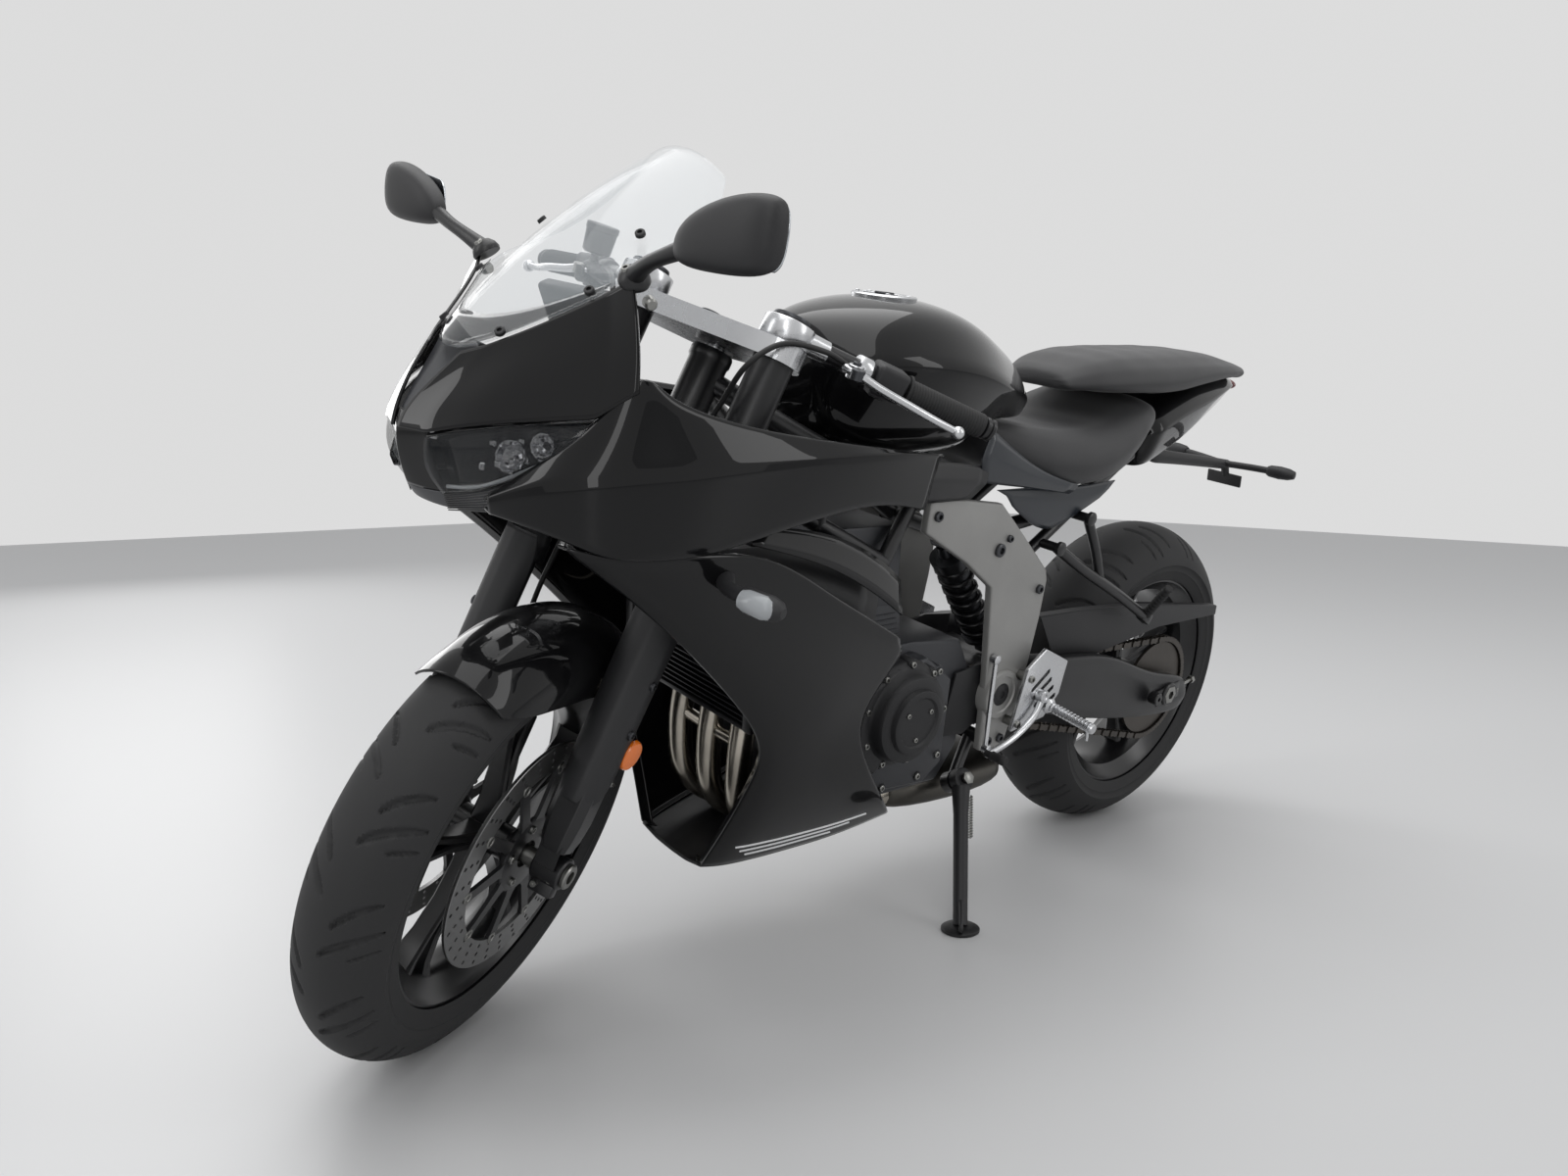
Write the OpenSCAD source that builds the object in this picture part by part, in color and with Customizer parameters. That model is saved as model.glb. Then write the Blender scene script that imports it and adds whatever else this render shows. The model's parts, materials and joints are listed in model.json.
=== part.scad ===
// Sport bike parked on its side stand, steering turned to the left stop.
// Everything is drawn in the bike's own upright frame (x forward, y to the
// rider's left, z up, rear axle over x = 0) and then leaned onto its stand.

/* [Stance] */
// Distance between the two axles
wheelbase = 1426; // [1380:1:1480]
// Angle of the steering axis from upright, in degrees
rake = 22.5; // [21:0.5:25]
// Distance from the tyre's contact forward to the steering axis on the ground
trail = 82; // [75:1:95]
// Steering angle at each stop, in degrees
steer_lock = 29; // [20:1:30]
// Lean to the left on the side stand, in degrees
lean = 11.5; // [10:0.5:13]

/* [Wheels] */
// Outer radius of the front tyre
front_r = 300; // [290:1:310]
// Crown radius of the front tyre's tread, half its width
front_crown = 60; // [55:1:65]
// Outer radius of the rear tyre
rear_r = 315; // [305:1:325]
// Crown radius of the rear tyre's tread
rear_crown = 95; // [90:1:100]
// Half width of the rear tyre at its shoulders
rear_half_w = 90; // [80:1:92]
// Radius of the rims' bead seats
bead_r = 216; // [210:1:220]
// Height of a rim flange over its bead seat
flange_h = 13; // [10:1:15]
// Half width of the front rim over its flanges
front_rim_half_w = 46; // [40:1:48]
// Half width of the rear rim over its flanges
rear_rim_half_w = 74; // [68:1:76]
// Radius of both axles
axle_r = 12.5; // [10:0.5:15]

/* [Brakes and chain] */
// Radius of the front discs
front_disc_r = 155; // [140:1:160]
// Place of a front disc's middle, from the wheel's middle plane
front_disc_y = 61; // [58:1:66]
// Thickness of a brake disc
disc_t = 5; // [4:0.5:6]
// Radius of the rear disc
rear_disc_r = 110; // [100:1:120]
// Radius of the rear sprocket at its roots
sprocket_r = 96; // [85:1:100]
// Radius of the engine's sprocket
drive_sprocket_r = 34; // [30:1:40]
// Place of the chain's middle from the bike's middle plane
chain_y = 103.5; // [102:0.5:105]
// Width of the chain
chain_w = 15; // [12:1:16]

/* [Fork and bars] */
// Distance of each fork leg from the middle plane
fork_y = 103; // [100:1:106]
// Distance of the fork legs' line ahead of the axle
fork_ahead = 15; // [10:1:20]
// Radius of the fork's upper tubes
fork_upper_r = 26; // [24:0.5:28]
// Radius of the fork's lower tubes
fork_lower_r = 20.5; // [19:0.5:22]
// Length of a fork leg from the axle's level to its top cap
fork_len = 748; // [735:1:765]
// Height of the lower yoke's middle along the fork
lower_yoke_at = 520; // [500:1:540]
// Height of the upper yoke's middle along the fork
upper_yoke_at = 700; // [690:1:715]
// Distance of a bar's outer end from the middle plane
bar_end_y = 345; // [335:1:355]
// Radius of a grip
grip_r = 16.5; // [15:0.5:18]

/* [Frame and running gear] */
// Place of the swingarm's pivot ahead of the rear axle
pivot_x = 523; // [515:1:535]
// Height of the swingarm's pivot
pivot_z = 397; // [385:1:405]
// Radius of the swingarm's pivot shaft
pivot_r = 12; // [10:0.5:14]
// Half the distance across the swingarm's arms, to their inner faces
arm_y = 115; // [114:1:118]
// Thickness of a swingarm arm
arm_t = 30; // [24:1:34]
// Inner face of a grey side plate from the middle plane
plate_y = 118; // [116:1:124]
// Thickness of a grey side plate
plate_t = 16; // [12:1:20]
// Thickness of the fairing's panels
panel_t = 4; // [3:0.5:5]
// Radius of the exhaust's header pipes
header_r = 19; // [17:0.5:21]

/* [Side stand] */
// Place of the stand's pivot, ahead of the rear axle
stand_x = 598; // [590:1:610]
// Distance of the stand's pivot from the middle plane
stand_y = 128; // [124:1:134]
// Height of the stand's pivot
stand_z = 246; // [240:1:255]
// Place of the foot ahead of the rear axle
foot_x = 688; // [670:1:700]
// Distance of the foot from the middle plane
foot_y = 248; // [240:1:260]
// Radius of the stand's leg
stand_r = 13; // [11:0.5:15]

/* [Hidden] */
$fn = 48;
run_gap = 0.05;      // radial clearance of an axle in its bore
black = [0.05, 0.05, 0.055];
satin = [0.12, 0.12, 0.13];
grey = [0.42, 0.43, 0.43];
silver = [0.75, 0.76, 0.77];
steel = [0.6, 0.55, 0.48];

// ---- steering geometry ----
offset_f = front_r * sin(rake) - trail * cos(rake);
axle_f = [wheelbase, 0, front_r];
axle_rr = [0, 0, rear_r];
up_s = [-sin(rake), 0, cos(rake)];       // along the steering axis
out_s = [cos(rake), 0, sin(rake)];       // forward, square to it
steer_p = axle_f - offset_f * out_s;     // the axis' point nearest the axle

// ---- how the leaned bike stands on the floor ----
function turned(v, k, a) = v * cos(a) + cross(k, v) * sin(a) + k * (k * v) * (1 - cos(a));
function steered_pt(p) = steer_p + turned(p - steer_p, up_s, steer_lock);
function leaned(v) = turned(v, [1, 0, 0], -lean);
front_hub = steered_pt(axle_f);
front_spin = turned([0, 1, 0], up_s, steer_lock);
function low_z(centre, spin, r, crown) =
    leaned(centre)[2] - (r - crown) * sqrt(1 - pow(leaned(spin)[2], 2)) - crown;
front_low = low_z(front_hub, front_spin, front_r, front_crown);
rear_low = low_z(axle_rr, [0, 1, 0], rear_r, rear_crown);
pitch = asin((front_low - rear_low) / front_hub[0]);   // nose-down turn that levels both tyres
stand_shift = [-691.7, -206, -rear_low];
module placed() translate(stand_shift) rotate([0, pitch, 0]) rotate([-lean, 0, 0]) children();
module steered() translate(steer_p) rotate(a = steer_lock, v = up_s) translate(-steer_p) children();
function placed_vec(v) = turned(leaned(v), [0, 1, 0], pitch);
function placed_pt(p) = stand_shift + placed_vec(p);
foot_z = (rear_low - placed_vec([foot_x, foot_y, 0])[2]) / placed_vec([0, 0, 1])[2];

// ---- shared shapes ----
module both_sides() { children(); mirror([0, 1, 0]) children(); }
// a rod between two points
module rod(a, b, r, r2 = -1) {
    d = b - a;
    len = norm(d);
    translate(a) rotate([0, acos(d[2] / len), atan2(d[1], d[0])])
        cylinder(h = len, r1 = r, r2 = r2 < 0 ? r : r2);
}
// a round rod that follows a list of points, with balls at its bends
module bent_rod(pts, r) {
    for (i = [0:len(pts) - 2]) rod(pts[i], pts[i + 1], r);
    for (i = [1:len(pts) - 2]) translate(pts[i]) sphere(r + 0.6);
}
// a plate drawn in side view (x, z) between two distances from the middle
module side_plate_of(outline, y0, y1)
    translate([0, y1, 0]) rotate([90, 0, 0]) linear_extrude(y1 - y0) polygon(outline);
// a cylinder along y
module y_disc(c, r, y0, y1) translate([c[0], y0, c[2]]) rotate([-90, 0, 0]) cylinder(h = y1 - y0, r = r);

function unit(v) = v / max(norm(v), 1e-9);
function row_normal(g, i, j) =
    let (n = len(g), m = len(g[0]),
         du = g[min(i + 1, n - 1)][j] - g[max(i - 1, 0)][j],
         dv = g[i][min(j + 1, m - 1)] - g[i][max(j - 1, 0)])
    unit(cross(du, dv));
// a thin closed panel from a grid of points; its wall lies on the side that t points to
module panel(g, t) {
    n = len(g);
    m = len(g[0]);
    outer = [for (i = [0:n - 1], j = [0:m - 1]) g[i][j]];
    inner = [for (i = [0:n - 1], j = [0:m - 1]) g[i][j] + t * row_normal(g, i, j)];
    k = n * m;
    function id(i, j) = i * m + j;
    // two triangles of the four-sided patch a, b, c, d
    function patch(a, b, c, d) = [[a, b, c], [a, c, d]];
    faces = concat(
        [for (i = [0:n - 2], j = [0:m - 2]) each patch(id(i, j), id(i + 1, j), id(i + 1, j + 1), id(i,
        j + 1))],
        [for (i = [0:n - 2], j = [0:m - 2])
            each patch(k + id(i, j), k + id(i, j + 1), k + id(i + 1, j + 1), k + id(i + 1, j))],
        [for (i = [0:n - 2]) each concat(patch(id(i, 0), k + id(i, 0), k + id(i + 1, 0), id(i + 1, 0)),
            patch(id(i + 1, m - 1), k + id(i + 1, m - 1), k + id(i, m - 1), id(i, m - 1)))],
        [for (j = [0:m - 2]) each concat(patch(id(0, j), id(0, j + 1), k + id(0, j + 1), k + id(0, j)),
            patch(id(n - 1, j + 1), id(n - 1, j), k + id(n - 1, j), k + id(n - 1, j + 1)))]);
    solid_of(concat(outer, inner), faces);
}
// a polyhedron whose faces are turned outward whichever way they were listed
function signed_volume(pts, faces) = [for (f = faces, k = [1:len(f) - 2])
    pts[f[0]] * cross(pts[f[k]], pts[f[k + 1]])] * [for (f = faces, k = [1:len(f) - 2]) 1];
module solid_of(pts, faces)
    polyhedron(pts, signed_volume(pts,
        faces) < 0 ? faces : [for (f = faces) [for (k = [len(f) - 1:-1:0]) f[k]]]);
// a closed solid through loops of points with the same count
module loft(loops) {
    n = len(loops);
    m = len(loops[0]);
    pts = [for (l = loops) each l];
    faces = concat(
        [[for (j = [m - 1:-1:0]) j]],
        [for (i = [0:n - 2], j = [0:m - 1]) let (a = i * m + j, b = i * m + (j + 1) % m)
            each [[a, b, b + m], [a, b + m, a + m]]],
        [[for (j = [0:m - 1]) (n - 1) * m + j]]);
    solid_of(pts, faces);
}
// a body symmetric about the middle plane, from rows of
// [x, z top, y shoulder, z shoulder, y widest, z widest, y low, z low]
function body_loop(r) = [
    [r[0], 0, r[1]], [r[0], r[2], r[3]], [r[0], r[4], r[5]], [r[0], r[6], r[7]], [r[0], 0, r[7]],
    [r[0], -r[6], r[7]], [r[0], -r[4], r[5]], [r[0], -r[2], r[3]]];
module body_loft(rows) loft([for (i = [len(rows) - 1:-1:0]) body_loop(rows[i])]);
// a round tube along points, closed at both ends
module tube_along(pts, r, sides = 12) {
    function dir(i) = unit(pts[min(i + 1, len(pts) - 1)] - pts[max(i - 1, 0)]);
    loft([for (i = [0:len(pts) - 1])
        let (d = dir(i), side = unit(cross(d, [0.2, 1, 0.3])), top = cross(side, d))
        [for (k = [0:sides - 1]) pts[i] + r * (cos(-360 * k / sides) * side + sin(-360 * k / sides) * top)]]);
}
function smooth_path(p, n = 4) = concat([for (i = [0:len(p) - 2], k = [0:n - 1])
    let (t = k / n, a = p[max(i - 1, 0)], b = p[i], c = p[i + 1], d = p[min(i + 2, len(p) - 1)])
    0.5 * (2 * b + (c - a) * t + (2 * a - 5 * b + 4 * c - d) * t * t + (3 * b - a - 3 * c + d) * t * t * t)],
    [p[len(p) - 1]]);

// ---- wheels ----
function arc(c, r, a0, a1, n) = [for (i = [0:n]) c + r * [cos(a0 + (a1 - a0) * i / n),
    sin(a0 + (a1 - a0) * i / n)]];
// half a tyre's section: crown arc out to the shoulder, wall down to the bead, wall thickness t
function tyre_half(r, crown, half_w, rim_w, t) =
    let (a = asin(min(half_w / crown, 1)), c = [r - crown, 0])
    concat(arc(c, crown, 0, a, 14), [[bead_r + flange_h + 8, rim_w + t + 3],
        [bead_r, rim_w + 0.6 + t * 0.6],
        [bead_r, rim_w + 0.6], [bead_r + flange_h + 4, rim_w + 0.8]],
        arc(c, crown - t, asin(min((half_w - t) / (crown - t), 1)), 0, 8));
module tyre(c, r, crown, half_w, rim_w) {
    t = 8;
    half = tyre_half(r, crown, half_w, rim_w, t);
    color([0.06, 0.06, 0.06]) translate(c) rotate([-90, 0, 0]) rotate_extrude($fn = 96)
        polygon(concat([for (i = [len(half) - 2:-1:1]) [half[i][0], -half[i][1]]], half));
}
// a cast rim: barrel with flanges, hub and five pairs of spokes
module rim(c, rim_w, hub_w, hub_r) {
    lip = bead_r + flange_h;
    color(black) translate(c) rotate([-90, 0, 0]) difference() {
        union() {
            rotate_extrude($fn = 96) polygon([[lip, -rim_w], [lip, -rim_w + 5],
                [bead_r - 1, -rim_w + 9], [bead_r - 6, -rim_w + 26],
                [bead_r - 22, -rim_w + 34], [bead_r - 22, rim_w - 34], [bead_r - 6, rim_w - 26],
                [bead_r - 1, rim_w - 9],
                [lip, rim_w - 5], [lip, rim_w], [bead_r - 6, rim_w], [bead_r - 13, rim_w - 24],
                [bead_r - 30, rim_w - 32], [bead_r - 30, -rim_w + 32], [bead_r - 13, -rim_w + 24],
                [bead_r - 6, -rim_w]]);
            translate([0, 0, -hub_w]) cylinder(h = 2 * hub_w, r = hub_r);
            for (i = [0:4]) rotate(i * 72) translate([hub_r - 8, 0, -13])
                linear_extrude(26) polygon([[0, -17], [bead_r - hub_r - 18, -11],
                    [bead_r - hub_r - 18, 11], [0, 17]]);
        }
        translate([0, 0, -hub_w - 1]) cylinder(h = 2 * hub_w + 2, r = axle_r + run_gap);
    }
}
module brake_disc(c, r, y, inner) color([0.5, 0.5, 0.5]) difference() {
    y_disc(c, r, y - disc_t / 2, y + disc_t / 2);
    y_disc(c, inner, y - disc_t, y + disc_t);
}
front_hub_w = front_disc_y - disc_t / 2 - 0.1;
rear_hub_w = 82;
module front_rim() rim(axle_f, front_rim_half_w, front_hub_w, 34);
module front_tyre() tyre(axle_f, front_r, front_crown, front_crown - 0.5, front_rim_half_w);
module front_discs() both_sides() brake_disc(axle_f, front_disc_r, front_disc_y, axle_r + 6);
module rear_rim() rim(axle_rr, rear_rim_half_w, rear_hub_w, 46);
module rear_tyre() tyre(axle_rr, rear_r, rear_crown, rear_half_w, rear_rim_half_w);
module rear_disc() mirror([0, 1, 0]) brake_disc(axle_rr, rear_disc_r, rear_hub_w + 0.1 + disc_t / 2,
    axle_r + 6);
module rear_sprocket() color(satin) difference() {
    union() {
        y_disc(axle_rr, sprocket_r, chain_y - 3, chain_y + 3);
        y_disc(axle_rr, 50, rear_hub_w + 0.1, chain_y);
    }
    y_disc(axle_rr, axle_r + 6, rear_hub_w - 1, chain_y + 4);
}
module axle_shaft(c, half_len, bore_r) color(silver) difference() {
    union() {
        y_disc(c, axle_r, -half_len, half_len);
        for (s = [-1, 1]) y_disc(c, axle_r + 4, s < 0 ? -half_len - 6 : half_len,
            s < 0 ? -half_len : half_len + 6);
    }
    y_disc(c, bore_r, -half_len - 8, half_len + 8);
}
front_axle_half = fork_y + 22;
rear_axle_half = arm_y + arm_t;
module front_axle() axle_shaft(axle_f, front_axle_half, 8.5);
module rear_axle() axle_shaft(axle_rr, rear_axle_half, 8.5);

// ---- fork, yokes and bars ----
function fork_pt(s, y) = axle_f + fork_ahead * out_s + s * up_s + [0, y, 0];
fork_joint = 348;    // where the upper tube ends above the lower one
caliper_out = 88;     // outer face of a front caliper
caliper_c = fork_pt(104, 0) - 103 * out_s;
module fork_leg(side) {
    y = side * fork_y;
    color(black) difference() {
        union() {
            rod(fork_pt(fork_joint, y), fork_pt(fork_len, y), fork_upper_r);
            rod(fork_pt(40, y), fork_pt(fork_joint + 10, y), fork_lower_r);
            rod(fork_pt(30, y), fork_pt(150, y), fork_lower_r + 5);
            translate([0, y, 0]) y_disc(axle_f, 21, -21, 21);
            rod(axle_f + [0, y, 0] + 2 * up_s, fork_pt(60, y), 18);
            // lugs that carry the brake caliper, and the mudguard's pads
            for (s = [80, 128]) rod(fork_pt(s, side * (caliper_out + 7)),
                caliper_c + (s - 104) * up_s + [0, side * (caliper_out + 7), 0], 6.5);
            for (s = [190, 262]) rod(fork_pt(s, side * (guard_half_w - 1.1)), fork_pt(s, y), 10);
        }
        translate([0, y, 0]) y_disc(axle_f, axle_r + run_gap, -40, 40);
    }
}
module yoke_at(s, h, extra) {
    translate(fork_pt(s, 0)) rotate([0, -rake, 0]) translate([0, 0,
        -h / 2]) linear_extrude(h) difference() {
        hull() {
            for (k = [-1, 1]) translate([0, k * fork_y]) circle(fork_upper_r + extra);
            translate([-offset_f - fork_ahead, 0]) circle(30);
        }
        for (k = [-1, 1]) translate([0, k * fork_y]) circle(fork_upper_r + 0.1);
    }
}
stem_r = 14;
module yokes() color(silver) difference() {
    union() {
        yoke_at(lower_yoke_at, 34, 9);
        yoke_at(upper_yoke_at, 26, 9);
        rod(steer_p + up_s * (lower_yoke_at - 16), steer_p + up_s * (upper_yoke_at + 22), stem_r);
    }
    rod(steer_p + up_s * (lower_yoke_at - 30), steer_p + up_s * (lower_yoke_at + 30), 8.5);
}
clamp_at = upper_yoke_at + 27.5;
bar_root = fork_pt(clamp_at, fork_y);
bar_out = [1000, bar_end_y, 925];
bar_dir = unit(bar_out - bar_root);
function bar_pt(s) = bar_root + s * bar_dir;
bar_len = norm(bar_out - bar_root);
grip_len = 122;
module handlebars() color(silver) both_sides() difference() {
    union() {
        rod(fork_pt(clamp_at - 14, fork_y), fork_pt(clamp_at + 14, fork_y), fork_upper_r + 8);
        rod(bar_pt(5), bar_pt(bar_len), 11);
        rod(bar_pt(bar_len), bar_pt(bar_len + 16), 15);
    }
    rod(fork_pt(clamp_at - 30, fork_y), fork_pt(clamp_at + 30, fork_y), fork_upper_r + 0.1);
}
module grips() color(satin) both_sides() difference() {
    union() {
        rod(bar_pt(bar_len - grip_len), bar_pt(bar_len - 1), grip_r);
        rod(bar_pt(bar_len - grip_len - 48), bar_pt(bar_len - grip_len - 1), 23);
    }
    rod(bar_pt(20), bar_pt(bar_len + 5), 11.1);
}
perch_at = bar_len - grip_len - 64;
lever_root = bar_pt(perch_at) + [40, 4, 2];
lever_end = bar_pt(bar_len - 14) + [66, 0, -6];
module hand_levers() color(silver) {
    both_sides() difference() {
        union() {
            rod(bar_pt(perch_at - 13), bar_pt(perch_at + 13), 17);
            rod(bar_pt(perch_at), lever_root + [4, 0, 0], 9);
            tube_along([lever_root - [2, 10, 0], lever_root + [6, 8, 0],
                lever_root + 0.45 * (lever_end - lever_root) + [14, 0, 0],
                lever_end + [6, -24, 4], lever_end], 6.5, 10);
        }
        rod(bar_pt(perch_at - 40), bar_pt(perch_at + 40), 11.1);
    }
    // brake fluid cup on the right lever
    mirror([0, 1, 0]) {
        rod(lever_root + [0, -2, 4], lever_root + [-2, -2, 30], 7);
        rod(lever_root + [-2, -2, 26], lever_root + [-6, -2, 58], 21);
    }
}
// held hoses: down each fork leg to its caliper, and from each lever's perch to the lower yoke
hose_r = 4;
yoke_low = lower_yoke_at - 18.6;
// columns: place up the fork, distance from the middle, distance ahead of the fork's line
caliper_hose = [[yoke_low, 70, -6], [470, 76, -20], [400, 84, -46], [300, 87, -50], [220, 87, -70],
    [176, 80, -98], [155.2, 76, -103]];
// columns: x, y, z with the steering straight ahead
perch_hose = [[1130, 182, 962], [1166, 160, 975], [1212, 122, 975], [1240, 95, 940], [1237, 74, 880],
    [1236, 56, 830]];
module control_cables() color(satin) both_sides() {
    tube_along(smooth_path([for (h = caliper_hose) fork_pt(h[0], h[1]) + h[2] * out_s], 3), hose_r, 8);
    tube_along(smooth_path(concat(perch_hose, [fork_pt(lower_yoke_at + 19, 50) + 4 * out_s]), 3),
        hose_r, 8);
}
guard_half_w = 74;    // outside the mudguard's walls
// columns: angle from straight ahead, how far round the tyre's section the guard reaches
guard_rows = [[64, 56], [70, 76], [78, 90], [90, 103], [104, 106], [120, 98], [136, 84], [150, 62]];
function guard_loop(r) = [for (k = [-4:4]) let (phi = r[1] * k / 4,
    rr = front_r - front_crown + guard_half_w * cos(phi))
    axle_f + [rr * cos(r[0]), guard_half_w * sin(phi), rr * sin(r[0])]];
module front_mudguard() color(black) panel([for (r = smooth_path(guard_rows, 2)) guard_loop(r)], 3);
module front_calipers() color(satin) both_sides() difference() {
    translate([caliper_c[0], 0, caliper_c[2]]) rotate([0, -rake, 0]) translate([-30, 44,
        -50]) cube([60, caliper_out - 44, 100]);
    y_disc(axle_f, front_disc_r + 6, front_disc_y - disc_t / 2 - 5, front_disc_y + disc_t / 2 + 5);
    y_disc(axle_f, front_disc_r - 52, 0, 120);
}

// ---- frame and engine ----
head_lo = steer_p + up_s * (lower_yoke_at + 20);
head_hi = steer_p + up_s * (upper_yoke_at - 16);
head_half_w = 92;     // half width of the cylinder head
tank_low = 784.3;     // underside of the fuel tank
seat_low = 748;       // underside of the rider's seat
seat_top_front = 842; // where the tank's tail lies over the seat
module frame_tubes() both_sides() {
    tube_along([head_lo + up_s * 118 + [-10, 12, 0], [985, 117, 797], [800, 102.4, 745],
        [620, 100, 650]], 15, 16);
    tube_along([head_lo + up_s * 26 + [-10, 12, 0], [1000, 106, 705], [860, 110, 640]], 12, 16);
    tube_along([[1000, 106, 700], [985, 117, 797]], 11, 16);
    tube_along([[860, 110, 640], [800, 102.4, 745]], 11.3, 16);
}
module main_frame() color(black) {
    difference() {
        union() {
            rod(head_lo, head_hi, 27);
            frame_tubes();
            rod([620, -100, 650], [620, 100, 650], 14);
            rod([900, -110, tank_low - 10.3], [900, 110, tank_low - 10.3], 10);
            both_sides() {
                y_disc([620, 0, 650], 15, 100, plate_y - 0.3);
                y_disc([860, 0, 640], 11, head_half_w + 0.3, 110);
            }
        }
        rod(head_lo - up_s * 5, head_hi + up_s * 5, stem_r + 0.1);
    }
    // cross tube under the engine's back, the stand's lug and the swingarm's shaft
    rod([545, -plate_y + 0.3, 306], [545, plate_y - 0.3, 306], 12);
    stand_bolt();
    y_disc(pivot_c, pivot_r - 0.3, -plate_y - plate_t - 8, plate_y + plate_t + 8);
}
plate_outline = [[800, 732], [789, 741], [631, 725], [593, 696], [542, 656], [481, 607], [474, 589],
    [474, 525], [480, 447],
    [488, 380], [500, 330], [509, 293], [570, 294], [578, 358], [589, 432], [606, 519], [620, 587],
        [693, 633], [800, 686]];
pivot_c = [pivot_x, 0, pivot_z];
module side_plate() color(grey) difference() {
    union() {
        side_plate_of(plate_outline, plate_y, plate_y + plate_t);
        y_disc(pivot_c, 44, plate_y, plate_y + plate_t + 6);
    }
    y_disc(pivot_c, pivot_r, plate_y - 1, plate_y + plate_t + 8);
}
module side_plate_left() side_plate();
module side_plate_right() mirror([0, 1, 0]) side_plate();
module engine_block() color(satin) {
    side_plate_of([[600, 300], [640, 242], [930, 242], [985, 330], [960, 470], [940, 500], [760, 510],
        [640, 500], [600, 440]], -112, 88);
    side_plate_of([[668, 300], [668, 242], [930, 242], [985, 330], [960, 470], [940, 500], [760, 510],
        [668, 500]], 87, 112);
    side_plate_of([[760, 480], [960, 470], [1000, 640], [940, 694], [800, 694]], -head_half_w, head_half_w);
    both_sides() side_plate_of([[680, 300], [720, 270], [900, 280], [930, 360], [890, 470],
        [760, 496], [690, 450]], 111, 148);
}
cover_c = [826, 0, 418];
module engine_cover_left() color(satin) {
    y_disc(cover_c, 84, 148.3, 172);
    y_disc(cover_c, 70, 172, 194);
    y_disc(cover_c, 50, 194, 204);
    side_plate_of([[905, 470], [925, 400], [910, 345], [870, 325], [800, 400], [845, 500]], 148.3, 176);
}
module engine_cover_right() color(satin) mirror([0, 1, 0]) {
    y_disc(cover_c - [70, 0, 8], 88, 148.3, 178);
    y_disc(cover_c - [70, 0, 8], 60, 178, 192);
}
module radiator() color(black) {
    rotate_about([1080, 0, 430], 6) translate([1080, -150, 430]) cube([30, 300, 250]);
    for (y = [-36, 36]) rod([port_x, y, 625] + [5.9, 0, 0] + 0.4 * port_n, [port_x, y, 625] + [5.9, 0,
        0] + 112 * port_n, 6);
}
module rotate_about(c, a) translate(c) rotate([0, a, 0]) translate(-c) children();
port_n = unit([170, 0, -40]);         // out of the cylinder head's front face
port_x = 990.6;                       // that face's place at a height of 600
function header_path(y) = smooth_path([[port_x, y, 600] + 0.5 * port_n, [port_x, y, 600] + 14 * port_n,
    [port_x, y, 600] + 34 * port_n, [1046, y, 530],
    [1050, y, 440], [1052, y, 350], [1036, y * 0.92, 272], [985, y * 0.75, 228], [900, y * 0.6, 215],
        [792, y * 0.57, 213]], 3);
module exhaust_headers() color(steel) {
    for (y = [-72, 0, 72]) tube_along(header_path(y), header_r, 12);
    translate([700, 0, 205]) rotate([0, 90, 0]) scale([0.55, 1, 1]) cylinder(h = 100, r = 64);
}
module silencer() color(satin) {
    // columns: x, half width, half height
    body = [[699.5, 66, 34], [660, 96, 36], [560, 108, 38], [460, 104, 36], [400, 84, 30]];
    loft([for (r = body) [for (k = [0:15]) [r[0], -14 + r[1] * cos(22.5 * k),
        203 + r[2] * sin(22.5 * k)]]]);
    rod([450, -96, 208], [372, -132, 226], 22);
}
bobbin_c = [66, 0, 320];
bobbin_r = 4.25;      // core of the tapped holes for a paddock stand's bobbins
bobbin_deep = 14;
bobbin_face = arm_y + arm_t + 0.3 + bobbin_deep + 5;
module swingarm() color(black) difference() {
    union() {
        both_sides() {
            side_plate_of([[472, 449], [247, 429], [52, 359], [-88, 345], [-96, 280], [-40, 262],
                [124, 278], [264, 301], [472, 352]], arm_y, arm_y + arm_t);
            side_plate_of([[560, 410], [545, 436], [472, 449], [400, 443], [400, 334],
                [545, 362]], chain_y + chain_w / 2 + 1.5, plate_y - 0.3);
        }
        y_disc(pivot_c, 24, -plate_y + 0.3, plate_y - 0.3);
        side_plate_of([[455, 340], [455, 406.6], [380, 406.6], [368, 335]], -arm_y - 2, arm_y + 2);
        side_plate_of([[534, 378], [534, 414], [440, 406.6], [440, 345]], -80, 80);
    }
    y_disc(axle_rr, axle_r + run_gap, -200, 200);
    y_disc(pivot_c, pivot_r, -200, 200);
}
// tapped bosses on the arms' ends, for a paddock stand's bobbins
module paddock_bosses() color(black) both_sides() difference() {
    y_disc(bobbin_c, bobbin_r + 8, bobbin_face - bobbin_deep - 5, bobbin_face);
    y_disc(bobbin_c, bobbin_r, bobbin_face - bobbin_deep, bobbin_face + 5);
}
module chain_ring(r_big, r_small, y0, y1) hull() {
    y_disc(axle_rr, r_big, y0, y1);
    y_disc(drive_c, r_small, y0, y1);
}
drive_c = [604, 0, 392];
module chain() color([0.2, 0.2, 0.2]) difference() {
    chain_ring(sprocket_r + 15, drive_sprocket_r + 15, chain_y - chain_w / 2, chain_y + chain_w / 2);
    chain_ring(sprocket_r + 1.5, drive_sprocket_r + 1.5, chain_y - chain_w, chain_y + chain_w);
}
module chain_guard() color(black) {
    side_plate_of([[442, 515], [326, 514], [114, 505], [-177, 474], [-179, 452], [40, 449],
        [128, 436], [250, 418], [330, 412], [394, 446]], arm_y - 3, arm_y - 0.3);
    side_plate_of([[442, 515], [326, 514], [114, 505], [-177, 474], [-177, 470], [114, 501],
        [326, 510], [442, 511]], 96, arm_y - 2);
}
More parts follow.
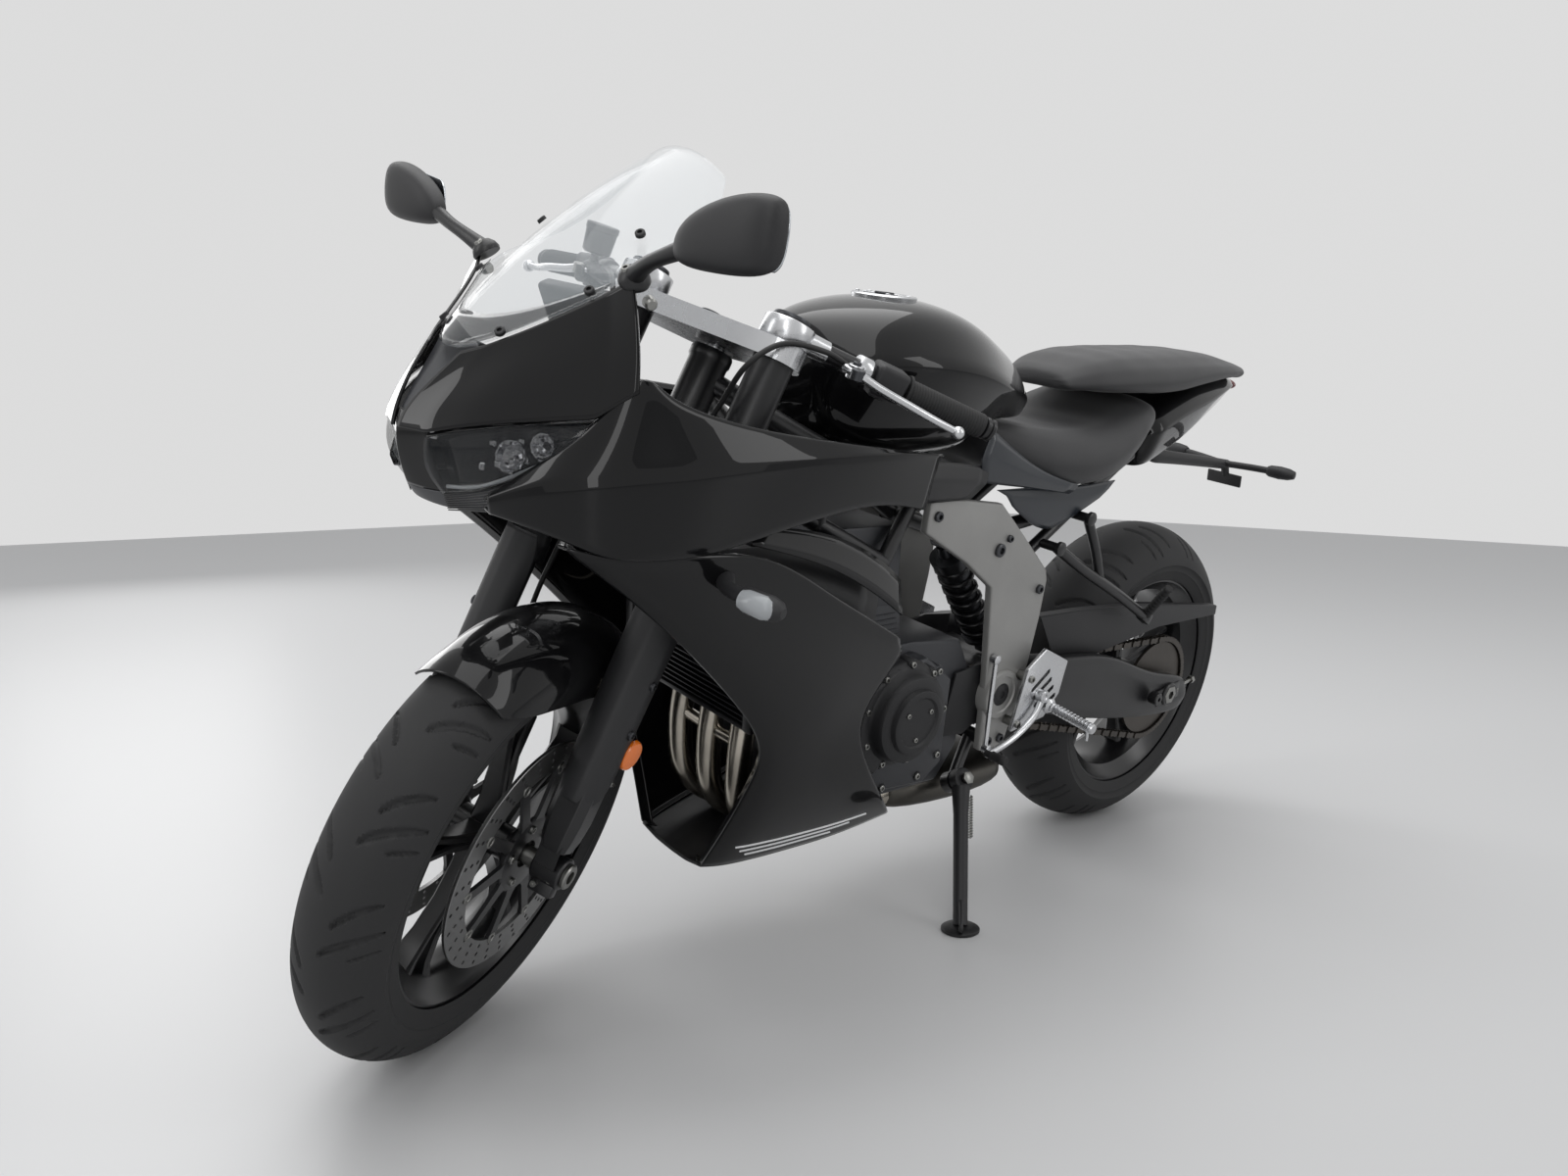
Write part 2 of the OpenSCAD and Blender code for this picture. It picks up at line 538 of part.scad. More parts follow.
module rear_caliper() color(satin) mirror([0, 1, 0]) difference() {
    union() {
        translate([20, 66, 396]) cube([74, arm_y - 66.3, 46]);
        translate([40, 98, 326]) cube([34, arm_y - 98.3, 80]);
    }
    y_disc(axle_rr, rear_disc_r + 6, rear_hub_w - 5, rear_hub_w + disc_t + 5.2);
}
module rear_shock() color(black) {
    low = [430, 0, 421];
    high = [620, 0, 650] - 26.4 * unit([190, 0, 229]);
    y_disc(low, 14, -12, 12);
    y_disc(high, 12, -12, 12);
    rod(low, high, 9);
    rod(low + 0.2 * (high - low), low + 0.85 * (high - low), 31);
}
module rear_subframe() color(black) {
    both_sides() {
        tube_along([[590, 92.4, 672], [420, 96, 705], [228, 84, 790]], 12, 16);
        tube_along([[500, 92, 618], [262, 90, 776]], 10, 16);
        rod([420, 96, 700], [420, 96, seat_low - 0.3], 9);
        y_disc([500, 0, 618], 12, 86, plate_y - 0.3);
        y_disc([570, 0, 664], 9, 88, plate_y - 0.3);
    }
    y_disc([228, 0, 790], 12, -84, 84);
}

// ---- bodywork ----
// rows of [x, y, z] points from the middle outwards, for the left half
nose_rows = [
    [[1554, 0, 813], [1543, 46, 815], [1513, 100, 836], [1468, 150, 850], [1424, 193, 862],
        [1388, 222, 905]],
    [[1542, 0, 850], [1526, 42, 858], [1488, 92, 880], [1444, 138, 902], [1404, 178, 925],
        [1388, 204, 945]],
    [[1502, 0, 900], [1494, 36, 905], [1452, 76, 930], [1412, 112, 962], [1388, 140, 988],
        [1374, 166, 1006]]];
bracket_end = [1400, 0, 842];          // where the nose's boss meets the front bracket
module nose_cowl() color(black) {
    both_halves_panel(nose_rows, panel_t);
    rod(bracket_end, [1541, 0, 842], 8);
}
function mirrored(row) = concat([for (j = [len(row) - 1:-1:1]) [row[j][0], -row[j][1], row[j][2]]], row);
module both_halves_panel(rows, t) panel([for (r = rows) mirrored(r)], t);
lamp_rows = [
    [[1518, 48, 750], [1500, 96, 762], [1462, 148, 796], [1424, 188, 842]],
    [[1540, 46, 810], [1509, 99, 830.5], [1465, 147, 844], [1421, 187, 854]]];
module headlight() color([0.25, 0.26, 0.28]) panel(lamp_rows, 22);
module headlight_left() headlight();
module headlight_right() mirror([0, 1, 0]) headlight();
chin_rows = [
    [[1528, 0, 734], [1510, 48, 730], [1496, 96, 740], [1487, 128, 744]],
    [[1540, 0, 748.4], [1518.2, 47.5, 748.9], [1500.2, 95.5, 760.9], [1477, 126, 779.4]]];
module chin_cowl() color(satin) both_halves_panel(chin_rows, panel_t);
screen_rows = [
    [[1502.2, 0, 900.6], [1494.2, 36, 905.6], [1452.2, 76, 930.6], [1412.2, 112, 962.6]],
    [[1440, 0, 985], [1432, 44, 985], [1402, 88, 990], [1376, 128, 1004]],
    [[1360, 0, 1062], [1352, 52, 1058], [1328, 98, 1046], [1300, 142, 1030]],
    [[1280, 0, 1125], [1274, 48, 1120], [1256, 92, 1102], [1240, 128, 1078]],
    [[1222, 0, 1166], [1220, 34, 1162], [1216, 68, 1146], [1212, 96, 1126]]];
module windscreen() color([0.6, 0.65, 0.7, 0.4]) both_halves_panel(screen_rows, 3);
// side fairing, rows from the top edge down, columns from the nose back
fair_rows = [
    [[1479, 126, 768], [1428, 190.5, 835], [1425, 195, 857.5], [1389, 223.5, 900], [1342, 224, 876],
        [1250, 229, 858], [1100, 234, 843], [930, 228, 824]],
    [[1482, 132, 768], [1440, 200, 800], [1418, 214, 806], [1386, 228, 810], [1342, 236, 812],
        [1250, 246, 820], [1100, 252, 829], [934, 236, 830]],
    [[1484, 134, 760], [1448, 206, 778], [1420, 222, 784], [1386, 234, 790], [1340, 243, 796],
        [1250, 251, 808], [1100, 254, 820], [938, 236, 820]],
    [[1487, 136, 748], [1446, 202, 722], [1418, 216, 714], [1386, 228, 714], [1334, 240, 716],
        [1226, 248, 722], [1100, 247, 758], [945, 232, 752]]];
lower_rows = [
    [[1412, 213.5, 717], [1330, 237.5, 719], [1226, 245.5, 722], [1081, 240, 650], [928, 222, 574]],
    [[1400, 214, 706], [1326, 232, 690], [1238, 243, 690], [1078, 238, 636], [920, 220, 566]],
    [[1308, 212, 628], [1245, 228, 612], [1160, 233, 588], [1045, 228, 560], [894, 208, 546]],
    [[1192, 207, 516], [1130, 217, 506], [1050, 219, 500], [985, 213, 497], [932, 205, 495]],
    [[1115, 195, 427], [1080, 203, 430], [1040, 206, 435], [1002, 205, 440], [966, 204, 440]],
    [[1102, 160, 350], [1062, 176, 352], [1012, 186, 355], [962, 192, 357], [916, 195, 359]],
    [[1098, 118, 270], [1050, 138, 274], [990, 154, 280], [920, 168, 286], [849, 178, 290]],
    [[1100, 72, 190], [1046, 92, 194], [984, 110, 202], [900, 130, 216], [800, 146, 240]]];
module side_fairing() color(black) {
    panel(fair_rows, -panel_t);
    panel(lower_rows, -panel_t);
    // stand-offs to the frame and the engine
    rod([985, 132.2, 797], [985, 241, 797], 7);
    rod([905, 148.3, 335], [905, 188, 335], 6);
}
module side_fairing_left() side_fairing();
module side_fairing_right() mirror([0, 1, 0]) side_fairing();
module belly_pan() color(black) panel([for (p = [[1100, 70.5, 186.5], [1046, 90.5, 190.5],
    [984, 108, 198], [940, 118, 206]])
    [[p[0], p[1], p[2]], [p[0], p[1] * 0.5, p[2] - 9], [p[0], -p[1] * 0.5, p[2] - 9],
        [p[0], -p[1], p[2]]]], 3);
module instrument_panel() color(satin) {
    head_mid = steer_p + up_s * (lower_yoke_at + 92);
    rotate_about([1330, 0, 950], 25) translate([1320, -75, 896]) cube([22, 150, 90]);
    bent_rod([head_mid + 27.4 * out_s, head_mid + 70 * out_s, [1330, 0, 842], bracket_end - [0.3, 0,
        0]], 10);
    rod([1330, 0, 842], [1310, 0, 930], 9);
}
module mirror_arm() color(satin) {
    rod([1375.8, 165.7, 1012.5], [1392, 276, 1042], 10);
    loft([for (r = [[268, 22, 16, 1392, 1044], [300, 34, 22, 1396, 1052], [350, 48, 26, 1398, 1060],
        [396, 42, 20, 1396, 1062], [408, 30, 10, 1394, 1062]])
        [for (k = [0:11]) [r[3] - 8 + r[2] * cos(30 * k), r[0], r[4] + r[1] * sin(30 * k)]]]);
}
module mirror_left() mirror_arm();
module mirror_right() mirror([0, 1, 0]) mirror_arm();
module front_indicators() color(satin) both_sides() {
    rod([1282, 240, 684], [1276, 290, 682], 10);
    rod([1276, 288, 682], [1262, 345, 678], 15, 10);
}
tank_rows = [
    [1006, 968, 50, 962, 84, 925, 80, 850], [960, 990, 78, 982, 128, 925, 94, tank_low],
        [880, 1008, 92, 998, 156, 925, 94, tank_low],
    [790, 1014, 98, 1002, 160, 925, 94, tank_low], [710, 1004, 98, 990, 152, 915, 90, tank_low],
        [650, 982, 94, 966, 134, 900, 86, 800],
    [641, 979, 93, 962, 130, 897, 84, seat_top_front], [575, 950, 74, 936, 98, 890, 74, seat_top_front],
    [520, 915, 46, 905, 62, 876, 54, seat_top_front], [494, 882, 26, 876, 38, 862, 34, seat_top_front]];
module fuel_tank() color(black) difference() {
    body_loft(tank_rows);
    rod([830, 0, 1003], [830, 0, 1040], 52);
}
module fuel_cap() color(silver) rod([830, 0, 1003.3], [830, 0, 1015], 50);
seat_rows = [
    [640, seat_top_front - 0.3, 50, seat_top_front - 0.6, 72, 818, 66, 790],
        [590, seat_top_front - 0.3, 72, seat_top_front - 0.6, 104, 800, 96, 770],
    [500, seat_top_front - 0.3, 96, 836, 138, 780, 126, seat_low + 2], [420, 834, 106, 832, 150, 784,
        138, seat_low], [340, 850, 110, 848, 150, 806, 138, 762],
    [270, 882, 100, 880, 138, 846, 124, 798], [222, 893, 90, 891, 122, 868, 112, 836]];
module rider_seat() color(satin) body_loft(seat_rows);
pillion_rows = [
    [432, 912, 40, 908, 62, 898, 50, 896], [380, 942, 66, 936, 92, 912, 84, 896.5],
        [310, 958, 82, 950, 110, 922, 98, 897], [160, 968, 86, 960, 116, 926, 104, 900],
    [20, 974, 76, 966, 104, 942, 92, 927], [-100, 968, 60, 962, 80, 950, 70, 936.9],
        [-170, 950, 40, 947, 54, 944, 46, 939.8]];
module pillion_seat() color(satin) body_loft(pillion_rows);
tail_rows = [
    [215.6, 850, 80, 848, 118, 832, 96, 748], [150, 880, 86, 876, 108, 850, 82, 762],
        [40, 920, 78, 916, 94, 880, 62, 794],
    [-60, 933.6, 62, 930, 74, 905, 46, 838], [-140, 937, 44, 934, 54, 918, 34, 880],
        [-186, 934, 30, 932, 38, 922, 26, 902]];
module tail_cowl() color(black) body_loft(tail_rows);
module tail_light() color([0.5, 0.02, 0.02])
    loft([for (r = [[-186.3, 34, 12], [-202, 26, 8]]) [for (k = [11:-1:0]) [r[0], r[1] * cos(30 * k),
        917 + r[2] * sin(30 * k)]]]);
module seat_side_covers() color(satin) both_sides() {
    side_plate_of([[636, 742], [560, 744], [420, 738], [300, 754], [430, 678], [492, 644],
        [592, 722]], plate_y, plate_y + 5);
    y_disc([420, 0, 705], 7, 108.9, plate_y + 1);
}
module plate_holder() color(satin) {
    rod([20, 0, 762], [20, 0, 797.1], 12);
    rod([28, 0, 770], [-300, 0, 744], 13);
    rod([-290, 0, 745], [-302, 0, 722], 9);
    translate([-306, -40, 700]) rotate([0, 12, 0]) cube([4, 80, 28]);
    both_sides() { rod([-282, 6, 746], [-292, 96, 752], 8); rod([-292, 94, 752], [-300, 152, 754], 13, 8); }
}
module rider_footrests() color(silver) both_sides() {
    side_plate_of([[512, 442], [470, 474], [400, 444], [408, 384], [440, 345],
        [528, 332]], arm_y + arm_t + 6, arm_y + arm_t + 14);
    y_disc([500, 0, 424], 9, plate_y + plate_t + 6.3, arm_y + arm_t + 8);
    y_disc([516, 0, 345], 8, plate_y + plate_t + 0.3, arm_y + arm_t + 8);
    rod([432, arm_y + arm_t + 12, 366], [432, 252, 358], 9);
}
module foot_controls() color(silver) both_sides() {
    y0 = arm_y + arm_t + 14.3;
    y_disc([470, 0, 392], 11, y0, y0 + 14);
    bent_rod([[470, y0 + 9, 392], [520, y0 + 12, 336], [604, y0 + 14, 312]], 6);
    rod([600, y0 + 10, 313], [604, 214, 316], 8);
}
module pillion_footrests() color(satin) both_sides() {
    y_disc([462, 0, 643.2], 8, 101.9, 136);
    rod([462, 132, 643], [164, 152, 496], 10);
    y_disc([390, 0, 691], 8, 101.6, 136);
    rod([390, 132, 691], [330, 142, 578], 9);
    rod([168, 148, 494], [200, 204, 572], 8);
}

// ---- side stand ----
stand_pivot = [stand_x, stand_y, stand_z];
stand_foot = [foot_x, foot_y, foot_z];
stand_dir = unit(stand_foot - stand_pivot);
stand_axis = unit([0.11, 0.80, 0.54]);
stand_bolt_r = 6;
module side_stand() color(satin) {
    difference() {
        union() {
            rod(stand_pivot, stand_foot - 12 * stand_dir, stand_r);
            rod(stand_pivot - 10 * stand_axis, stand_pivot + 10 * stand_axis, 19);
        }
        rod(stand_pivot - 40 * stand_axis, stand_pivot + 40 * stand_axis, stand_bolt_r + run_gap);
    }
    translate(stand_foot) rotate([lean, 0, 0]) rotate([0, -pitch, 0]) cylinder(h = 9, r = 32);
}
// the bolt the stand turns on, and the lug that holds it
module stand_bolt() {
    rod(stand_pivot - 32 * stand_axis, stand_pivot + 21 * stand_axis, stand_bolt_r);
    rod(stand_pivot + 15 * stand_axis, stand_pivot + 22 * stand_axis, 11);
    rod(stand_pivot - 34 * stand_axis, stand_pivot - 15 * stand_axis, 18);
    rod(stand_pivot - 26 * stand_axis, [545, 88, 306], 10);
}

placed() main_frame();
placed() side_plate_left();
placed() side_plate_right();
placed() engine_block();
placed() engine_cover_left();
placed() engine_cover_right();
placed() radiator();
placed() exhaust_headers();
placed() silencer();
placed() nose_cowl();
placed() chin_cowl();
placed() headlight_left();
placed() headlight_right();
placed() windscreen();
placed() side_fairing_left();
placed() side_fairing_right();
placed() belly_pan();
placed() instrument_panel();
placed() mirror_left();
placed() mirror_right();
placed() front_indicators();
placed() fuel_tank();
placed() fuel_cap();
placed() rider_seat();
placed() pillion_seat();
placed() tail_cowl();
placed() tail_light();
placed() seat_side_covers();
placed() rear_subframe();
placed() plate_holder();
placed() swingarm();
placed() paddock_bosses();
placed() rear_axle();
placed() rear_shock();
placed() chain();
placed() chain_guard();
placed() rear_caliper();
placed() rider_footrests();
placed() foot_controls();
placed() pillion_footrests();
placed() steered() yokes();
placed() steered() fork_leg(1);  // fork_left
placed() steered() fork_leg(-1);  // fork_right
placed() steered() handlebars();
placed() steered() grips();
placed() steered() hand_levers();
placed() steered() control_cables();
placed() steered() front_mudguard();
placed() steered() front_calipers();
placed() steered() front_axle();
placed() steered() front_rim();
placed() steered() front_tyre();
placed() steered() front_discs();
placed() rear_rim();
placed() rear_tyre();
placed() rear_disc();
placed() rear_sprocket();
placed() side_stand();
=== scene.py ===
"""Sport bike: the looks of every visible piece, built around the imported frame."""

import json
import math

import bmesh
import bpy
import numpy as np
from bpy.props import FloatProperty, FloatVectorProperty, IntProperty, PointerProperty
from mathutils import Matrix, Vector


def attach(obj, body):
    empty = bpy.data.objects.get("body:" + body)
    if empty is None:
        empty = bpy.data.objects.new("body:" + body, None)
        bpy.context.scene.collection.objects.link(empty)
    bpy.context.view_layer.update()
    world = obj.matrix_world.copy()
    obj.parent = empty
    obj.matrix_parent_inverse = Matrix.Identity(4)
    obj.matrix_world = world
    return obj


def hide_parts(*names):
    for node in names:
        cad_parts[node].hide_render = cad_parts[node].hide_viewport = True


bl_info = {
    "name": "Sport Bike Looks",
    "version": (1, 0, 0),
    "blender": (4, 5, 0),
    "location": "View3D > Sidebar > Sport Bike",
    "description": "Builds the bodywork, wheels, seats and fittings of a sport bike on its packed frame",
    "category": "Object",
}

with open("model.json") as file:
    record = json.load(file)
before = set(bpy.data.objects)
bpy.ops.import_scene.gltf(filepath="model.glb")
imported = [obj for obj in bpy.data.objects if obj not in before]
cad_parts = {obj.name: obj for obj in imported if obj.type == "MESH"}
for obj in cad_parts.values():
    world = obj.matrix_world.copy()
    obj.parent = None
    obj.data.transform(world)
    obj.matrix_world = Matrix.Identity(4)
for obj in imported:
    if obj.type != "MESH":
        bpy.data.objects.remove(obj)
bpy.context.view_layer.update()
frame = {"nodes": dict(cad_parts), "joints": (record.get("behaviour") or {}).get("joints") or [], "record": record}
JOINTS = {j["name"]: j for j in frame["joints"]}


# ---------------------------------------------------------------- the bike's own upright frame

def bike_matrices():
    """The turn from the bike's upright frame (metres, x forward, y left) to the row, and the same with the bars
    turned."""
    steer, rear = JOINTS["steering"], JOINTS["rear_wheel_spin"]
    y = Vector(rear["axis"]).normalized()
    s = Vector(steer["axis"]).normalized()
    n = y.cross(s).normalized()
    rake = math.radians(22.5)
    x = math.cos(rake) * n - math.sin(rake) * s
    z = math.sin(rake) * n + math.cos(rake) * s
    origin = Vector(rear["pos_m"]) - 0.315 * z
    upright = Matrix.Translation(origin) @ Matrix((x, y, z)).transposed().to_4x4()
    lock = math.radians(-0.5 * steer["range_deg"][0])
    p = Vector(steer["pos_m"])
    turned = Matrix.Translation(p) @ Matrix.Rotation(lock, 4, s) @ Matrix.Translation(-p) @ upright
    return upright, turned


BIKE, STEERED = bike_matrices()
WHEELBASE = 1.426
FRONT_AXLE = Vector((WHEELBASE, 0, 0.300))
REAR_AXLE = Vector((0, 0, 0.315))
RAKE = math.radians(22.5)
UP_S = Vector((-math.sin(RAKE), 0, math.cos(RAKE)))
OUT_S = Vector((math.cos(RAKE), 0, math.sin(RAKE)))
STEER_P = FRONT_AXLE - (0.300 * math.sin(RAKE) - 0.082 * math.cos(RAKE)) * OUT_S


def mm(*p):
    """A point given in millimetres."""
    return Vector(p) / 1000


def fork_pt(s, y=0.0):
    """A point on the fork's line, s mm up from the axle's level."""
    return FRONT_AXLE + 0.015 * OUT_S + s / 1000 * UP_S + Vector((0, y / 1000, 0))


# ---------------------------------------------------------------- settings

class StageSettings(bpy.types.PropertyGroup):
    """The studio round the bike."""
    lens: FloatProperty(name="Lens", description="Focal length of the camera", default=27.11, unit="CAMERA")
    key_power: FloatProperty(name="Key light", description="Power of the big overhead panel", default=52.0,
        unit="POWER")
    floor_colour: FloatVectorProperty(name="Floor", description="Colour of the floor", subtype="COLOR", size=3,
                                      default=(0.60, 0.60, 0.60), min=0, max=1)


class WheelSettings(bpy.types.PropertyGroup):
    """Tyres and brake discs."""
    groove_depth: FloatProperty(name="Groove depth", description="Depth of the tread's grooves", default=0.0042,
        unit="LENGTH")
    around: IntProperty(name="Steps round", description="Steps round a tyre", default=864, min=120, max=900)
    disc_holes: IntProperty(name="Disc holes", description="Drilled holes in one row round a disc", default=30,
        min=12, max=60)


class PaintSettings(bpy.types.PropertyGroup):
    """Paint and plastic colours."""
    body: FloatVectorProperty(name="Bodywork", description="Colour of the gloss paint", subtype="COLOR", size=3,
                              default=(0.0035, 0.0035, 0.0040), min=0, max=1)
    casting: FloatVectorProperty(name="Side plates", description="Colour of the grey castings", subtype="COLOR",
        size=3,
                                 default=(0.29, 0.287, 0.278), min=0, max=1)


# ---------------------------------------------------------------- shaping

BODY_PLACE = {"frame": BIKE, "rear_wheel": BIKE, "side_stand": BIKE, "steering": STEERED, "front_wheel": STEERED}
SLOTS = {s["node"]: s["material_slot"] for s in frame["record"]["subparts"]}


def piece(name, bm, mat, body, stands_for=(), slot=None, sub=0, wall=0.0, wall_side=-1.0, bevel=0.0, sharp=40,
    weld=True):
    """Turns a bmesh drawn in the bike's frame into a finished piece that rides on a body."""
    if weld:
        bmesh.ops.remove_doubles(bm, verts=bm.verts, dist=1e-6)
        bmesh.ops.recalc_face_normals(bm, faces=bm.faces)
    bm.transform(BODY_PLACE[body])
    mesh = bpy.data.meshes.new(name)
    bm.to_mesh(mesh)
    bm.free()
    mesh.materials.append(MATS[mat])
    mesh.shade_smooth()
    if not sub:
        mesh.set_sharp_from_angle(angle=math.radians(sharp))
    obj = bpy.data.objects.new(name, mesh)
    bpy.context.scene.collection.objects.link(obj)
    if sub:
        m = obj.modifiers.new("round", "SUBSURF")
        m.levels = m.render_levels = sub
        m.boundary_smooth = "PRESERVE_CORNERS"
    if wall:
        m = obj.modifiers.new("wall", "SOLIDIFY")
        m.thickness = wall
        m.offset = wall_side
        m.use_even_offset = False
    if bevel:
        m = obj.modifiers.new("edge", "BEVEL")
        m.width = bevel
        m.segments = 2
        m.limit_method = "ANGLE"
        m.angle_limit = math.radians(35)
        m.harden_normals = False
    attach(obj, body)
    if stands_for:
        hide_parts(*stands_for)
        slot = slot or SLOTS[stands_for[0]]
    return obj


def skin(rows, crease_rows=(), crease_cols=(), closed=False, caps=False, unit=0.001, amount=0.85):
    """A sheet bridged through rows of points given in millimetres, with creases along some rows or columns."""
    bm = bmesh.new()
    crease = bm.edges.layers.float.new("crease_edge")
    grid, loops = [], []
    for row in rows:
        vs = [bm.verts.new(Vector(p) * unit) for p in row]
        pairs = list(zip(vs, vs[1:])) + ([(vs[-1], vs[0])] if closed else [])
        grid.append(vs)
        loops.append([bm.edges.new(pair) for pair in pairs])
    for a, b in zip(loops, loops[1:]):
        bmesh.ops.bridge_loops(bm, edges=a + b)
    for i in crease_rows:
        for e in loops[i]:
            e[crease] = amount
    for j in crease_cols:
        for a, b in zip(grid, grid[1:]):
            e = bm.edges.get((a[j], b[j]))
            if e:
                e[crease] = amount
    if caps:
        for k in (0, -1):
            bmesh.ops.contextual_create(bm, geom=loops[k])
    bmesh.ops.recalc_face_normals(bm, faces=bm.faces)
    return bm


def mirror_y(bm):
    """Adds the same shape on the bike's other side."""
    both = bmesh.ops.duplicate(bm, geom=bm.verts[:] + bm.edges[:] + bm.faces[:])["geom"]
    bmesh.ops.scale(bm, vec=(1, -1, 1), verts=[g for g in both if isinstance(g, bmesh.types.BMVert)])
    bmesh.ops.reverse_faces(bm, faces=[g for g in both if isinstance(g, bmesh.types.BMFace)])
    return bm


def whole(row):
    """A half row, from the middle outwards, with its mirror image before it."""
    left = [(x, -y, z) for x, y, z in reversed(row)]
    return left[:-1] + list(row) if abs(row[0][1]) < 1e-6 else left + list(row)


def side_of(rows, side):
    """Rows on the left (1) or right (-1) of the bike."""
    return [[(x, side * y, z) for x, y, z in row] for row in rows]


def to_axis(base, axis):
    """A placement whose z runs along the axis, from the base point."""
    return Matrix.Translation(base) @ Vector(axis).normalized().to_track_quat("Z", "Y").to_matrix().to_4x4()


def join(bm, other):
    """Adds another bmesh's shape and frees it."""
    scratch = bpy.data.meshes.new("scratch")
    other.to_mesh(scratch)
    other.free()
    bm.from_mesh(scratch)
    bpy.data.meshes.remove(scratch)


def lathe(bm, base, axis, profile, steps=32):
    """A turned shape: profile points are (along, radius) in mm from the base point in metres."""
    part = bmesh.new()
    vs = [part.verts.new((r / 1000, 0, z / 1000)) for z, r in profile]
    es = [part.edges.new(pair) for pair in zip(vs, vs[1:])]
    bmesh.ops.spin(part, geom=vs + es, cent=(0, 0, 0), axis=(0, 0, 1), angle=math.tau, steps=steps, use_merge=True)
    bmesh.ops.remove_doubles(part, verts=part.verts, dist=1e-6)
    bmesh.ops.recalc_face_normals(part, faces=part.faces)
    part.transform(to_axis(base, axis))
    join(bm, part)


def y_lathe(bm, x, z, profile, steps=48):
    """A turned shape round an axis along y; profile points are (y, radius) in mm."""
    lathe(bm, mm(x, 0, z), (0, 1, 0), profile, steps)


def solid_disc(y0, y1, r, edge=1.0):
    """The profile of a plain disc with eased edges."""
    return [(y0, 0), (y0, r - edge), (y0 + edge, r), (y1 - edge, r), (y1, r - edge), (y1, 0)]


def tube(bm, pts, r, closed=False, sides=4, smooth=True, radii=None):
    """A round tube through points in mm, radius in mm."""
    curve = bpy.data.curves.new("scratch", "CURVE")
    curve.dimensions = "3D"
    curve.bevel_depth = r / 1000
    curve.bevel_resolution = sides
    curve.use_fill_caps = not closed
    curve.resolution_u = 6
    spline = curve.splines.new("NURBS" if smooth and len(pts) > 2 else "POLY")
    spline.points.add(len(pts) - 1)
    for i, p in enumerate(pts):
        spline.points[i].co = (p[0] / 1000, p[1] / 1000, p[2] / 1000, 1)
        spline.points[i].radius = radii[i] if radii else 1.0
    spline.use_cyclic_u = closed
    spline.use_endpoint_u = not closed
    spline.order_u = 3
    obj = bpy.data.objects.new("scratch", curve)
    mesh = bpy.data.meshes.new_from_object(obj)
    bm.from_mesh(mesh)
    bpy.data.objects.remove(obj)
    bpy.data.curves.remove(curve)
    bpy.data.meshes.remove(mesh)


def block(bm, centre, size, turn=None, ease=2.0, segments=2):
    """A box with eased edges, in mm; turn is its own placement in the bike's frame."""
    part = bmesh.new()
    bmesh.ops.create_cube(part, size=1.0)
    bmesh.ops.scale(part, vec=Vector(size) / 1000, verts=part.verts)
    if ease:
        bmesh.ops.bevel(part, geom=part.edges[:], offset=ease / 1000, segments=segments, profile=0.5, affect="EDGES",
                        material=-1, clamp_overlap=True)
    part.transform(Matrix.Translation(Vector(centre) / 1000) @ (turn.to_4x4() if turn else Matrix()))
    join(bm, part)


def plate(bm, outline, y0, y1, ease=1.5, segments=2):
    """A plate drawn in side view (x, z), between two distances from the middle, with eased edges."""
    part = bmesh.new()
    face = part.faces.new([part.verts.new(mm(x, y0, z)) for x, z in outline])
    rim = bmesh.ops.extrude_face_region(part, geom=[face])["geom"]
    bmesh.ops.translate(part, vec=mm(0, y1 - y0, 0), verts=[g for g in rim if isinstance(g, bmesh.types.BMVert)])
    bmesh.ops.recalc_face_normals(part, faces=part.faces)
    if ease:
        hard = [e for e in part.edges if e.calc_face_angle(0) > 0.6]
        bmesh.ops.bevel(part, geom=hard, offset=ease / 1000, segments=segments, profile=0.5, affect="EDGES",
                        material=-1, clamp_overlap=True)
    join(bm, part)


def bolt(bm, at, axis, r=5.0, head=5.0, steps=14):
    """A socket-head screw seen from outside."""
    lathe(bm, Vector(at) / 1000, axis, [(-1, 0), (-1, r), (head * 0.75, r), (head, r * 0.82), (head, r * 0.5),
                                        (head * 0.35, r * 0.45), (head * 0.35, 0)], steps)


def ring_of(count, x, z, r, y, start=0.0):
    """Points evenly round an axis along y."""
    return [(x + r * math.cos(start + math.tau * k / count), y,
        z + r * math.sin(start + math.tau * k / count)) for k in range(count)]


def path(*pts, n=8):
    """A smooth path through points (Catmull-Rom), as tuples in mm."""
    out = []
    for i in range(len(pts) - 1):
        a, b, c, d = (Vector(pts[max(0, min(len(pts) - 1, i + k))]) for k in (-1, 0, 1, 2))
        for k in range(n):
            t = k / n
            square = 2 * a - 5 * b + 4 * c - d
            cube = 3 * b - a - 3 * c + d
            out.append(tuple(0.5 * (2 * b + (c - a) * t + square * t * t + cube * t ** 3)))
    return out + [tuple(pts[-1])]


def cut(obj, tool_bm, body):
    """Cuts a joined tool shape out of a piece, and applies the cut."""
    bmesh.ops.recalc_face_normals(tool_bm, faces=tool_bm.faces)
    tool_bm.transform(BODY_PLACE[body])
    mesh = bpy.data.meshes.new("scratch")
    tool_bm.to_mesh(mesh)
    tool_bm.free()
    tool = bpy.data.objects.new("scratch", mesh)
    bpy.context.scene.collection.objects.link(tool)
    m = obj.modifiers.new("cut", "BOOLEAN")
    m.operation = "DIFFERENCE"
    m.solver = "EXACT"
    m.object = tool
    result = bpy.data.meshes.new_from_object(obj.evaluated_get(bpy.context.evaluated_depsgraph_get()))
    result.name = obj.name
    obj.modifiers.clear()
    obj.data = result
    bpy.data.objects.remove(tool)
    obj.data.set_sharp_from_angle(angle=math.radians(35))


# ---------------------------------------------------------------- materials

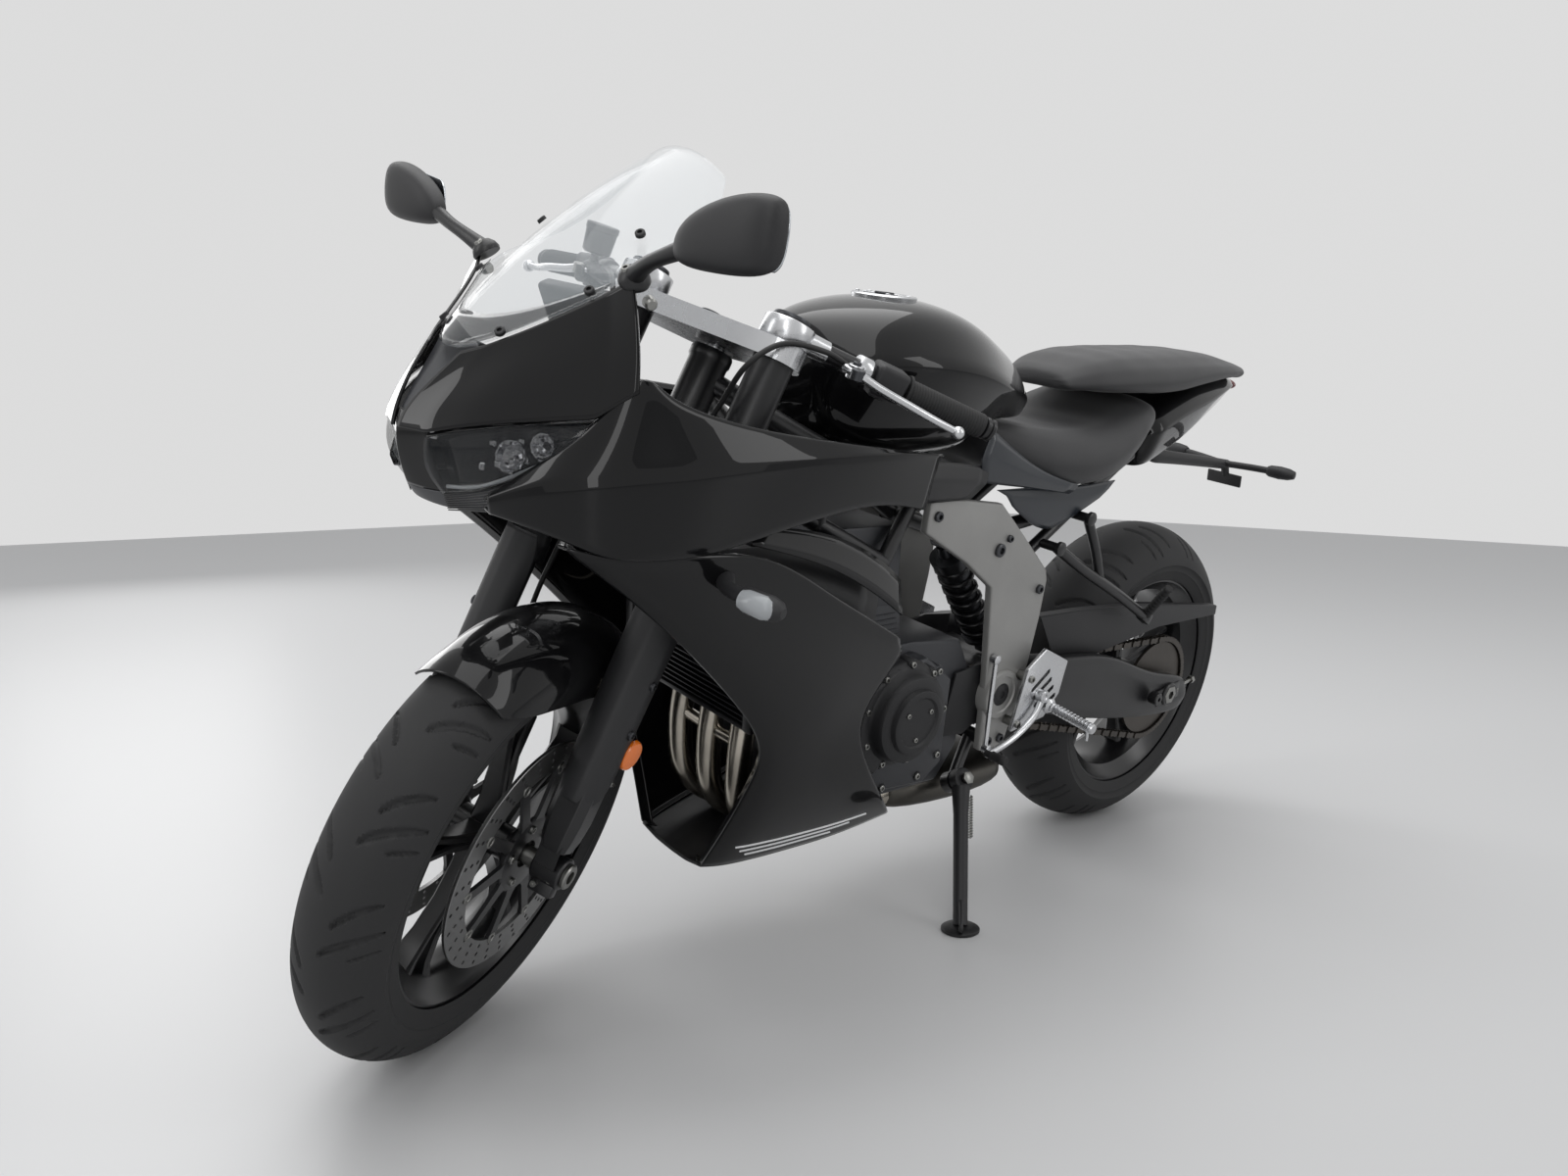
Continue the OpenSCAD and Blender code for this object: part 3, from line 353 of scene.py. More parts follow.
def srgb(text):
    """An sRGB hex value as the linear colour a shader takes."""
    c = [int(text[i:i + 2], 16) / 255 for i in (1, 3, 5)]
    return tuple(v / 12.92 if v <= 0.04045 else ((v + 0.055) / 1.055) ** 2.4 for v in c) + (1.0,)


def node(tree, kind, at=(0, 0), inputs=None, links=None, **settings):
    """Adds a node with its settings, socket values and incoming links."""
    n = tree.nodes.new(kind)
    n.location = at
    for key, value in settings.items():
        setattr(n, key, value)
    for key, value in (inputs or {}).items():
        n.inputs[key].default_value = value
    for key, source in (links or {}).items():
        tree.links.new(source, n.inputs[key])
    return n


def finish_material(name, colour, rough=0.5, metal=0.0, ior=1.5, coat=0.0, coat_rough=0.05, bump=0.0, grain_mm=1.0,
                    grain="noise", mottle=0.0, sheen=0.0, alpha=1.0, transmission=0.0, aniso=0.0, rough_var=0.0,
                        emit=0.0, spec=0.5, coat_ior=1.5):
    """A principled surface with a grain of a real size, a slight colour drift and uneven gloss."""
    m = bpy.data.materials.new(name)
    m.use_nodes = True
    t = m.node_tree
    t.nodes.clear()
    col = srgb(colour) if isinstance(colour, str) else tuple(colour) + (1.0,)
    p = node(t, "ShaderNodeBsdfPrincipled", (300, 0), {
        "Base Color": col, "Roughness": rough, "Metallic": metal, "IOR": ior, "Coat Weight": coat,
        "Coat Roughness": coat_rough, "Sheen Weight": sheen, "Alpha": alpha, "Transmission Weight": transmission,
        "Anisotropic": aniso, "Specular IOR Level": spec, "Coat IOR": coat_ior})
    node(t, "ShaderNodeOutputMaterial", (600, 0), links={"Surface": p.outputs["BSDF"]})
    if emit:
        p.inputs["Emission Color"].default_value = col
        p.inputs["Emission Strength"].default_value = emit
    where = node(t, "ShaderNodeTexCoord", (-900, 0)).outputs["Object"]
    if mottle or rough_var:
        cloud = node(t, "ShaderNodeTexNoise", (-600, 250), {"Scale": 14.0, "Detail": 5.0, "Roughness": 0.6},
            {"Vector": where})
        if mottle:
            dark = tuple(c * (1 - mottle) for c in col[:3]) + (1.0,)
            light = tuple(min(1, c * (1 + mottle)) for c in col[:3]) + (1.0,)
            ramp = node(t, "ShaderNodeValToRGB", (-300, 250), links={"Fac": cloud.outputs["Fac"]})
            ramp.color_ramp.elements[0].color = dark
            ramp.color_ramp.elements[0].position = 0.3
            ramp.color_ramp.elements[1].color = light
            ramp.color_ramp.elements[1].position = 0.7
            t.links.new(ramp.outputs["Color"], p.inputs["Base Color"])
        if rough_var:
            spread = node(t, "ShaderNodeMapRange", (-300, 0),
                {"To Min": max(0.0, rough - rough_var), "To Max": rough + rough_var},
                          {"Value": cloud.outputs["Fac"]})
            t.links.new(spread.outputs["Result"], p.inputs["Roughness"])
    if bump:
        scale = 1000.0 / grain_mm
        if grain == "cells":
            tex = node(t, "ShaderNodeTexVoronoi", (-600, -250), {"Scale": scale}, {"Vector": where},
                feature="DISTANCE_TO_EDGE")
            height = tex.outputs["Distance"]
        else:
            tex = node(t, "ShaderNodeTexNoise", (-600, -250), {"Scale": scale, "Detail": 3.0}, {"Vector": where})
            height = tex.outputs["Fac"]
        b = node(t, "ShaderNodeBump", (0, -250), {"Strength": bump, "Distance": grain_mm / 1000 * 0.4},
            {"Height": height})
        t.links.new(b.outputs["Normal"], p.inputs["Normal"])
    return m


def make_materials():
    """Every finish on the bike, named for what it is and how it was made."""
    paint = bpy.context.scene.bike_paint
    f = finish_material
    return {
        # two-pack gloss paint over moulded ABS: black base, hard mirror-like clear coat
        "gloss_paint": f("gloss_black_two_pack_paint", paint.body, rough=0.3, spec=0.05, coat=1.0, coat_rough=0.008,
            coat_ior=1.33),
        # injection-moulded polypropylene with a fine spark texture
        "moulded_black": f("moulded_black_polypropylene", "#1b1b1d", rough=0.55, bump=0.25, grain_mm=0.9,
            mottle=0.08),
        "satin_black": f("satin_black_abs", "#141416", rough=0.38, bump=0.08, grain_mm=1.2, rough_var=0.06),
        # powder coat over steel or alloy: slight orange peel
        "powder_black": f("powder_coated_black_steel", "#121214", rough=0.36, bump=0.12, grain_mm=1.6, rough_var=0.08,
            coat=0.15, coat_rough=0.3),
        "rim_black": f("powder_coated_black_alloy", "#0f0f11", rough=0.30, bump=0.06, grain_mm=1.5, rough_var=0.05,
            coat=0.2, coat_rough=0.25),
        # vulcanised tyre rubber, dull with a faint bloom
        "tyre_rubber": f("vulcanised_tyre_rubber", "#1f1f20", rough=0.72, bump=0.2, grain_mm=1.4, mottle=0.10,
            rough_var=0.08),
        "seat_vinyl": f("embossed_matt_vinyl", "#1d1d1f", rough=0.56, bump=0.35, grain_mm=1.5, grain="cells",
            mottle=0.05, sheen=0.15),
        "grip_rubber": f("moulded_grip_rubber", "#141415", rough=0.7, bump=0.2, grain_mm=1.0),
        # pressure die-cast alloy under warm grey satin paint
        "cast_grey": f("painted_die_cast_alloy", paint.casting, rough=0.42, metal=0.35, bump=0.12, grain_mm=2.2,
            mottle=0.05, rough_var=0.06),
        "engine_graphite": f("painted_graphite_casting", "#3a3b3e", rough=0.42, metal=0.45, bump=0.14, grain_mm=2.0,
            mottle=0.07, rough_var=0.07),
        "engine_dark": f("painted_black_casting", "#18181a", rough=0.5, metal=0.2, bump=0.15, grain_mm=2.0,
            mottle=0.08),
        "bright_alloy": f("anodised_forged_alloy", "#c9cacc", rough=0.27, metal=1.0, bump=0.05, grain_mm=1.2,
            rough_var=0.07),
        "dark_alloy": f("hard_anodised_alloy", "#4a4b4e", rough=0.35, metal=0.9, bump=0.05, grain_mm=1.2,
            rough_var=0.06),
        "chrome": f("chromed_steel", "#d8d9db", rough=0.08, metal=1.0),
        "zinc_steel": f("zinc_plated_steel", "#8f8f8c", rough=0.34, metal=1.0, rough_var=0.1, bump=0.05,
            grain_mm=1.5),
        # stainless tube, tinted straw-gold by heat
        "header_steel": f("heat_tinted_stainless_tube", "#b3ada2", rough=0.24, metal=1.0, mottle=0.22,
            rough_var=0.08),
        "brushed_dark": f("brushed_dark_stainless", "#55534f", rough=0.4, metal=1.0, mottle=0.08, rough_var=0.08),
        # ground brake steel: fine circular grinding lines, seen as uneven gloss
        "disc_steel": f("ground_brake_steel", "#8a8a8a", rough=0.32, metal=1.0, bump=0.12, grain_mm=0.8,
            rough_var=0.1),
        "chain_steel": f("oiled_chain_steel", "#4b4743", rough=0.38, metal=0.9, mottle=0.2, rough_var=0.1),
        "clear_screen": f("clear_acrylic_sheet", "#dfe6ea", rough=0.02, ior=1.49, alpha=0.16, coat=1.0,
            coat_rough=0.0),
        "smoke_screen": f("smoked_acrylic_sheet", "#20262a", rough=0.03, ior=1.49, alpha=0.55, coat=1.0,
            coat_rough=0.0),
        "lamp_glass": f("smoked_polycarbonate_lens", "#1b1e21", rough=0.02, ior=1.4, alpha=0.34, coat=0.4,
            coat_rough=0.0),
        "clear_lens": f("clear_polycarbonate_lens", "#cfd3d6", rough=0.04, ior=1.4, alpha=0.55, coat=0.5,
            coat_rough=0.0),
        "lamp_dark": f("dark_lamp_housing", "#0c0d0f", rough=0.2, coat=0.5),
        "amber": f("amber_reflector_acrylic", "#e8730c", rough=0.18, coat=1.0, coat_rough=0.02, bump=0.5,
            grain_mm=3.0, grain="cells"),
        "red_lens": f("red_acrylic_lens", "#5c0508", rough=0.12, coat=1.0),
        "white_decal": f("white_vinyl_decal", "#e9e9ea", rough=0.3, coat=0.6),
        "side_satin": f("satin_blue_black_abs", "#1a1f26", rough=0.30, coat=0.25, coat_rough=0.2, rough_var=0.05),
        "intake_mesh": f("moulded_matt_intake", "#3b3c3f", rough=0.5, bump=0.3, grain_mm=1.5),
        "mirror_glass": f("silvered_mirror_glass", "#c8ccd0", rough=0.01, metal=1.0),
        "screen_glass": f("display_cover_glass", "#050607", rough=0.05, coat=1.0),
        "rubber_hose": f("moulded_rubber_hose", "#0f0f10", rough=0.5, rough_var=0.06),
        "lamp_bar": f("opal_light_guide", "#d9dde0", rough=0.25, emit=0.15),
    }


MATS = {}

# the camera in the bike's own frame: metres for its place, unit vectors for its three axes
CAMERA_AT = Vector((2.104, 1.232, 1.053))
CAMERA_RIGHT = Vector((-0.74665, 0.65181, 0.13288))
CAMERA_UP = Vector((-0.0840, -0.2905, 0.9532))
CAMERA_BACK = Vector((0.65989, 0.70053, 0.27168))


def stage():
    """Pale floor, soft panels of light and the camera."""
    settings = bpy.context.scene.bike_stage
    cam = bpy.data.cameras.new("camera")
    cam.lens = settings.lens
    cam.sensor_width = 36.0
    cam.clip_start = 0.05
    eye = bpy.data.objects.new("camera", cam)
    bpy.context.scene.collection.objects.link(eye)
    at = BIKE @ CAMERA_AT
    right, up, back = (BIKE.to_3x3() @ v for v in (CAMERA_RIGHT, CAMERA_UP, CAMERA_BACK))
    eye.matrix_world = Matrix.Translation(at) @ Matrix((right, up, back)).transposed().to_4x4()
    bpy.context.scene.camera = eye

    bm = bmesh.new()
    bmesh.ops.create_grid(bm, x_segments=2, y_segments=2, size=9.0)
    mesh = bpy.data.meshes.new("floor")
    bm.to_mesh(mesh)
    bm.free()
    floor = bpy.data.objects.new("floor", mesh)
    bpy.context.scene.collection.objects.link(floor)
    mat = bpy.data.materials.new("pale_studio_floor")
    mat.use_nodes = True
    t = mat.node_tree
    p = t.nodes["Principled BSDF"]
    p.inputs["Base Color"].default_value = tuple(settings.floor_colour) + (1.0,)
    p.inputs["Roughness"].default_value = 0.42
    mesh.materials.append(mat)

    world = bpy.data.worlds.new("studio")
    bpy.context.scene.world = world
    world.use_nodes = True
    t = world.node_tree
    t.nodes.clear()
    lit = node(t, "ShaderNodeBackground", (0, 100), {"Color": (0.70, 0.71, 0.73, 1), "Strength": 0.62})
    seen = node(t, "ShaderNodeBackground", (0, -100), {"Color": (0.72, 0.72, 0.72, 1), "Strength": 1.0})
    rays = node(t, "ShaderNodeLightPath", (-500, 0))
    shown = rays.outputs["Is Camera Ray"]
    for i, ray in enumerate(("Is Glossy Ray", "Is Transmission Ray")):
        shown = node(t, "ShaderNodeMath", (-300 + 150 * i, 0), links={0: shown, 1: rays.outputs[ray]},
            operation="MAXIMUM").outputs[0]
    mix = node(t, "ShaderNodeMixShader", (250, 0), links={0: shown, 1: lit.outputs[0], 2: seen.outputs[0]})
    node(t, "ShaderNodeOutputWorld", (450, 0), links={"Surface": mix.outputs[0]})

    # long panels: x, y, z of the middle, width, length and power share, each aimed at the same point
    panels = [(0.2, 0.0, 4.6, 3.2, 6.0, 1.0), (3.6, 3.4, 2.6, 1.0, 4.2, 0.34), (4.2, -1.6, 2.8, 1.0, 3.4, 0.3),
              (-2.4, 4.2, 2.6, 1.2, 4.0, 0.34), (0.0, -4.4, 3.0, 1.4, 5.0, 0.4)]
    for i, (x, y, z, w, h, share) in enumerate(panels):
        light = bpy.data.lights.new(f"panel_{i}", "AREA")
        light.shape = "RECTANGLE"
        light.size = w
        light.size_y = h
        light.energy = settings.key_power * share * 2.3
        lamp = bpy.data.objects.new(f"panel_{i}", light)
        bpy.context.scene.collection.objects.link(lamp)
        aim = Vector((0.25, 0.05, 0.4)) - Vector((x, y, z))
        lamp.matrix_world = Matrix.Translation((x, y, z)) @ aim.to_track_quat("-Z", "Y").to_matrix().to_4x4()


class SPORTBIKE_OT_stage(bpy.types.Operator):
    """Set up the camera, floor and lights."""
    bl_idname = "sportbike.stage"
    bl_label = "Stage"

    def execute(self, context):
        stage()
        return {"FINISHED"}


class SPORTBIKE_OT_finishes(bpy.types.Operator):
    """Make the finishes and give one to every frame piece that shows."""
    bl_idname = "sportbike.finishes"
    bl_label = "Finishes"

    def execute(self, context):
        MATS.update(make_materials())
        by_slot = {"gloss_black": "gloss_paint", "tyre_rubber": "tyre_rubber", "seat_cover": "seat_vinyl",
            "grip_rubber": "grip_rubber",
                   "clear_screen": "clear_screen", "lamp_lens": "lamp_dark", "red_lens": "red_lens",
                       "stainless": "header_steel",
                   "disc_steel": "disc_steel", "cast_grey": "cast_grey", "bright_alloy": "bright_alloy",
                       "engine_grey": "engine_graphite",
                   "dark_steel": "chain_steel", "black_plastic": "moulded_black", "black_metal": "powder_black"}
        slots = {s["node"]: s["material_slot"] for s in frame["record"]["subparts"]}
        for name, obj in frame["nodes"].items():
            obj.data.materials.clear()
            obj.data.materials.append(MATS[by_slot[slots[name]]])
        return {"FINISHED"}


# ---------------------------------------------------------------- wheels

def tread_depth(u, v, turn):
    """How deep the tread is cut at u mm round and v mm across, for grooves that repeat every 1/turn of the way
    round."""
    depth = np.zeros_like(u)
    # columns: start u, start v, mid u, mid v, end u, end v (as parts of the pitch and of the half width),
    # half width mm
    grooves = [(0.02, 0.10, 0.20, 0.30, 0.30, 0.80, 4.2), (0.52, -0.10, 0.70, -0.30, 0.80, -0.80, 4.2),
               (0.30, 0.16, 0.50, 0.34, 0.58, 0.66, 3.4), (0.80, -0.16, 1.00, -0.34, 1.08, -0.66, 3.4),
               (0.02, 0.46, 0.07, 0.62, 0.10, 0.82, 2.6), (0.52, -0.46, 0.57, -0.62, 0.60, -0.82, 2.6)]
    pitch, half = turn
    for u0, v0, u1, v1, u2, v2, width in grooves:
        ts = np.linspace(0, 1, 14)
        pu = (1 - ts) ** 2 * u0 + 2 * ts * (1 - ts) * u1 + ts ** 2 * u2
        pv = (1 - ts) ** 2 * v0 + 2 * ts * (1 - ts) * v1 + ts ** 2 * v2
        taper = width * np.sqrt(np.clip(4 * ts * (1 - ts) + 0.25, 0, 1))
        for a in range(13):
            for shift in (-1, 0, 1):
                ax, ay = (pu[a] + shift) * pitch, pv[a] * half
                bx, by = (pu[a + 1] + shift) * pitch, pv[a + 1] * half
                t = np.clip(((u - ax) * (bx - ax) + (v - ay) * (by - ay)) / ((bx - ax) ** 2 + (by - ay) ** 2), 0, 1)
                d = np.hypot(u - ax - t * (bx - ax), v - ay - t * (by - ay))
                w = taper[a] + (taper[a + 1] - taper[a]) * t
                depth = np.maximum(depth, np.clip((w + 1.0 - d) / 2.0, 0, 1))
    return depth


def tyre(name, body, centre, r, crown, half_w, rim_w, pitches, turned_by):
    """A tyre spun from its section, with its grooves pressed into the tread."""
    settings = bpy.context.scene.bike_wheels
    bead, flange = 216, 13
    top = math.asin(min(half_w / crown, 1))
    tread = [(r - crown + crown * math.cos(a), crown * math.sin(a)) for a in np.linspace(-top, top, 61)]
    wall = [(bead + flange + 22, half_w * 0.985 if half_w < crown else half_w * 0.93),
            (bead + flange + 18, rim_w + 12.5),
            (bead + flange + 11, rim_w + 10), (bead + flange + 8, rim_w + 10.5), (bead + flange + 5, rim_w + 8),
            (bead + 4, rim_w + 6), (bead, rim_w + 3), (bead + 1, rim_w + 1.0), (bead + 17, rim_w - 1.5)]
    wall = [w for w in wall if w[0] < tread[-1][0] - 3]
    section = [(q, -y) for q, y in reversed(wall)] + tread + wall
    ring = [(q, y) for q, y in section] + [(r - 14, half_w * 0.25), (r - 14, -half_w * 0.25)]
    bm = bmesh.new()
    vs = [bm.verts.new(mm(q, y, 0)) for q, y in ring]
    es = [bm.edges.new(pair) for pair in zip(vs, vs[1:] + vs[:1])]
    steps = settings.around
    bmesh.ops.spin(bm, geom=vs + es, cent=(0, 0, 0), axis=(0, 1, 0), angle=math.tau, steps=steps, use_merge=True)
    bmesh.ops.remove_doubles(bm, verts=bm.verts, dist=1e-6)
    bmesh.ops.recalc_face_normals(bm, faces=bm.faces)
    co = np.array([v.co for v in bm.verts]) * 1000
    q, around = np.hypot(co[:, 0], co[:, 2]), np.arctan2(co[:, 2], co[:, 0])
    across = np.arctan2(co[:, 1], q - (r - crown)) * crown
    on_tread = np.abs(np.hypot(q - (r - crown), co[:, 1]) - crown) < 0.2
    pitch = math.tau * r / pitches
    depth = np.where(on_tread, tread_depth(np.mod(around * r * turned_by, pitch), across, (pitch, top * crown)), 0)
    shrink = 1 - depth * settings.groove_depth * 1000 / q
    for v, k, d in zip(bm.verts, shrink, depth):
        if d > 0:
            v.co = Vector((v.co.x * k, v.co.y * (1 - 0.02 * d), v.co.z * k))
    bmesh.ops.translate(bm, vec=centre, verts=bm.verts)
    piece(name, bm, "tyre_rubber", body, (body.split("_")[0] + "_tyre",), sharp=32, weld=False)


def wheel_rim(name, body, c, rim_w, hub_w, hub_r, node):
    """A cast wheel: barrel, hub and five forked spokes."""
    x, z = c.x * 1000, c.z * 1000
    bead, lip = 216, 229
    bm = bmesh.new()
    y_lathe(bm, x, z, [(-rim_w, bead - 4), (-rim_w, lip - 2), (-rim_w + 1.5, lip), (-rim_w + 5, lip - 1),
        (-rim_w + 7, bead), (-rim_w + 14, bead - 2),
                       (-rim_w + 26, bead - 16), (0, bead - 22), (rim_w - 26, bead - 16), (rim_w - 14, bead - 2),
                           (rim_w - 7, bead), (rim_w - 5, lip - 1),
                       (rim_w - 1.5, lip), (rim_w, lip - 2), (rim_w, bead - 4), (rim_w - 10, bead - 10),
                           (rim_w - 24, bead - 26), (12, bead - 31),
                       (-12, bead - 31), (-rim_w + 24, bead - 26), (-rim_w + 10, bead - 10), (-rim_w, bead - 4)], 160)
    y_lathe(bm, x, z, [(-hub_w, 12.6), (-hub_w, hub_r - 8), (-hub_w + 2, hub_r - 6), (-hub_w + 14, hub_r - 5),
        (-hub_w + 20, hub_r - 12), (0, hub_r - 12),
                       (hub_w - 20, hub_r - 12), (hub_w - 14, hub_r - 5), (hub_w - 2, hub_r - 6), (hub_w, hub_r - 8),
                           (hub_w, 12.6), (-hub_w, 12.6)], 64)
    for k in range(5):
        base = math.tau * k / 5 + 0.35
        for lean_by in (-1, 1):
            # columns: radius, angle off the spoke's line, half depth across, half thickness
            stations = [(hub_r - 12, 0.17, 21, 10), (hub_r + 16, 0.09, 16, 7.5), (96, 0.065, 13, 6),
                (140, 0.085, 13, 5.5), (172, 0.115, 16, 6), (bead - 27, 0.15, 21, 9)]
            loops = []
            for r, off, deep, thick in stations:
                a = base + lean_by * off
                along, side = Vector((math.cos(a), 0, math.sin(a))), Vector((-math.sin(a), 0, math.cos(a)))
                mid = Vector((x, 0, z)) + r * along
                loops.append([tuple(mid + side * thick * p + Vector((0, deep * q, 0))) for p, q in
                              ((1, -0.8), (1, 0.8), (0.5, 1), (-0.5, 1), (-1, 0.8), (-1, -0.8), (-0.5, -1),
                                  (0.5, -1))])
            join(bm, skin(loops, closed=True, caps=True))
    piece(name, bm, "rim_black", body, (node,), sharp=38)
    # wheel bearing seals and the valve
    trim = bmesh.new()
    for s in (-1, 1):
        y_lathe(trim, x, z, [(s * (hub_w - 1), 13), (s * (hub_w + 0.1), 14), (s * (hub_w + 0.1), 20),
            (s * (hub_w - 1), 21), (s * (hub_w - 1), 13)], 40)
    a = 0.35 + 0.62
    lathe(trim, Vector((x + (bead - 26) * math.cos(a), rim_w * 0.3, z + (bead - 26) * math.sin(a))) / 1000,
          (-math.cos(a), 0.25, -math.sin(a)), [(-8, 0), (-8, 4), (2, 4.5), (4, 3.2), (24, 3.0), (25, 3.6), (33, 3.6),
              (34, 0)], 14)
    piece(name + "_valve", trim, "zinc_steel", body, slot="bright_alloy")


def brake_disc(name, body, c, side, y, r, inner, hub_r, node, rows_of_holes, stands=True):
    """A drilled floating disc: ring, black carrier and bobbins."""
    settings = bpy.context.scene.bike_wheels
    x, z = c.x * 1000, c.z * 1000
    bm = bmesh.new()
    y_lathe(bm, x, z, [(y - 2.4, inner), (y - 2.4, r - 0.6), (y - 1.8, r), (y + 1.8, r), (y + 2.4, r - 0.6),
        (y + 2.4, inner), (y - 2.4, inner)], 160)
    ring = piece(name + "_ring", bm, "disc_steel", body, (node,) if stands else (), slot="disc_steel", sharp=35)
    holes = bmesh.new()
    n = settings.disc_holes
    for row in range(rows_of_holes):
        rr = inner + (r - inner) * (0.2 + 0.6 * row / (rows_of_holes - 1))
        for px, _, pz in ring_of(n, x, z, rr, y, start=row * 0.4 * math.tau / n + 0.1 * row):
            lathe(holes, mm(px, y - 6, pz), (0, 1, 0), [(0, 0), (0, 2.9), (12, 2.9), (12, 0)], 10)
    cut(ring, holes, body)
    carrier = bmesh.new()
    count = 10
    y_lathe(carrier, x, z, [(y - 3, 18.6), (y - 3, hub_r + 6), (y + 1.5, hub_r + 6), (y + 3, hub_r + 2),
        (y + 3, 18.6), (y - 3, 18.6)], 80)
    for k in range(count):
        a = math.tau * k / count
        t, n2 = Vector((math.cos(a), 0, math.sin(a))), Vector((-math.sin(a), 0, math.cos(a)))
        mid = Vector((x, y, z))
        corners = ((1, -1), (1, 1), (-1, 1), (-1, -1))
        loops = [[tuple(mid + t * q + n2 * w * p + Vector((0, 2.6 * o, 0))) for p, o in corners]
                 for q, w in ((hub_r - 2, 13), (hub_r + 10, 8), (inner - 12, 6.5), (inner + 1, 8.5))]
        join(carrier, skin(loops, closed=True, caps=True))
    piece(name + "_carrier", carrier, "powder_black", body, slot="black_metal")
    bobbins = bmesh.new()
    for px, _, pz in ring_of(count, x, z, inner + 0.5, y):
        lathe(bobbins, mm(px, y, pz), (0, side, 0), [(-3.4, 0), (-3.4, 7.6), (3.0, 7.6), (3.4, 7.0), (3.4, 4.6),
            (2.6, 4.2), (2.6, 0)], 20)
    for px, _, pz in ring_of(5, x, z, hub_r - 8, y, start=0.3):
        bolt(bobbins, (px, y + side * 3, pz), (0, side, 0), 5.5, 4)
    piece(name + "_bobbins", bobbins, "zinc_steel", body, slot="bright_alloy")


class SPORTBIKE_OT_wheels(bpy.types.Operator):
    """Tyres, rims and brake discs."""
    bl_idname = "sportbike.wheels"
    bl_label = "Wheels"

    def execute(self, context):
        tyre("front_tyre_tread", "front_wheel", FRONT_AXLE, 300, 60, 59.5, 46, 14, 1)
        tyre("rear_tyre_tread", "rear_wheel", REAR_AXLE, 315, 95, 90, 74, 14, 1)
        wheel_rim("front_wheel_casting", "front_wheel", FRONT_AXLE, 46, 58.4, 34, "front_rim")
        wheel_rim("rear_wheel_casting", "rear_wheel", REAR_AXLE, 74, 82, 46, "rear_rim")
        brake_disc("front_disc_left", "front_wheel", FRONT_AXLE, 1, 61, 155, 118, 46, "front_discs", 3)
        brake_disc("front_disc_right", "front_wheel", FRONT_AXLE, -1, -61, 155, 118, 46, "front_discs", 3,
            stands=False)
        brake_disc("rear_disc_plate", "rear_wheel", REAR_AXLE, -1, -84.6, 110, 74, 40, "rear_disc", 3)
        return {"FINISHED"}


# ---------------------------------------------------------------- bodywork

def nose():
    """The gloss nose either side of a satin V intake, its beak and the chin."""
    rows = [
        [(1553, 5, 815), (1541, 50, 817), (1514, 100, 835), (1469, 150, 849), (1425, 193, 860), (1393, 221, 893)],
        [(1549, 9, 834), (1531, 50, 846), (1497, 100, 868), (1452, 146, 890), (1410, 183, 911), (1389, 212, 928)],
        [(1530, 25, 866), (1506, 56, 882), (1470, 96, 907), (1430, 134, 932), (1399, 166, 954), (1383, 192, 968)],
        [(1501, 40, 903), (1483, 62, 914), (1450, 94, 937), (1414, 124, 965), (1391, 148, 986), (1376, 168, 1004)]]
    for side, tag in ((1, "left"), (-1, "right")):
        bm = skin(side_of(rows, side), crease_cols=(1, 4), amount=0.6)
        piece(f"nose_panel_{tag}", bm, "gloss_paint", "frame", ("nose_cowl",) if side > 0 else (), slot="gloss_black",
            sub=3, wall=0.004,
              wall_side=1.0, weld=False)
    beak = [whole([(1550, 0, 836), (1548, 9, 834), (1540, 46, 818)]),
        whole([(1556, 0, 812), (1553, 10, 811), (1539, 47, 806)]),
            whole([(1549, 0, 776), (1545, 10, 775), (1527, 46, 772)]),
                whole([(1538, 0, 751), (1534, 12, 750), (1515, 48, 748)])]
    piece("nose_beak", skin(beak, crease_cols=(2,), amount=0.7), "gloss_paint", "frame", slot="gloss_black", sub=3,
        wall=0.004, weld=False)
    intake = [whole([(1546, 0, 832), (1545, 9, 833)]), whole([(1520, 0, 846), (1524, 25, 862)]),
        whole([(1492, 0, 868), (1495, 40, 898)]),
              whole([(1476, 0, 888), (1478, 62, 910)]), whole([(1462, 0, 905), (1450, 94, 932)])]
    piece("nose_intake", skin(intake, crease_cols=(1,), amount=0.8), "intake_mesh", "frame", slot="black_plastic",
        sub=2, wall=0.003, weld=False)
    chin = [[(1540, 0, 748.5), (1518, 48, 749), (1500, 96, 760.5), (1478, 126, 779)],
            [(1537, 0, 743), (1516, 48, 744), (1499, 96, 753), (1481, 127, 767)],
            [(1528, 0, 735), (1510, 48, 731), (1496, 96, 741), (1486, 128, 746)],
            [(1506, 0, 733), (1490, 46, 731), (1478, 92, 739), (1470, 120, 745)]]
    piece("chin_strip", skin([whole(r) for r in chin], crease_rows=(0, 2), amount=0.9), "intake_mesh", "frame",
        ("chin_cowl",), sub=2, wall=0.003, weld=False)
    ribs = bmesh.new()
    for k in range(9):
        t = k / 8
        a = [Vector(p).lerp(Vector(q), t) for p, q in zip(chin[0], chin[2])]
        tube(ribs, [tuple(Vector(v) + Vector((1.2, 0.6, 0))) for v in a[1:]], 0.8, sides=1)
    mirror_y(ribs)
    piece("chin_ribs", ribs, "satin_black", "frame", slot="black_plastic")


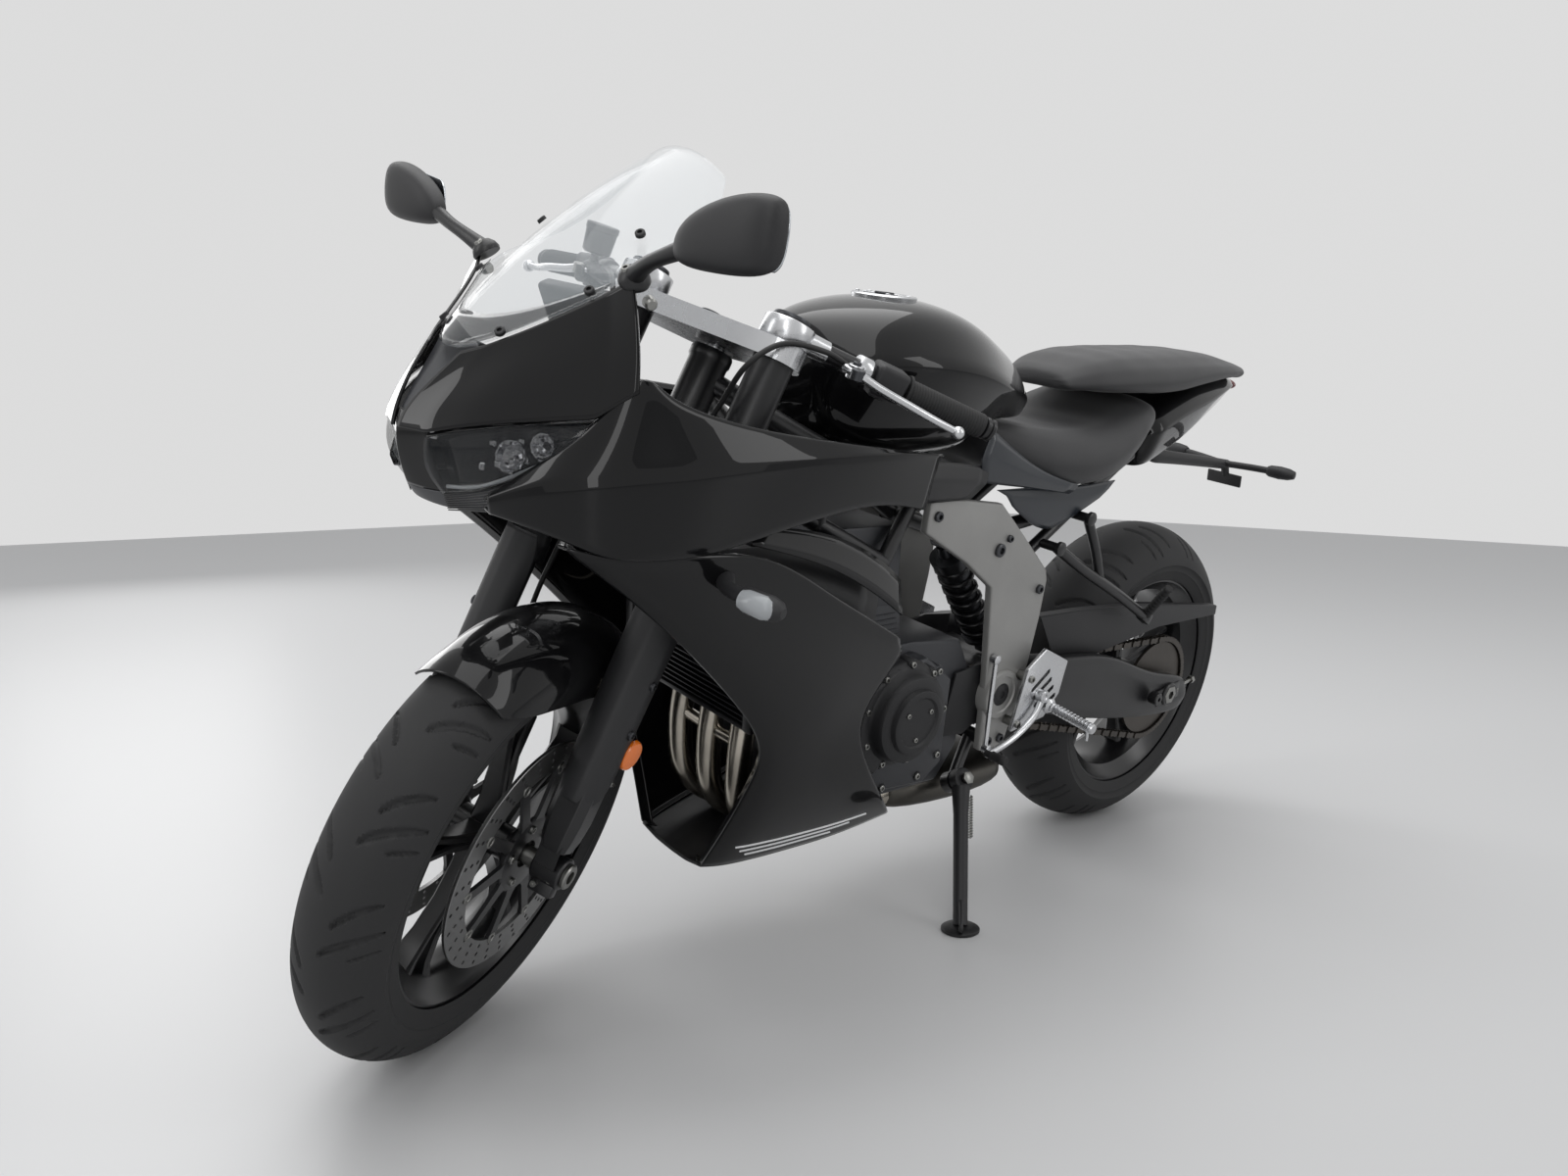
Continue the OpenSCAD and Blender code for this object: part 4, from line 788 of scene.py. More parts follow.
def lamps():
    """Headlights: smoked cover, dark housing, chrome reflectors and light bars."""
    outer = [[(1541, 47, 812), (1511, 99, 831.5), (1467, 147, 845.5), (1440, 172, 852), (1419, 191, 857)],
             [(1543, 46, 795), (1518, 98, 812), (1477, 148, 832), (1446, 177, 843), (1420, 194, 849)],
             [(1536, 47, 772), (1515, 98, 786), (1478, 148, 812), (1449, 177, 828), (1422, 194, 842)],
             [(1519, 49, 752), (1502, 97, 763), (1466, 148, 796), (1444, 172, 817), (1420, 191, 838)]]
    for side, tag in ((1, "left"), (-1, "right")):
        piece(f"lamp_cover_{tag}", skin(side_of(outer, side)), "lamp_glass", "frame", slot="lamp_lens", sub=3,
            wall=0.0025, wall_side=1.0, weld=False)
        back = [[(x - 26, y - 7, z - (2 if k == 0 else 0)) for x, y, z in row] for k, row in enumerate(outer)]
        loops = [outer[0], [(x - 14, y - 4, z - 3) for x, y,
            z in outer[0]]] + back[1:3] + [[(x - 14, y - 4, z + 3) for x, y, z in outer[3]], outer[3]]
        housing = skin(side_of(loops, side), crease_rows=(1, 4), amount=0.7)
        piece(f"lamp_housing_{tag}", housing, "lamp_dark", "frame", (f"headlight_{tag}",), sub=2, wall=0.002,
            wall_side=1.0, weld=False)
        chrome = bmesh.new()
        for (x, y, z), r in (((1478, 122, 806), 17), ((1455, 147, 822), 13)):
            lathe(chrome, mm(x, side * y, z), (0.86, side * 0.48, 0.16),
                [(-9, 2), (-7, r * 0.45), (-2, r * 0.8), (5, r), (6, r + 1.5), (4, r + 2), (-9, r * 0.5)], 10)
        for k in range(5):
            t = k / 4
            x, y, z = 1496 - 44 * t, 104 + 44 * t, 822 + 12 * t
            block(chrome, (x - 4, side * y, z - 4), (8, 9, 7), Matrix.Rotation(side * -0.75, 3, "Z"), 1.2, 1)
            block(chrome, (x + 4, side * (y - 4), z - 30 + 6 * t), (7, 10, 8), Matrix.Rotation(side * -0.75, 3, "Z"),
                1.2, 1)
        piece(f"lamp_reflector_{tag}", chrome, "chrome", "frame", slot="lamp_lens", sharp=20)
        bars = bmesh.new()
        tube(bars, path(*[(x - 6, side * (y - 3), z + 5) for x, y, z in outer[3][:4]]), 2.2, sides=2)
        piece(f"lamp_light_bar_{tag}", bars, "lamp_bar", "frame", slot="lamp_lens")


def screen():
    """The bubble screen, its smoked foot and its screws."""
    rows = [[(1502.5, 0, 905), (1496, 36, 908), (1456, 76, 934), (1416, 112, 966), (1394, 132, 984)],
            [(1440, 0, 990), (1434, 44, 986), (1405, 88, 992), (1379, 122, 1004), (1366, 138, 1010)],
            [(1360, 0, 1066), (1353, 52, 1058), (1330, 96, 1046), (1308, 126, 1036), (1300, 136, 1032)],
            [(1280, 0, 1126), (1275, 48, 1120), (1258, 88, 1104), (1242, 114, 1084), (1238, 122, 1078)],
            [(1222, 0, 1158), (1220, 34, 1155), (1216, 64, 1143), (1212, 86, 1130), (1211, 92, 1125)]]
    piece("screen_bubble", skin([whole(r) for r in rows]), "clear_screen", "frame", ("windscreen",), sub=3,
        wall=0.003, weld=False)
    foot = [[(x + 1.5, y, z + 1) for x, y, z in rows[0]],
        [(x * 0.55 + u * 0.45 + 1.5, y * 0.55 + v * 0.45, z * 0.55 + w * 0.45 + 1)
                                                         for (x, y, z), (u, v, w) in zip(rows[0], rows[1])]]
    piece("screen_smoked_foot", skin([whole(r) for r in foot]), "smoke_screen", "frame", slot="clear_screen", sub=2,
        wall=0.001, weld=False)
    screws = bmesh.new()
    for x, y, z in ((1470, 66, 930), (1400, 124, 985), (1330, 106, 1050)):
        for side in (-1, 1):
            bolt(screws, (x + 2, side * y, z), (0.6, side * 0.35, 0.7), 6, 4)
    piece("screen_screws", screws, "moulded_black", "frame", slot="black_plastic")


FAIRING_UPPER = [
    [(1500, 116, 764), (1478, 140, 790), (1452, 170, 820), (1428, 190.5, 850), (1410, 206, 884), (1388, 219, 915),
        (1366, 228, 896), (1342, 232, 884),
     (1300, 238, 871), (1213, 243, 855), (1100, 245, 844), (1000, 241, 834), (905, 229, 824)],
    [(1504, 122, 762), (1490, 146, 776), (1462, 184, 796), (1440, 206, 804), (1418, 220, 810), (1388, 232, 816),
        (1362, 238, 818), (1336, 243, 820),
     (1290, 249, 823), (1205, 253, 828), (1100, 254, 832), (1010, 248, 832), (912, 232, 826)],
    [(1504, 123, 756), (1489, 148, 766), (1462, 187, 780), (1440, 210, 788), (1418, 224, 793), (1388, 236, 798),
        (1362, 242, 801), (1336, 247, 803),
     (1290, 252, 808), (1205, 255, 815), (1100, 255, 822), (1010, 248, 825), (916, 231, 821)],
    [(1500, 120, 745), (1486, 146, 742), (1462, 186, 735), (1440, 210, 727), (1418, 226, 719), (1388, 238, 717),
        (1362, 243, 717), (1336, 247, 718),
     (1290, 251, 722), (1205, 252, 742), (1100, 247, 762), (1010, 240, 768), (925, 228, 752)],
]
FAIRING_LOWER = [
    [(1452, 198, 724), (1412, 226, 716), (1362, 241, 716), (1300, 249, 720), (1222, 249, 716), (1150, 245, 686),
        (1078, 239, 646), (1000, 230, 608), (922, 220, 568)],
    [(1440, 200, 714), (1404, 220, 702), (1356, 234, 698), (1296, 243, 698), (1226, 246, 698), (1154, 243, 670),
        (1080, 237, 630), (1000, 228, 592), (914, 217, 556)],
    [(1330, 214, 636), (1306, 224, 628), (1270, 233, 620), (1226, 238, 612), (1170, 238, 602), (1112, 234, 590),
        (1044, 228, 574), (970, 218, 556), (893, 208, 540)],
    [(1195, 204, 516), (1175, 212, 513), (1148, 218, 510), (1118, 221, 507), (1084, 222, 504), (1050, 221, 501),
        (1010, 217, 499), (970, 211, 497), (932, 206, 495)],
    [(1112, 192, 428), (1102, 200, 429), (1088, 204, 431), (1070, 207, 433), (1048, 208, 435), (1026, 208, 437),
        (1006, 207, 438), (986, 206, 440), (966, 204, 441)],
    [(1104, 156, 350), (1090, 168, 351), (1074, 176, 353), (1054, 182, 354), (1030, 187, 355), (1004, 190, 356),
        (976, 193, 357), (946, 195, 358), (916, 196, 359)],
    [(1100, 116, 268), (1084, 130, 270), (1064, 140, 273), (1040, 148, 276), (1008, 156, 279), (972, 163, 282),
        (932, 169, 285), (890, 174, 287), (849, 178, 289)],
    [(1101, 76, 192), (1084, 86, 193), (1062, 94, 195), (1036, 101, 198), (1002, 109, 202), (960, 118, 208),
        (908, 130, 216), (852, 140, 228), (796, 148, 241)],
]


def offset_rows(rows, x=0.0, y=0.0, z=0.0):
    return [[(a + x, b + y, c + z) for a, b, c in row] for row in rows]


def fairings():
    """Side panels: an upper band with two crisp lines, and the lower sheet with its turned-in edges."""
    for side, tag in ((1, "left"), (-1, "right")):
        upper = skin(side_of(offset_rows([FAIRING_UPPER[0]], 0, -10,
            -8) + FAIRING_UPPER + offset_rows([FAIRING_UPPER[3]], 0, -14, 3), side),
                     crease_rows=(1, 2, 3, 4), amount=0.8)
        piece(f"fairing_upper_{tag}", upper, "gloss_paint", "frame", (f"side_fairing_{tag}",), sub=3, wall=0.003,
            wall_side=0.0, weld=False)
        lower = [[offset_point(row[0], -10, -14, 2)] + row + [offset_point(row[-1], 4, -12,
            0)] for row in FAIRING_LOWER]
        lower = offset_rows([lower[0]], 0, -14, -2) + lower + offset_rows([lower[-1]], 0, -12, -1)
        piece(f"fairing_lower_{tag}", skin(side_of(lower, side), crease_rows=(1, 2, 8), crease_cols=(1, 9),
            amount=0.8), "gloss_paint", "frame",
              slot="gloss_black", sub=3, wall=0.003, wall_side=0.0, weld=False)
        # dark blade inside the vent, and the duct behind it
        blade = [[(1226, 236, 724), (1130, 226, 700), (1040, 216, 668), (950, 206, 622), (905, 202, 594)],
                 [(1212, 222, 742), (1110, 208, 730), (1020, 198, 706), (940, 190, 668), (902, 186, 640)]]
        piece(f"vent_blade_{tag}", skin(side_of(blade, side)), "gloss_paint", "frame", slot="gloss_black", sub=2,
            wall=0.003, wall_side=0.0, weld=False)
        inner = [[(1330, 196, 708), (1150, 170, 700), (985, 158, 690), (915, 160, 660)],
                 [(1300, 178, 640), (1150, 160, 600), (990, 154, 560), (910, 160, 540)]]
        piece(f"inner_panel_{tag}", skin(side_of(inner, side)), "satin_black", "frame", slot="black_plastic", sub=1,
            wall=0.003, wall_side=0.0, weld=False)


def on_lower_fairing(u, v, lift=2.0):
    """A point on the lower fairing: u columns back, v rows down, lifted off its skin."""
    i, j = min(int(v), len(FAIRING_LOWER) - 2), min(int(u), len(FAIRING_LOWER[0]) - 2)
    a = Vector(FAIRING_LOWER[i][j]).lerp(Vector(FAIRING_LOWER[i][j + 1]), u - j)
    b = Vector(FAIRING_LOWER[i + 1][j]).lerp(Vector(FAIRING_LOWER[i + 1][j + 1]), u - j)
    p = a.lerp(b, v - i)
    return (p.x, p.y + lift, p.z - lift * 0.3)


def stripes():
    """Three plain white pinstripes low on each side."""
    for side, tag in ((1, "left"), (-1, "right")):
        bm = bmesh.new()
        for u0, u1, v in ((1.4, 7.2, 6.48), (1.9, 6.6, 6.62), (2.4, 6.0, 6.76)):
            line = [on_lower_fairing(u0 + (u1 - u0) * t / 12, v) for t in range(13)]
            tube(bm, [(x, side * y, z) for x, y, z in line], 1.6, smooth=False, sides=1)
        piece(f"fairing_stripes_{tag}", bm, "white_decal", "frame", slot="gloss_black")


def offset_point(p, x, y, z):
    return (p[0] + x, p[1] + y, p[2] + z)


def belly():
    """The keel that joins both lower panels."""
    rows = []
    for a in FAIRING_LOWER[-1]:
        rows.append(whole([(a[0], 0, a[2] - 10), (a[0], a[1] * 0.5, a[2] - 8), (a[0], a[1] - 3, a[2] - 1)]))
    piece("belly_keel", skin(rows, crease_cols=(1, 3), amount=0.5), "satin_black", "frame", ("belly_pan",), sub=2,
        wall=0.003, weld=False)


class SPORTBIKE_OT_bodywork(bpy.types.Operator):
    """Nose, lamps, screen and side panels."""
    bl_idname = "sportbike.bodywork"
    bl_label = "Bodywork"

    def execute(self, context):
        nose()
        lamps()
        screen()
        fairings()
        stripes()
        belly()
        return {"FINISHED"}


# ---------------------------------------------------------------- fork, bars and mirrors

BAR_ROOT = fork_pt(727.5, 103) * 1000
BAR_END = Vector((1000, 345, 925))
BAR_DIR = (BAR_END - BAR_ROOT).normalized()
BAR_LEN = (BAR_END - BAR_ROOT).length
GRIP_LEN = 122
CALIPER = (fork_pt(104) - 0.103 * OUT_S) * 1000
LOCAL = Matrix((OUT_S, Vector((0, 1, 0)), UP_S)).transposed()


def bar_pt(along, side=1, x=0.0, y=0.0, z=0.0):
    p = BAR_ROOT + along * BAR_DIR + Vector((x, y, z))
    return Vector((p.x, side * p.y, p.z))


def fork(s, y, out=0.0):
    """A point in mm: s up the fork, y across, out ahead of its line."""
    return (fork_pt(s, y) + out / 1000 * OUT_S) * 1000


def mudguard():
    """The front mudguard: a raised spine, a crisp line each side and blades down to the fork."""
    # columns: angle from straight ahead, reach round the section, lift of the spine
    stations = [(63, 54, 0), (66, 66, 3), (71, 78, 5), (79, 90, 5), (90, 102, 5), (106, 104, 5), (122, 97, 4),
        (138, 84, 3), (151, 62, 0)]
    rows = []
    for a, reach, lift in stations:
        row = []
        for k, f in enumerate((0, 0.22, 0.40, 0.52, 0.72, 0.88, 1.0)):
            phi = math.radians(reach * f)
            rr = 240 + (74 + (lift if k < 3 else 0)) * math.cos(phi)
            a2 = math.radians(a)
            row.append((1426 + rr * math.cos(a2), 74 * math.sin(phi), 300 + rr * math.sin(a2)))
        rows.append(whole(row))
    piece("mudguard_shell", skin(rows, crease_cols=(3, 9), amount=0.75), "gloss_paint", "steering",
        ("front_mudguard",), sub=3, wall=0.003, weld=False)
    bm = bmesh.new()
    for side in (-1, 1):
        for s in (190, 262):
            lathe(bm, fork(s, side * 73) / 1000, (0, side, 0), solid_disc(0, 20, 10), 24)
            bolt(bm, fork(s, side * 77.5) - Vector((16, 0, 0)), (0, side, 0), 5, 4)
    piece("mudguard_mounts", bm, "powder_black", "steering", slot="black_metal")


def forks():
    for side, tag in ((1, "left"), (-1, "right")):
        y = side * 103
        axis = UP_S
        tubes = bmesh.new()
        lathe(tubes, fork_pt(340, y), axis, [(0, 20), (0, 27.5), (3, 28.5), (24, 28.5), (27, 26.2), (60, 26),
            (180, 26), (186, 27), (404, 27), (404, 0)], 48)
        piece(f"fork_outer_{tag}", tubes, "satin_black", "steering", (f"fork_{tag}",), slot="black_metal")
        low = bmesh.new()
        lathe(low, fork_pt(120, y), axis, [(0, 0), (0, 20.5), (224, 20.5), (224, 0)], 40)
        piece(f"fork_slider_{tag}", low, "dark_alloy", "steering", slot="black_metal")
        cap = bmesh.new()
        lathe(cap, fork_pt(744, y), axis, [(0, 25), (2, 25.5), (5, 24.5), (5, 12), (3.5, 11), (3.5, 0)], 40)
        lathe(cap, fork_pt(747, y), axis, [(0, 0), (0, 7.5), (1.2, 7.5), (1.2, 0)], 6)
        piece(f"fork_cap_{tag}", cap, "dark_alloy", "steering", slot="black_metal")
        foot = bmesh.new()
        join(foot, skin([[tuple(fork(s, y) + LOCAL @ Vector((dx * w, dy * d, 0))) for dx, dy in
                          ((1, -0.6), (1, 0.6), (0.6, 1), (-0.6, 1), (-1, 0.6), (-1, -0.6), (-0.6, -1), (0.6, -1))]
                         for s, w, d in ((28, 18, 17), (44, 24, 21), (70, 26, 24), (120, 26, 25), (150, 25, 25),
                             (158, 22, 22))], closed=True, caps=True))
        lathe(foot, FRONT_AXLE + mm(0, y - side * 21, 0), (0, side, 0),
            [(0, 12.6), (0, 19), (2, 21), (40, 21), (42, 19), (42, 12.6), (0, 12.6)], 40)
        join(foot, skin([[tuple(FRONT_AXLE * 1000 + Vector((0, y, 0)) + LOCAL @ Vector((o, dy, u))) for dy in (-15,
            15)] for o, u in ((-14, 2), (30, 6), (34, 40), (8, 60), (-14, 2))]))
        block(foot, tuple(FRONT_AXLE * 1000 + Vector((0, y, 0)) + LOCAL @ Vector((2, 0, -23))), (18, 34, 22), LOCAL,
            3)
        for s in (80, 128):
            lug = CALIPER + Vector((0, side * 95, 0)) + (s - 104) * UP_S + 20 * OUT_S
            tube(foot, [tuple(fork(s, side * 95, -12)), tuple(lug)], 8, smooth=False, sides=3)
        piece(f"fork_foot_{tag}", foot, "powder_black", "steering", slot="black_metal", bevel=0.0008)
        hardware = bmesh.new()
        for u in (-16, -29):
            bolt(hardware, FRONT_AXLE * 1000 + Vector((0, y, 0)) + LOCAL @ Vector((11, 9 if u == -16 else -9, u + 5)),
                OUT_S, 4.5, 5)
        for s in (80, 128):
            bolt(hardware, fork(s, side * 95, 14), OUT_S, 6, 6)
        piece(f"fork_bolts_{tag}", hardware, "zinc_steel", "steering", slot="bright_alloy")
        # guard over the slider, open at the back
        rows = []
        for s, w, reach in ((96, 27, 40), (104, 30, 78), (180, 31, 88), (280, 32, 92), (350, 33, 86), (372, 33, 60)):
            rows.append([tuple(fork(s, y) + w * (math.cos(math.radians(b * reach / 90)) * OUT_S + Vector((0,
                side * math.sin(math.radians(b * reach / 90)), 0))))
                         for b in (-62, -40, -15, 15, 45, 70, 95, 118)])
        piece(f"fork_guard_{tag}", skin(rows, crease_cols=(3, 5), amount=0.5), "moulded_black", "steering",
            slot="black_plastic", sub=2, wall=0.0025, wall_side=0.0, weld=False)
        guard_bolts = bmesh.new()
        for s in (196, 262):
            bolt(guard_bolts, fork(s, y + side * 31.5, 6), (0.1, side, 0), 6.5, 3.5)
        piece(f"fork_guard_bolts_{tag}", guard_bolts, "dark_alloy", "steering", slot="black_metal")
        lens = bmesh.new()
        part = bmesh.new()
        join(part, skin([[(rr * 15 * math.cos(t), rr * 21 * math.sin(t), z) for t in np.linspace(0, math.tau, 24,
            endpoint=False)] for z, rr in
                         ((-3, 0.9), (0, 1), (4, 0.97), (6, 0.9), (6.8, 0.6), (7, 0.15))], closed=True, caps=True))
        out_dir = Vector((0.30, side * 0.95, 0.0)).normalized()
        up_dir = UP_S - UP_S.dot(out_dir) * out_dir
        up_dir.normalize()
        part.transform(Matrix.Translation(mm(1357, side * 134, 455)) @ Matrix((up_dir.cross(out_dir), up_dir,
            out_dir)).transposed().to_4x4())
        join(lens, part)
        piece(f"fork_reflector_{tag}", lens, "amber", "steering", slot="red_lens")


def front_brakes():
    for side, tag in ((1, "left"), (-1, "right")):
        bm = bmesh.new()
        mid = CALIPER
        for y0, y1, w, h in ((66, 88, 27, 49), (44, 56, 26, 46)):
            outline = [(-w, -h * 0.55), (-w * 0.55, -h), (w * 0.75, -h * 0.92), (w, -h * 0.5), (w, h * 0.5),
                (w * 0.75, h * 0.92), (-w * 0.55, h), (-w, h * 0.55)]
            part = bmesh.new()
            face = part.faces.new([part.verts.new(Vector((x, y0, z)) / 1000) for x, z in outline])
            rim = bmesh.ops.extrude_face_region(part, geom=[face])["geom"]
            bmesh.ops.translate(part, vec=mm(0, y1 - y0, 0),
                verts=[g for g in rim if isinstance(g, bmesh.types.BMVert)])
            bmesh.ops.recalc_face_normals(part, faces=part.faces)
            bmesh.ops.bevel(part, geom=part.edges[:], offset=0.003, segments=2, profile=0.5, affect="EDGES",
                material=-1, clamp_overlap=True)
            bmesh.ops.scale(part, vec=(1, side, 1), verts=part.verts)
            part.transform(Matrix.Translation(mid / 1000) @ LOCAL.to_4x4())
            join(bm, part)
        for u in (-22, 22):
            lathe(bm, (mid + Vector((0, side * 87, 0)) + u * UP_S - 2 * OUT_S) / 1000, (0, side, 0),
                [(0, 0), (0, 17), (2, 17), (4, 15), (4, 9), (3, 8), (3, 0)], 28)
        block(bm, tuple(mid + Vector((0, side * 62, 0)) - 24 * OUT_S), (12, 26, 70), LOCAL, 3)
        for u in (-40, 40):
            block(bm, tuple(mid + Vector((0, side * 62, 0)) + u * UP_S), (34, 26, 14), LOCAL, 3)
        body = piece(f"front_caliper_{tag}", bm, "satin_black", "steering", ("front_calipers",) if side > 0 else (),
            slot="black_metal", bevel=0.0006)
        room = bmesh.new()
        lathe(room, FRONT_AXLE + mm(0, 30, 0) * side, (0, side, 0), [(0, 0), (0, 104), (90, 104), (90, 0)], 72)
        cut(body, room, "steering")
        trim = bmesh.new()
        for u in (-36, 36):
            bolt(trim, mid + Vector((0, side * 87, 0)) + u * UP_S + 14 * OUT_S, (0, side, 0), 5, 5)
        lathe(trim, (mid + Vector((0, side * 76, 0)) + 48 * UP_S) / 1000, UP_S,
            [(0, 0), (0, 8), (4, 8), (4, 5), (9, 5), (9, 0)], 16)
        lathe(trim, (mid + Vector((0, side * 88, 0)) - 0 * UP_S - 18 * OUT_S) / 1000, (0, side, 0),
            [(0, 0), (0, 4), (6, 4), (7, 2.5), (10, 2.5), (10, 0)], 12)
        piece(f"front_caliper_bolts_{tag}", trim, "zinc_steel", "steering", slot="bright_alloy")


def axle_ends():
    bm = bmesh.new()
    for side in (-1, 1):
        lathe(bm, FRONT_AXLE + mm(0, side * 108, 0), (0, side, 0),
            [(0, 8.6), (0, 12.4), (17, 12.4), (17, 16), (21, 16.5), (23, 15), (23, 8.6), (0, 8.6)], 36)
    lathe(bm, FRONT_AXLE + mm(0, -110, 0), (0, 1, 0), [(0, 8.6), (0, 12.4), (220, 12.4), (220, 8.6), (0, 8.6)], 36)
    piece("front_axle_shaft", bm, "zinc_steel", "steering", ("front_axle",), slot="bright_alloy")


def bars():
    """Clip-ons, grips, switches, levers and their fluid cup."""
    for side, tag in ((1, "left"), (-1, "right")):
        root, d = bar_pt(0, side), Vector((BAR_DIR.x, side * BAR_DIR.y, BAR_DIR.z))
        clamp = bmesh.new()
        lathe(clamp, fork_pt(727.5 - 14, side * 103), UP_S,
            [(0, 26.4), (0, 33), (1.5, 34), (26.5, 34), (28, 33), (28, 26.4), (0, 26.4)], 48)
        block(clamp, tuple(fork(727.5, side * 103) - 36 * OUT_S), (22, 20, 26), LOCAL, 3)
        tube(clamp, [tuple(bar_pt(12, side)), tuple(bar_pt(40, side)), tuple(bar_pt(58, side))], 14, smooth=False,
            sides=5, radii=[1.15, 1.05, 1.0])
        piece(f"clip_on_{tag}", clamp, "bright_alloy", "steering", ("handlebars",) if side > 0 else (),
            slot="bright_alloy", bevel=0.0008)
        bolts = bmesh.new()
        bolt(bolts, fork(735, side * 113, -36), (0, side, 0), 5, 5)
        bolt(bolts, fork(721, side * 113, -36), (0, side, 0), 5, 5)
        bolt(bolts, bar_pt(30, side, z=13), (0, 0, 1), 4.5, 4)
        piece(f"clip_on_bolts_{tag}", bolts, "zinc_steel", "steering", slot="bright_alloy")
        bar = bmesh.new()
        tube(bar, [tuple(bar_pt(20, side)), tuple(bar_pt(BAR_LEN, side))], 11, smooth=False, sides=6)
        piece(f"bar_tube_{tag}", bar, "powder_black", "steering", slot="black_metal")
        weight = bmesh.new()
        lathe(weight, bar_pt(BAR_LEN, side) / 1000, d,
            [(0.5, 0), (0.5, 13), (2, 15), (6, 15), (7, 13), (9, 13), (10, 15), (14, 15), (15.6, 13.5), (16, 9),
            (13, 6), (13, 0)], 32)
        piece(f"bar_weight_{tag}", weight, "satin_black", "steering", slot="black_metal")
        grip = bmesh.new()
        profile = [(0, 11.2), (0, 20), (3, 20.5), (5, 17)]
        for k in range(26):
            profile += [(7 + k * 4.3, 15.6), (8.2 + k * 4.3, 16.4), (10 + k * 4.3, 16.4)]
        profile += [(GRIP_LEN - 3, 16.2), (GRIP_LEN - 1.4, 15), (GRIP_LEN - 1.4, 11.2)]
        lathe(grip, bar_pt(BAR_LEN - GRIP_LEN, side) / 1000, d, profile, 30)
        piece(f"grip_{tag}", grip, "grip_rubber", "steering", ("grips",) if side > 0 else (), slot="grip_rubber",
            sharp=60)
        # switch cube: x along the bar
        turn = Matrix((d, Vector((0, 0, 1)).cross(d).normalized(),
            d.cross(Vector((0, 0, 1)).cross(d).normalized()))).transposed()
        cube = bmesh.new()
        mid = bar_pt(BAR_LEN - GRIP_LEN - 26, side)
        block(cube, tuple(mid), (46, 42, 40), turn, 7, 3)
        block(cube, tuple(mid + turn @ Vector((-8, 0, -17))), (26, 30, 14), turn, 4)
        piece(f"switch_cube_{tag}", cube, "moulded_black", "steering", slot="black_plastic")
        keys = bmesh.new()
        face = 1 if turn.col[1].x < 0 else -1
        for k, (a, b, w, h) in enumerate(((-10, 10, 14, 7), (8, 9, 10, 9), (-8, -5, 11, 8), (9, -6, 9, 9),
            (0, 1, 6, 5))):
            block(keys, tuple(mid + turn @ Vector((a, face * 21.5, b))), (w, 5, h), turn, 1.2, 1)
        piece(f"switch_keys_{tag}", keys, "side_satin", "steering", slot="black_plastic")
        perch_at = BAR_LEN - GRIP_LEN - 64
        lever_root = bar_pt(perch_at, side, 40, 4, 2)
        lever_end = bar_pt(BAR_LEN - 14, side, 66, 0, -6)
        perch = bmesh.new()
        lathe(perch, bar_pt(perch_at - 10, side) / 1000, d,
            [(0, 11.2), (0, 16), (1.5, 17), (18.5, 17), (20, 16), (20, 11.2), (0, 11.2)], 32)
        tube(perch, [tuple(bar_pt(perch_at, side, 14)), tuple(bar_pt(perch_at, side, 30, 0, 2)), tuple(lever_root)],
            9, smooth=False, sides=4, radii=[1.15, 0.95, 0.85])
        lathe(perch, (lever_root + Vector((0, 0, -9))) / 1000, (0, 0, 1),
            [(0, 0), (0, 9), (1, 10), (17, 10), (18, 9), (18, 0)], 24)
        block(perch, tuple(bar_pt(perch_at, side, -16, 0, 0)), (12, 18, 16), None, 3)
        piece(f"lever_perch_{tag}", perch, "bright_alloy" if side > 0 else "satin_black", "steering",
            slot="bright_alloy")
        blade = bmesh.new()
        way = path(tuple(lever_root + Vector((-2, side * -12, 0))), tuple(lever_root + Vector((8, side * 8, 0))),
                   tuple(lever_root.lerp(lever_end, 0.28) + Vector((15, 0, 1))),
                       tuple(lever_root.lerp(lever_end, 0.55) + Vector((13, 0, 1))),
                   tuple(lever_root.lerp(lever_end, 0.82) + Vector((2, 0, -1))), tuple(lever_end), n=6)
        loops = []
        for k, q in enumerate(way):
            a, b = Vector(way[max(0, k - 1)]), Vector(way[min(len(way) - 1, k + 1)])
            t = (b - a).normalized()
            side_dir = t.cross(Vector((0, 0, 1))).normalized()
            top = side_dir.cross(t)
            f = k / (len(way) - 1)
            w, h = 8.5 - 3.5 * f, 6.2 - 1.4 * f
            loops.append([tuple(Vector(q) + side_dir * w * math.cos(c) + top * h * math.sin(c))
                for c in np.linspace(0, math.tau, 10, endpoint=False)])
        join(blade, skin(loops, closed=True, caps=True))
        lathe(blade, (lever_end + (Vector(way[-1]) - Vector(way[-2])).normalized() * -2) / 1000,
            Vector(way[-1]) - Vector(way[-2]),
              [(-8.5 * math.cos(a), 8.5 * math.sin(a)) for a in np.linspace(0, math.pi, 12)], 20)
        piece(f"lever_blade_{tag}", blade, "bright_alloy", "steering", ("hand_levers",) if side > 0 else (),
            slot="bright_alloy", sharp=50)
        wheel = bmesh.new()
        lathe(wheel, (lever_root + Vector((12, side * 8, -7))) / 1000, (0, 0, 1),
            [(0, 0), (0, 8), (1, 9), (13, 9), (14, 8), (14, 0)], 14)
        bolt(wheel, lever_root + Vector((0, 0, 9)), (0, 0, 1), 5.5, 4)
        for q in (-7, 7):
            bolt(wheel, bar_pt(perch_at, side, -22, 0, q), (-1, 0, 0), 3.6, 4, 10)
        piece(f"lever_adjuster_{tag}", wheel, "dark_alloy" if side > 0 else "zinc_steel", "steering",
            slot="bright_alloy")
    cup = bmesh.new()
    root = bar_pt(BAR_LEN - GRIP_LEN - 64, -1, 40, 4, 2)
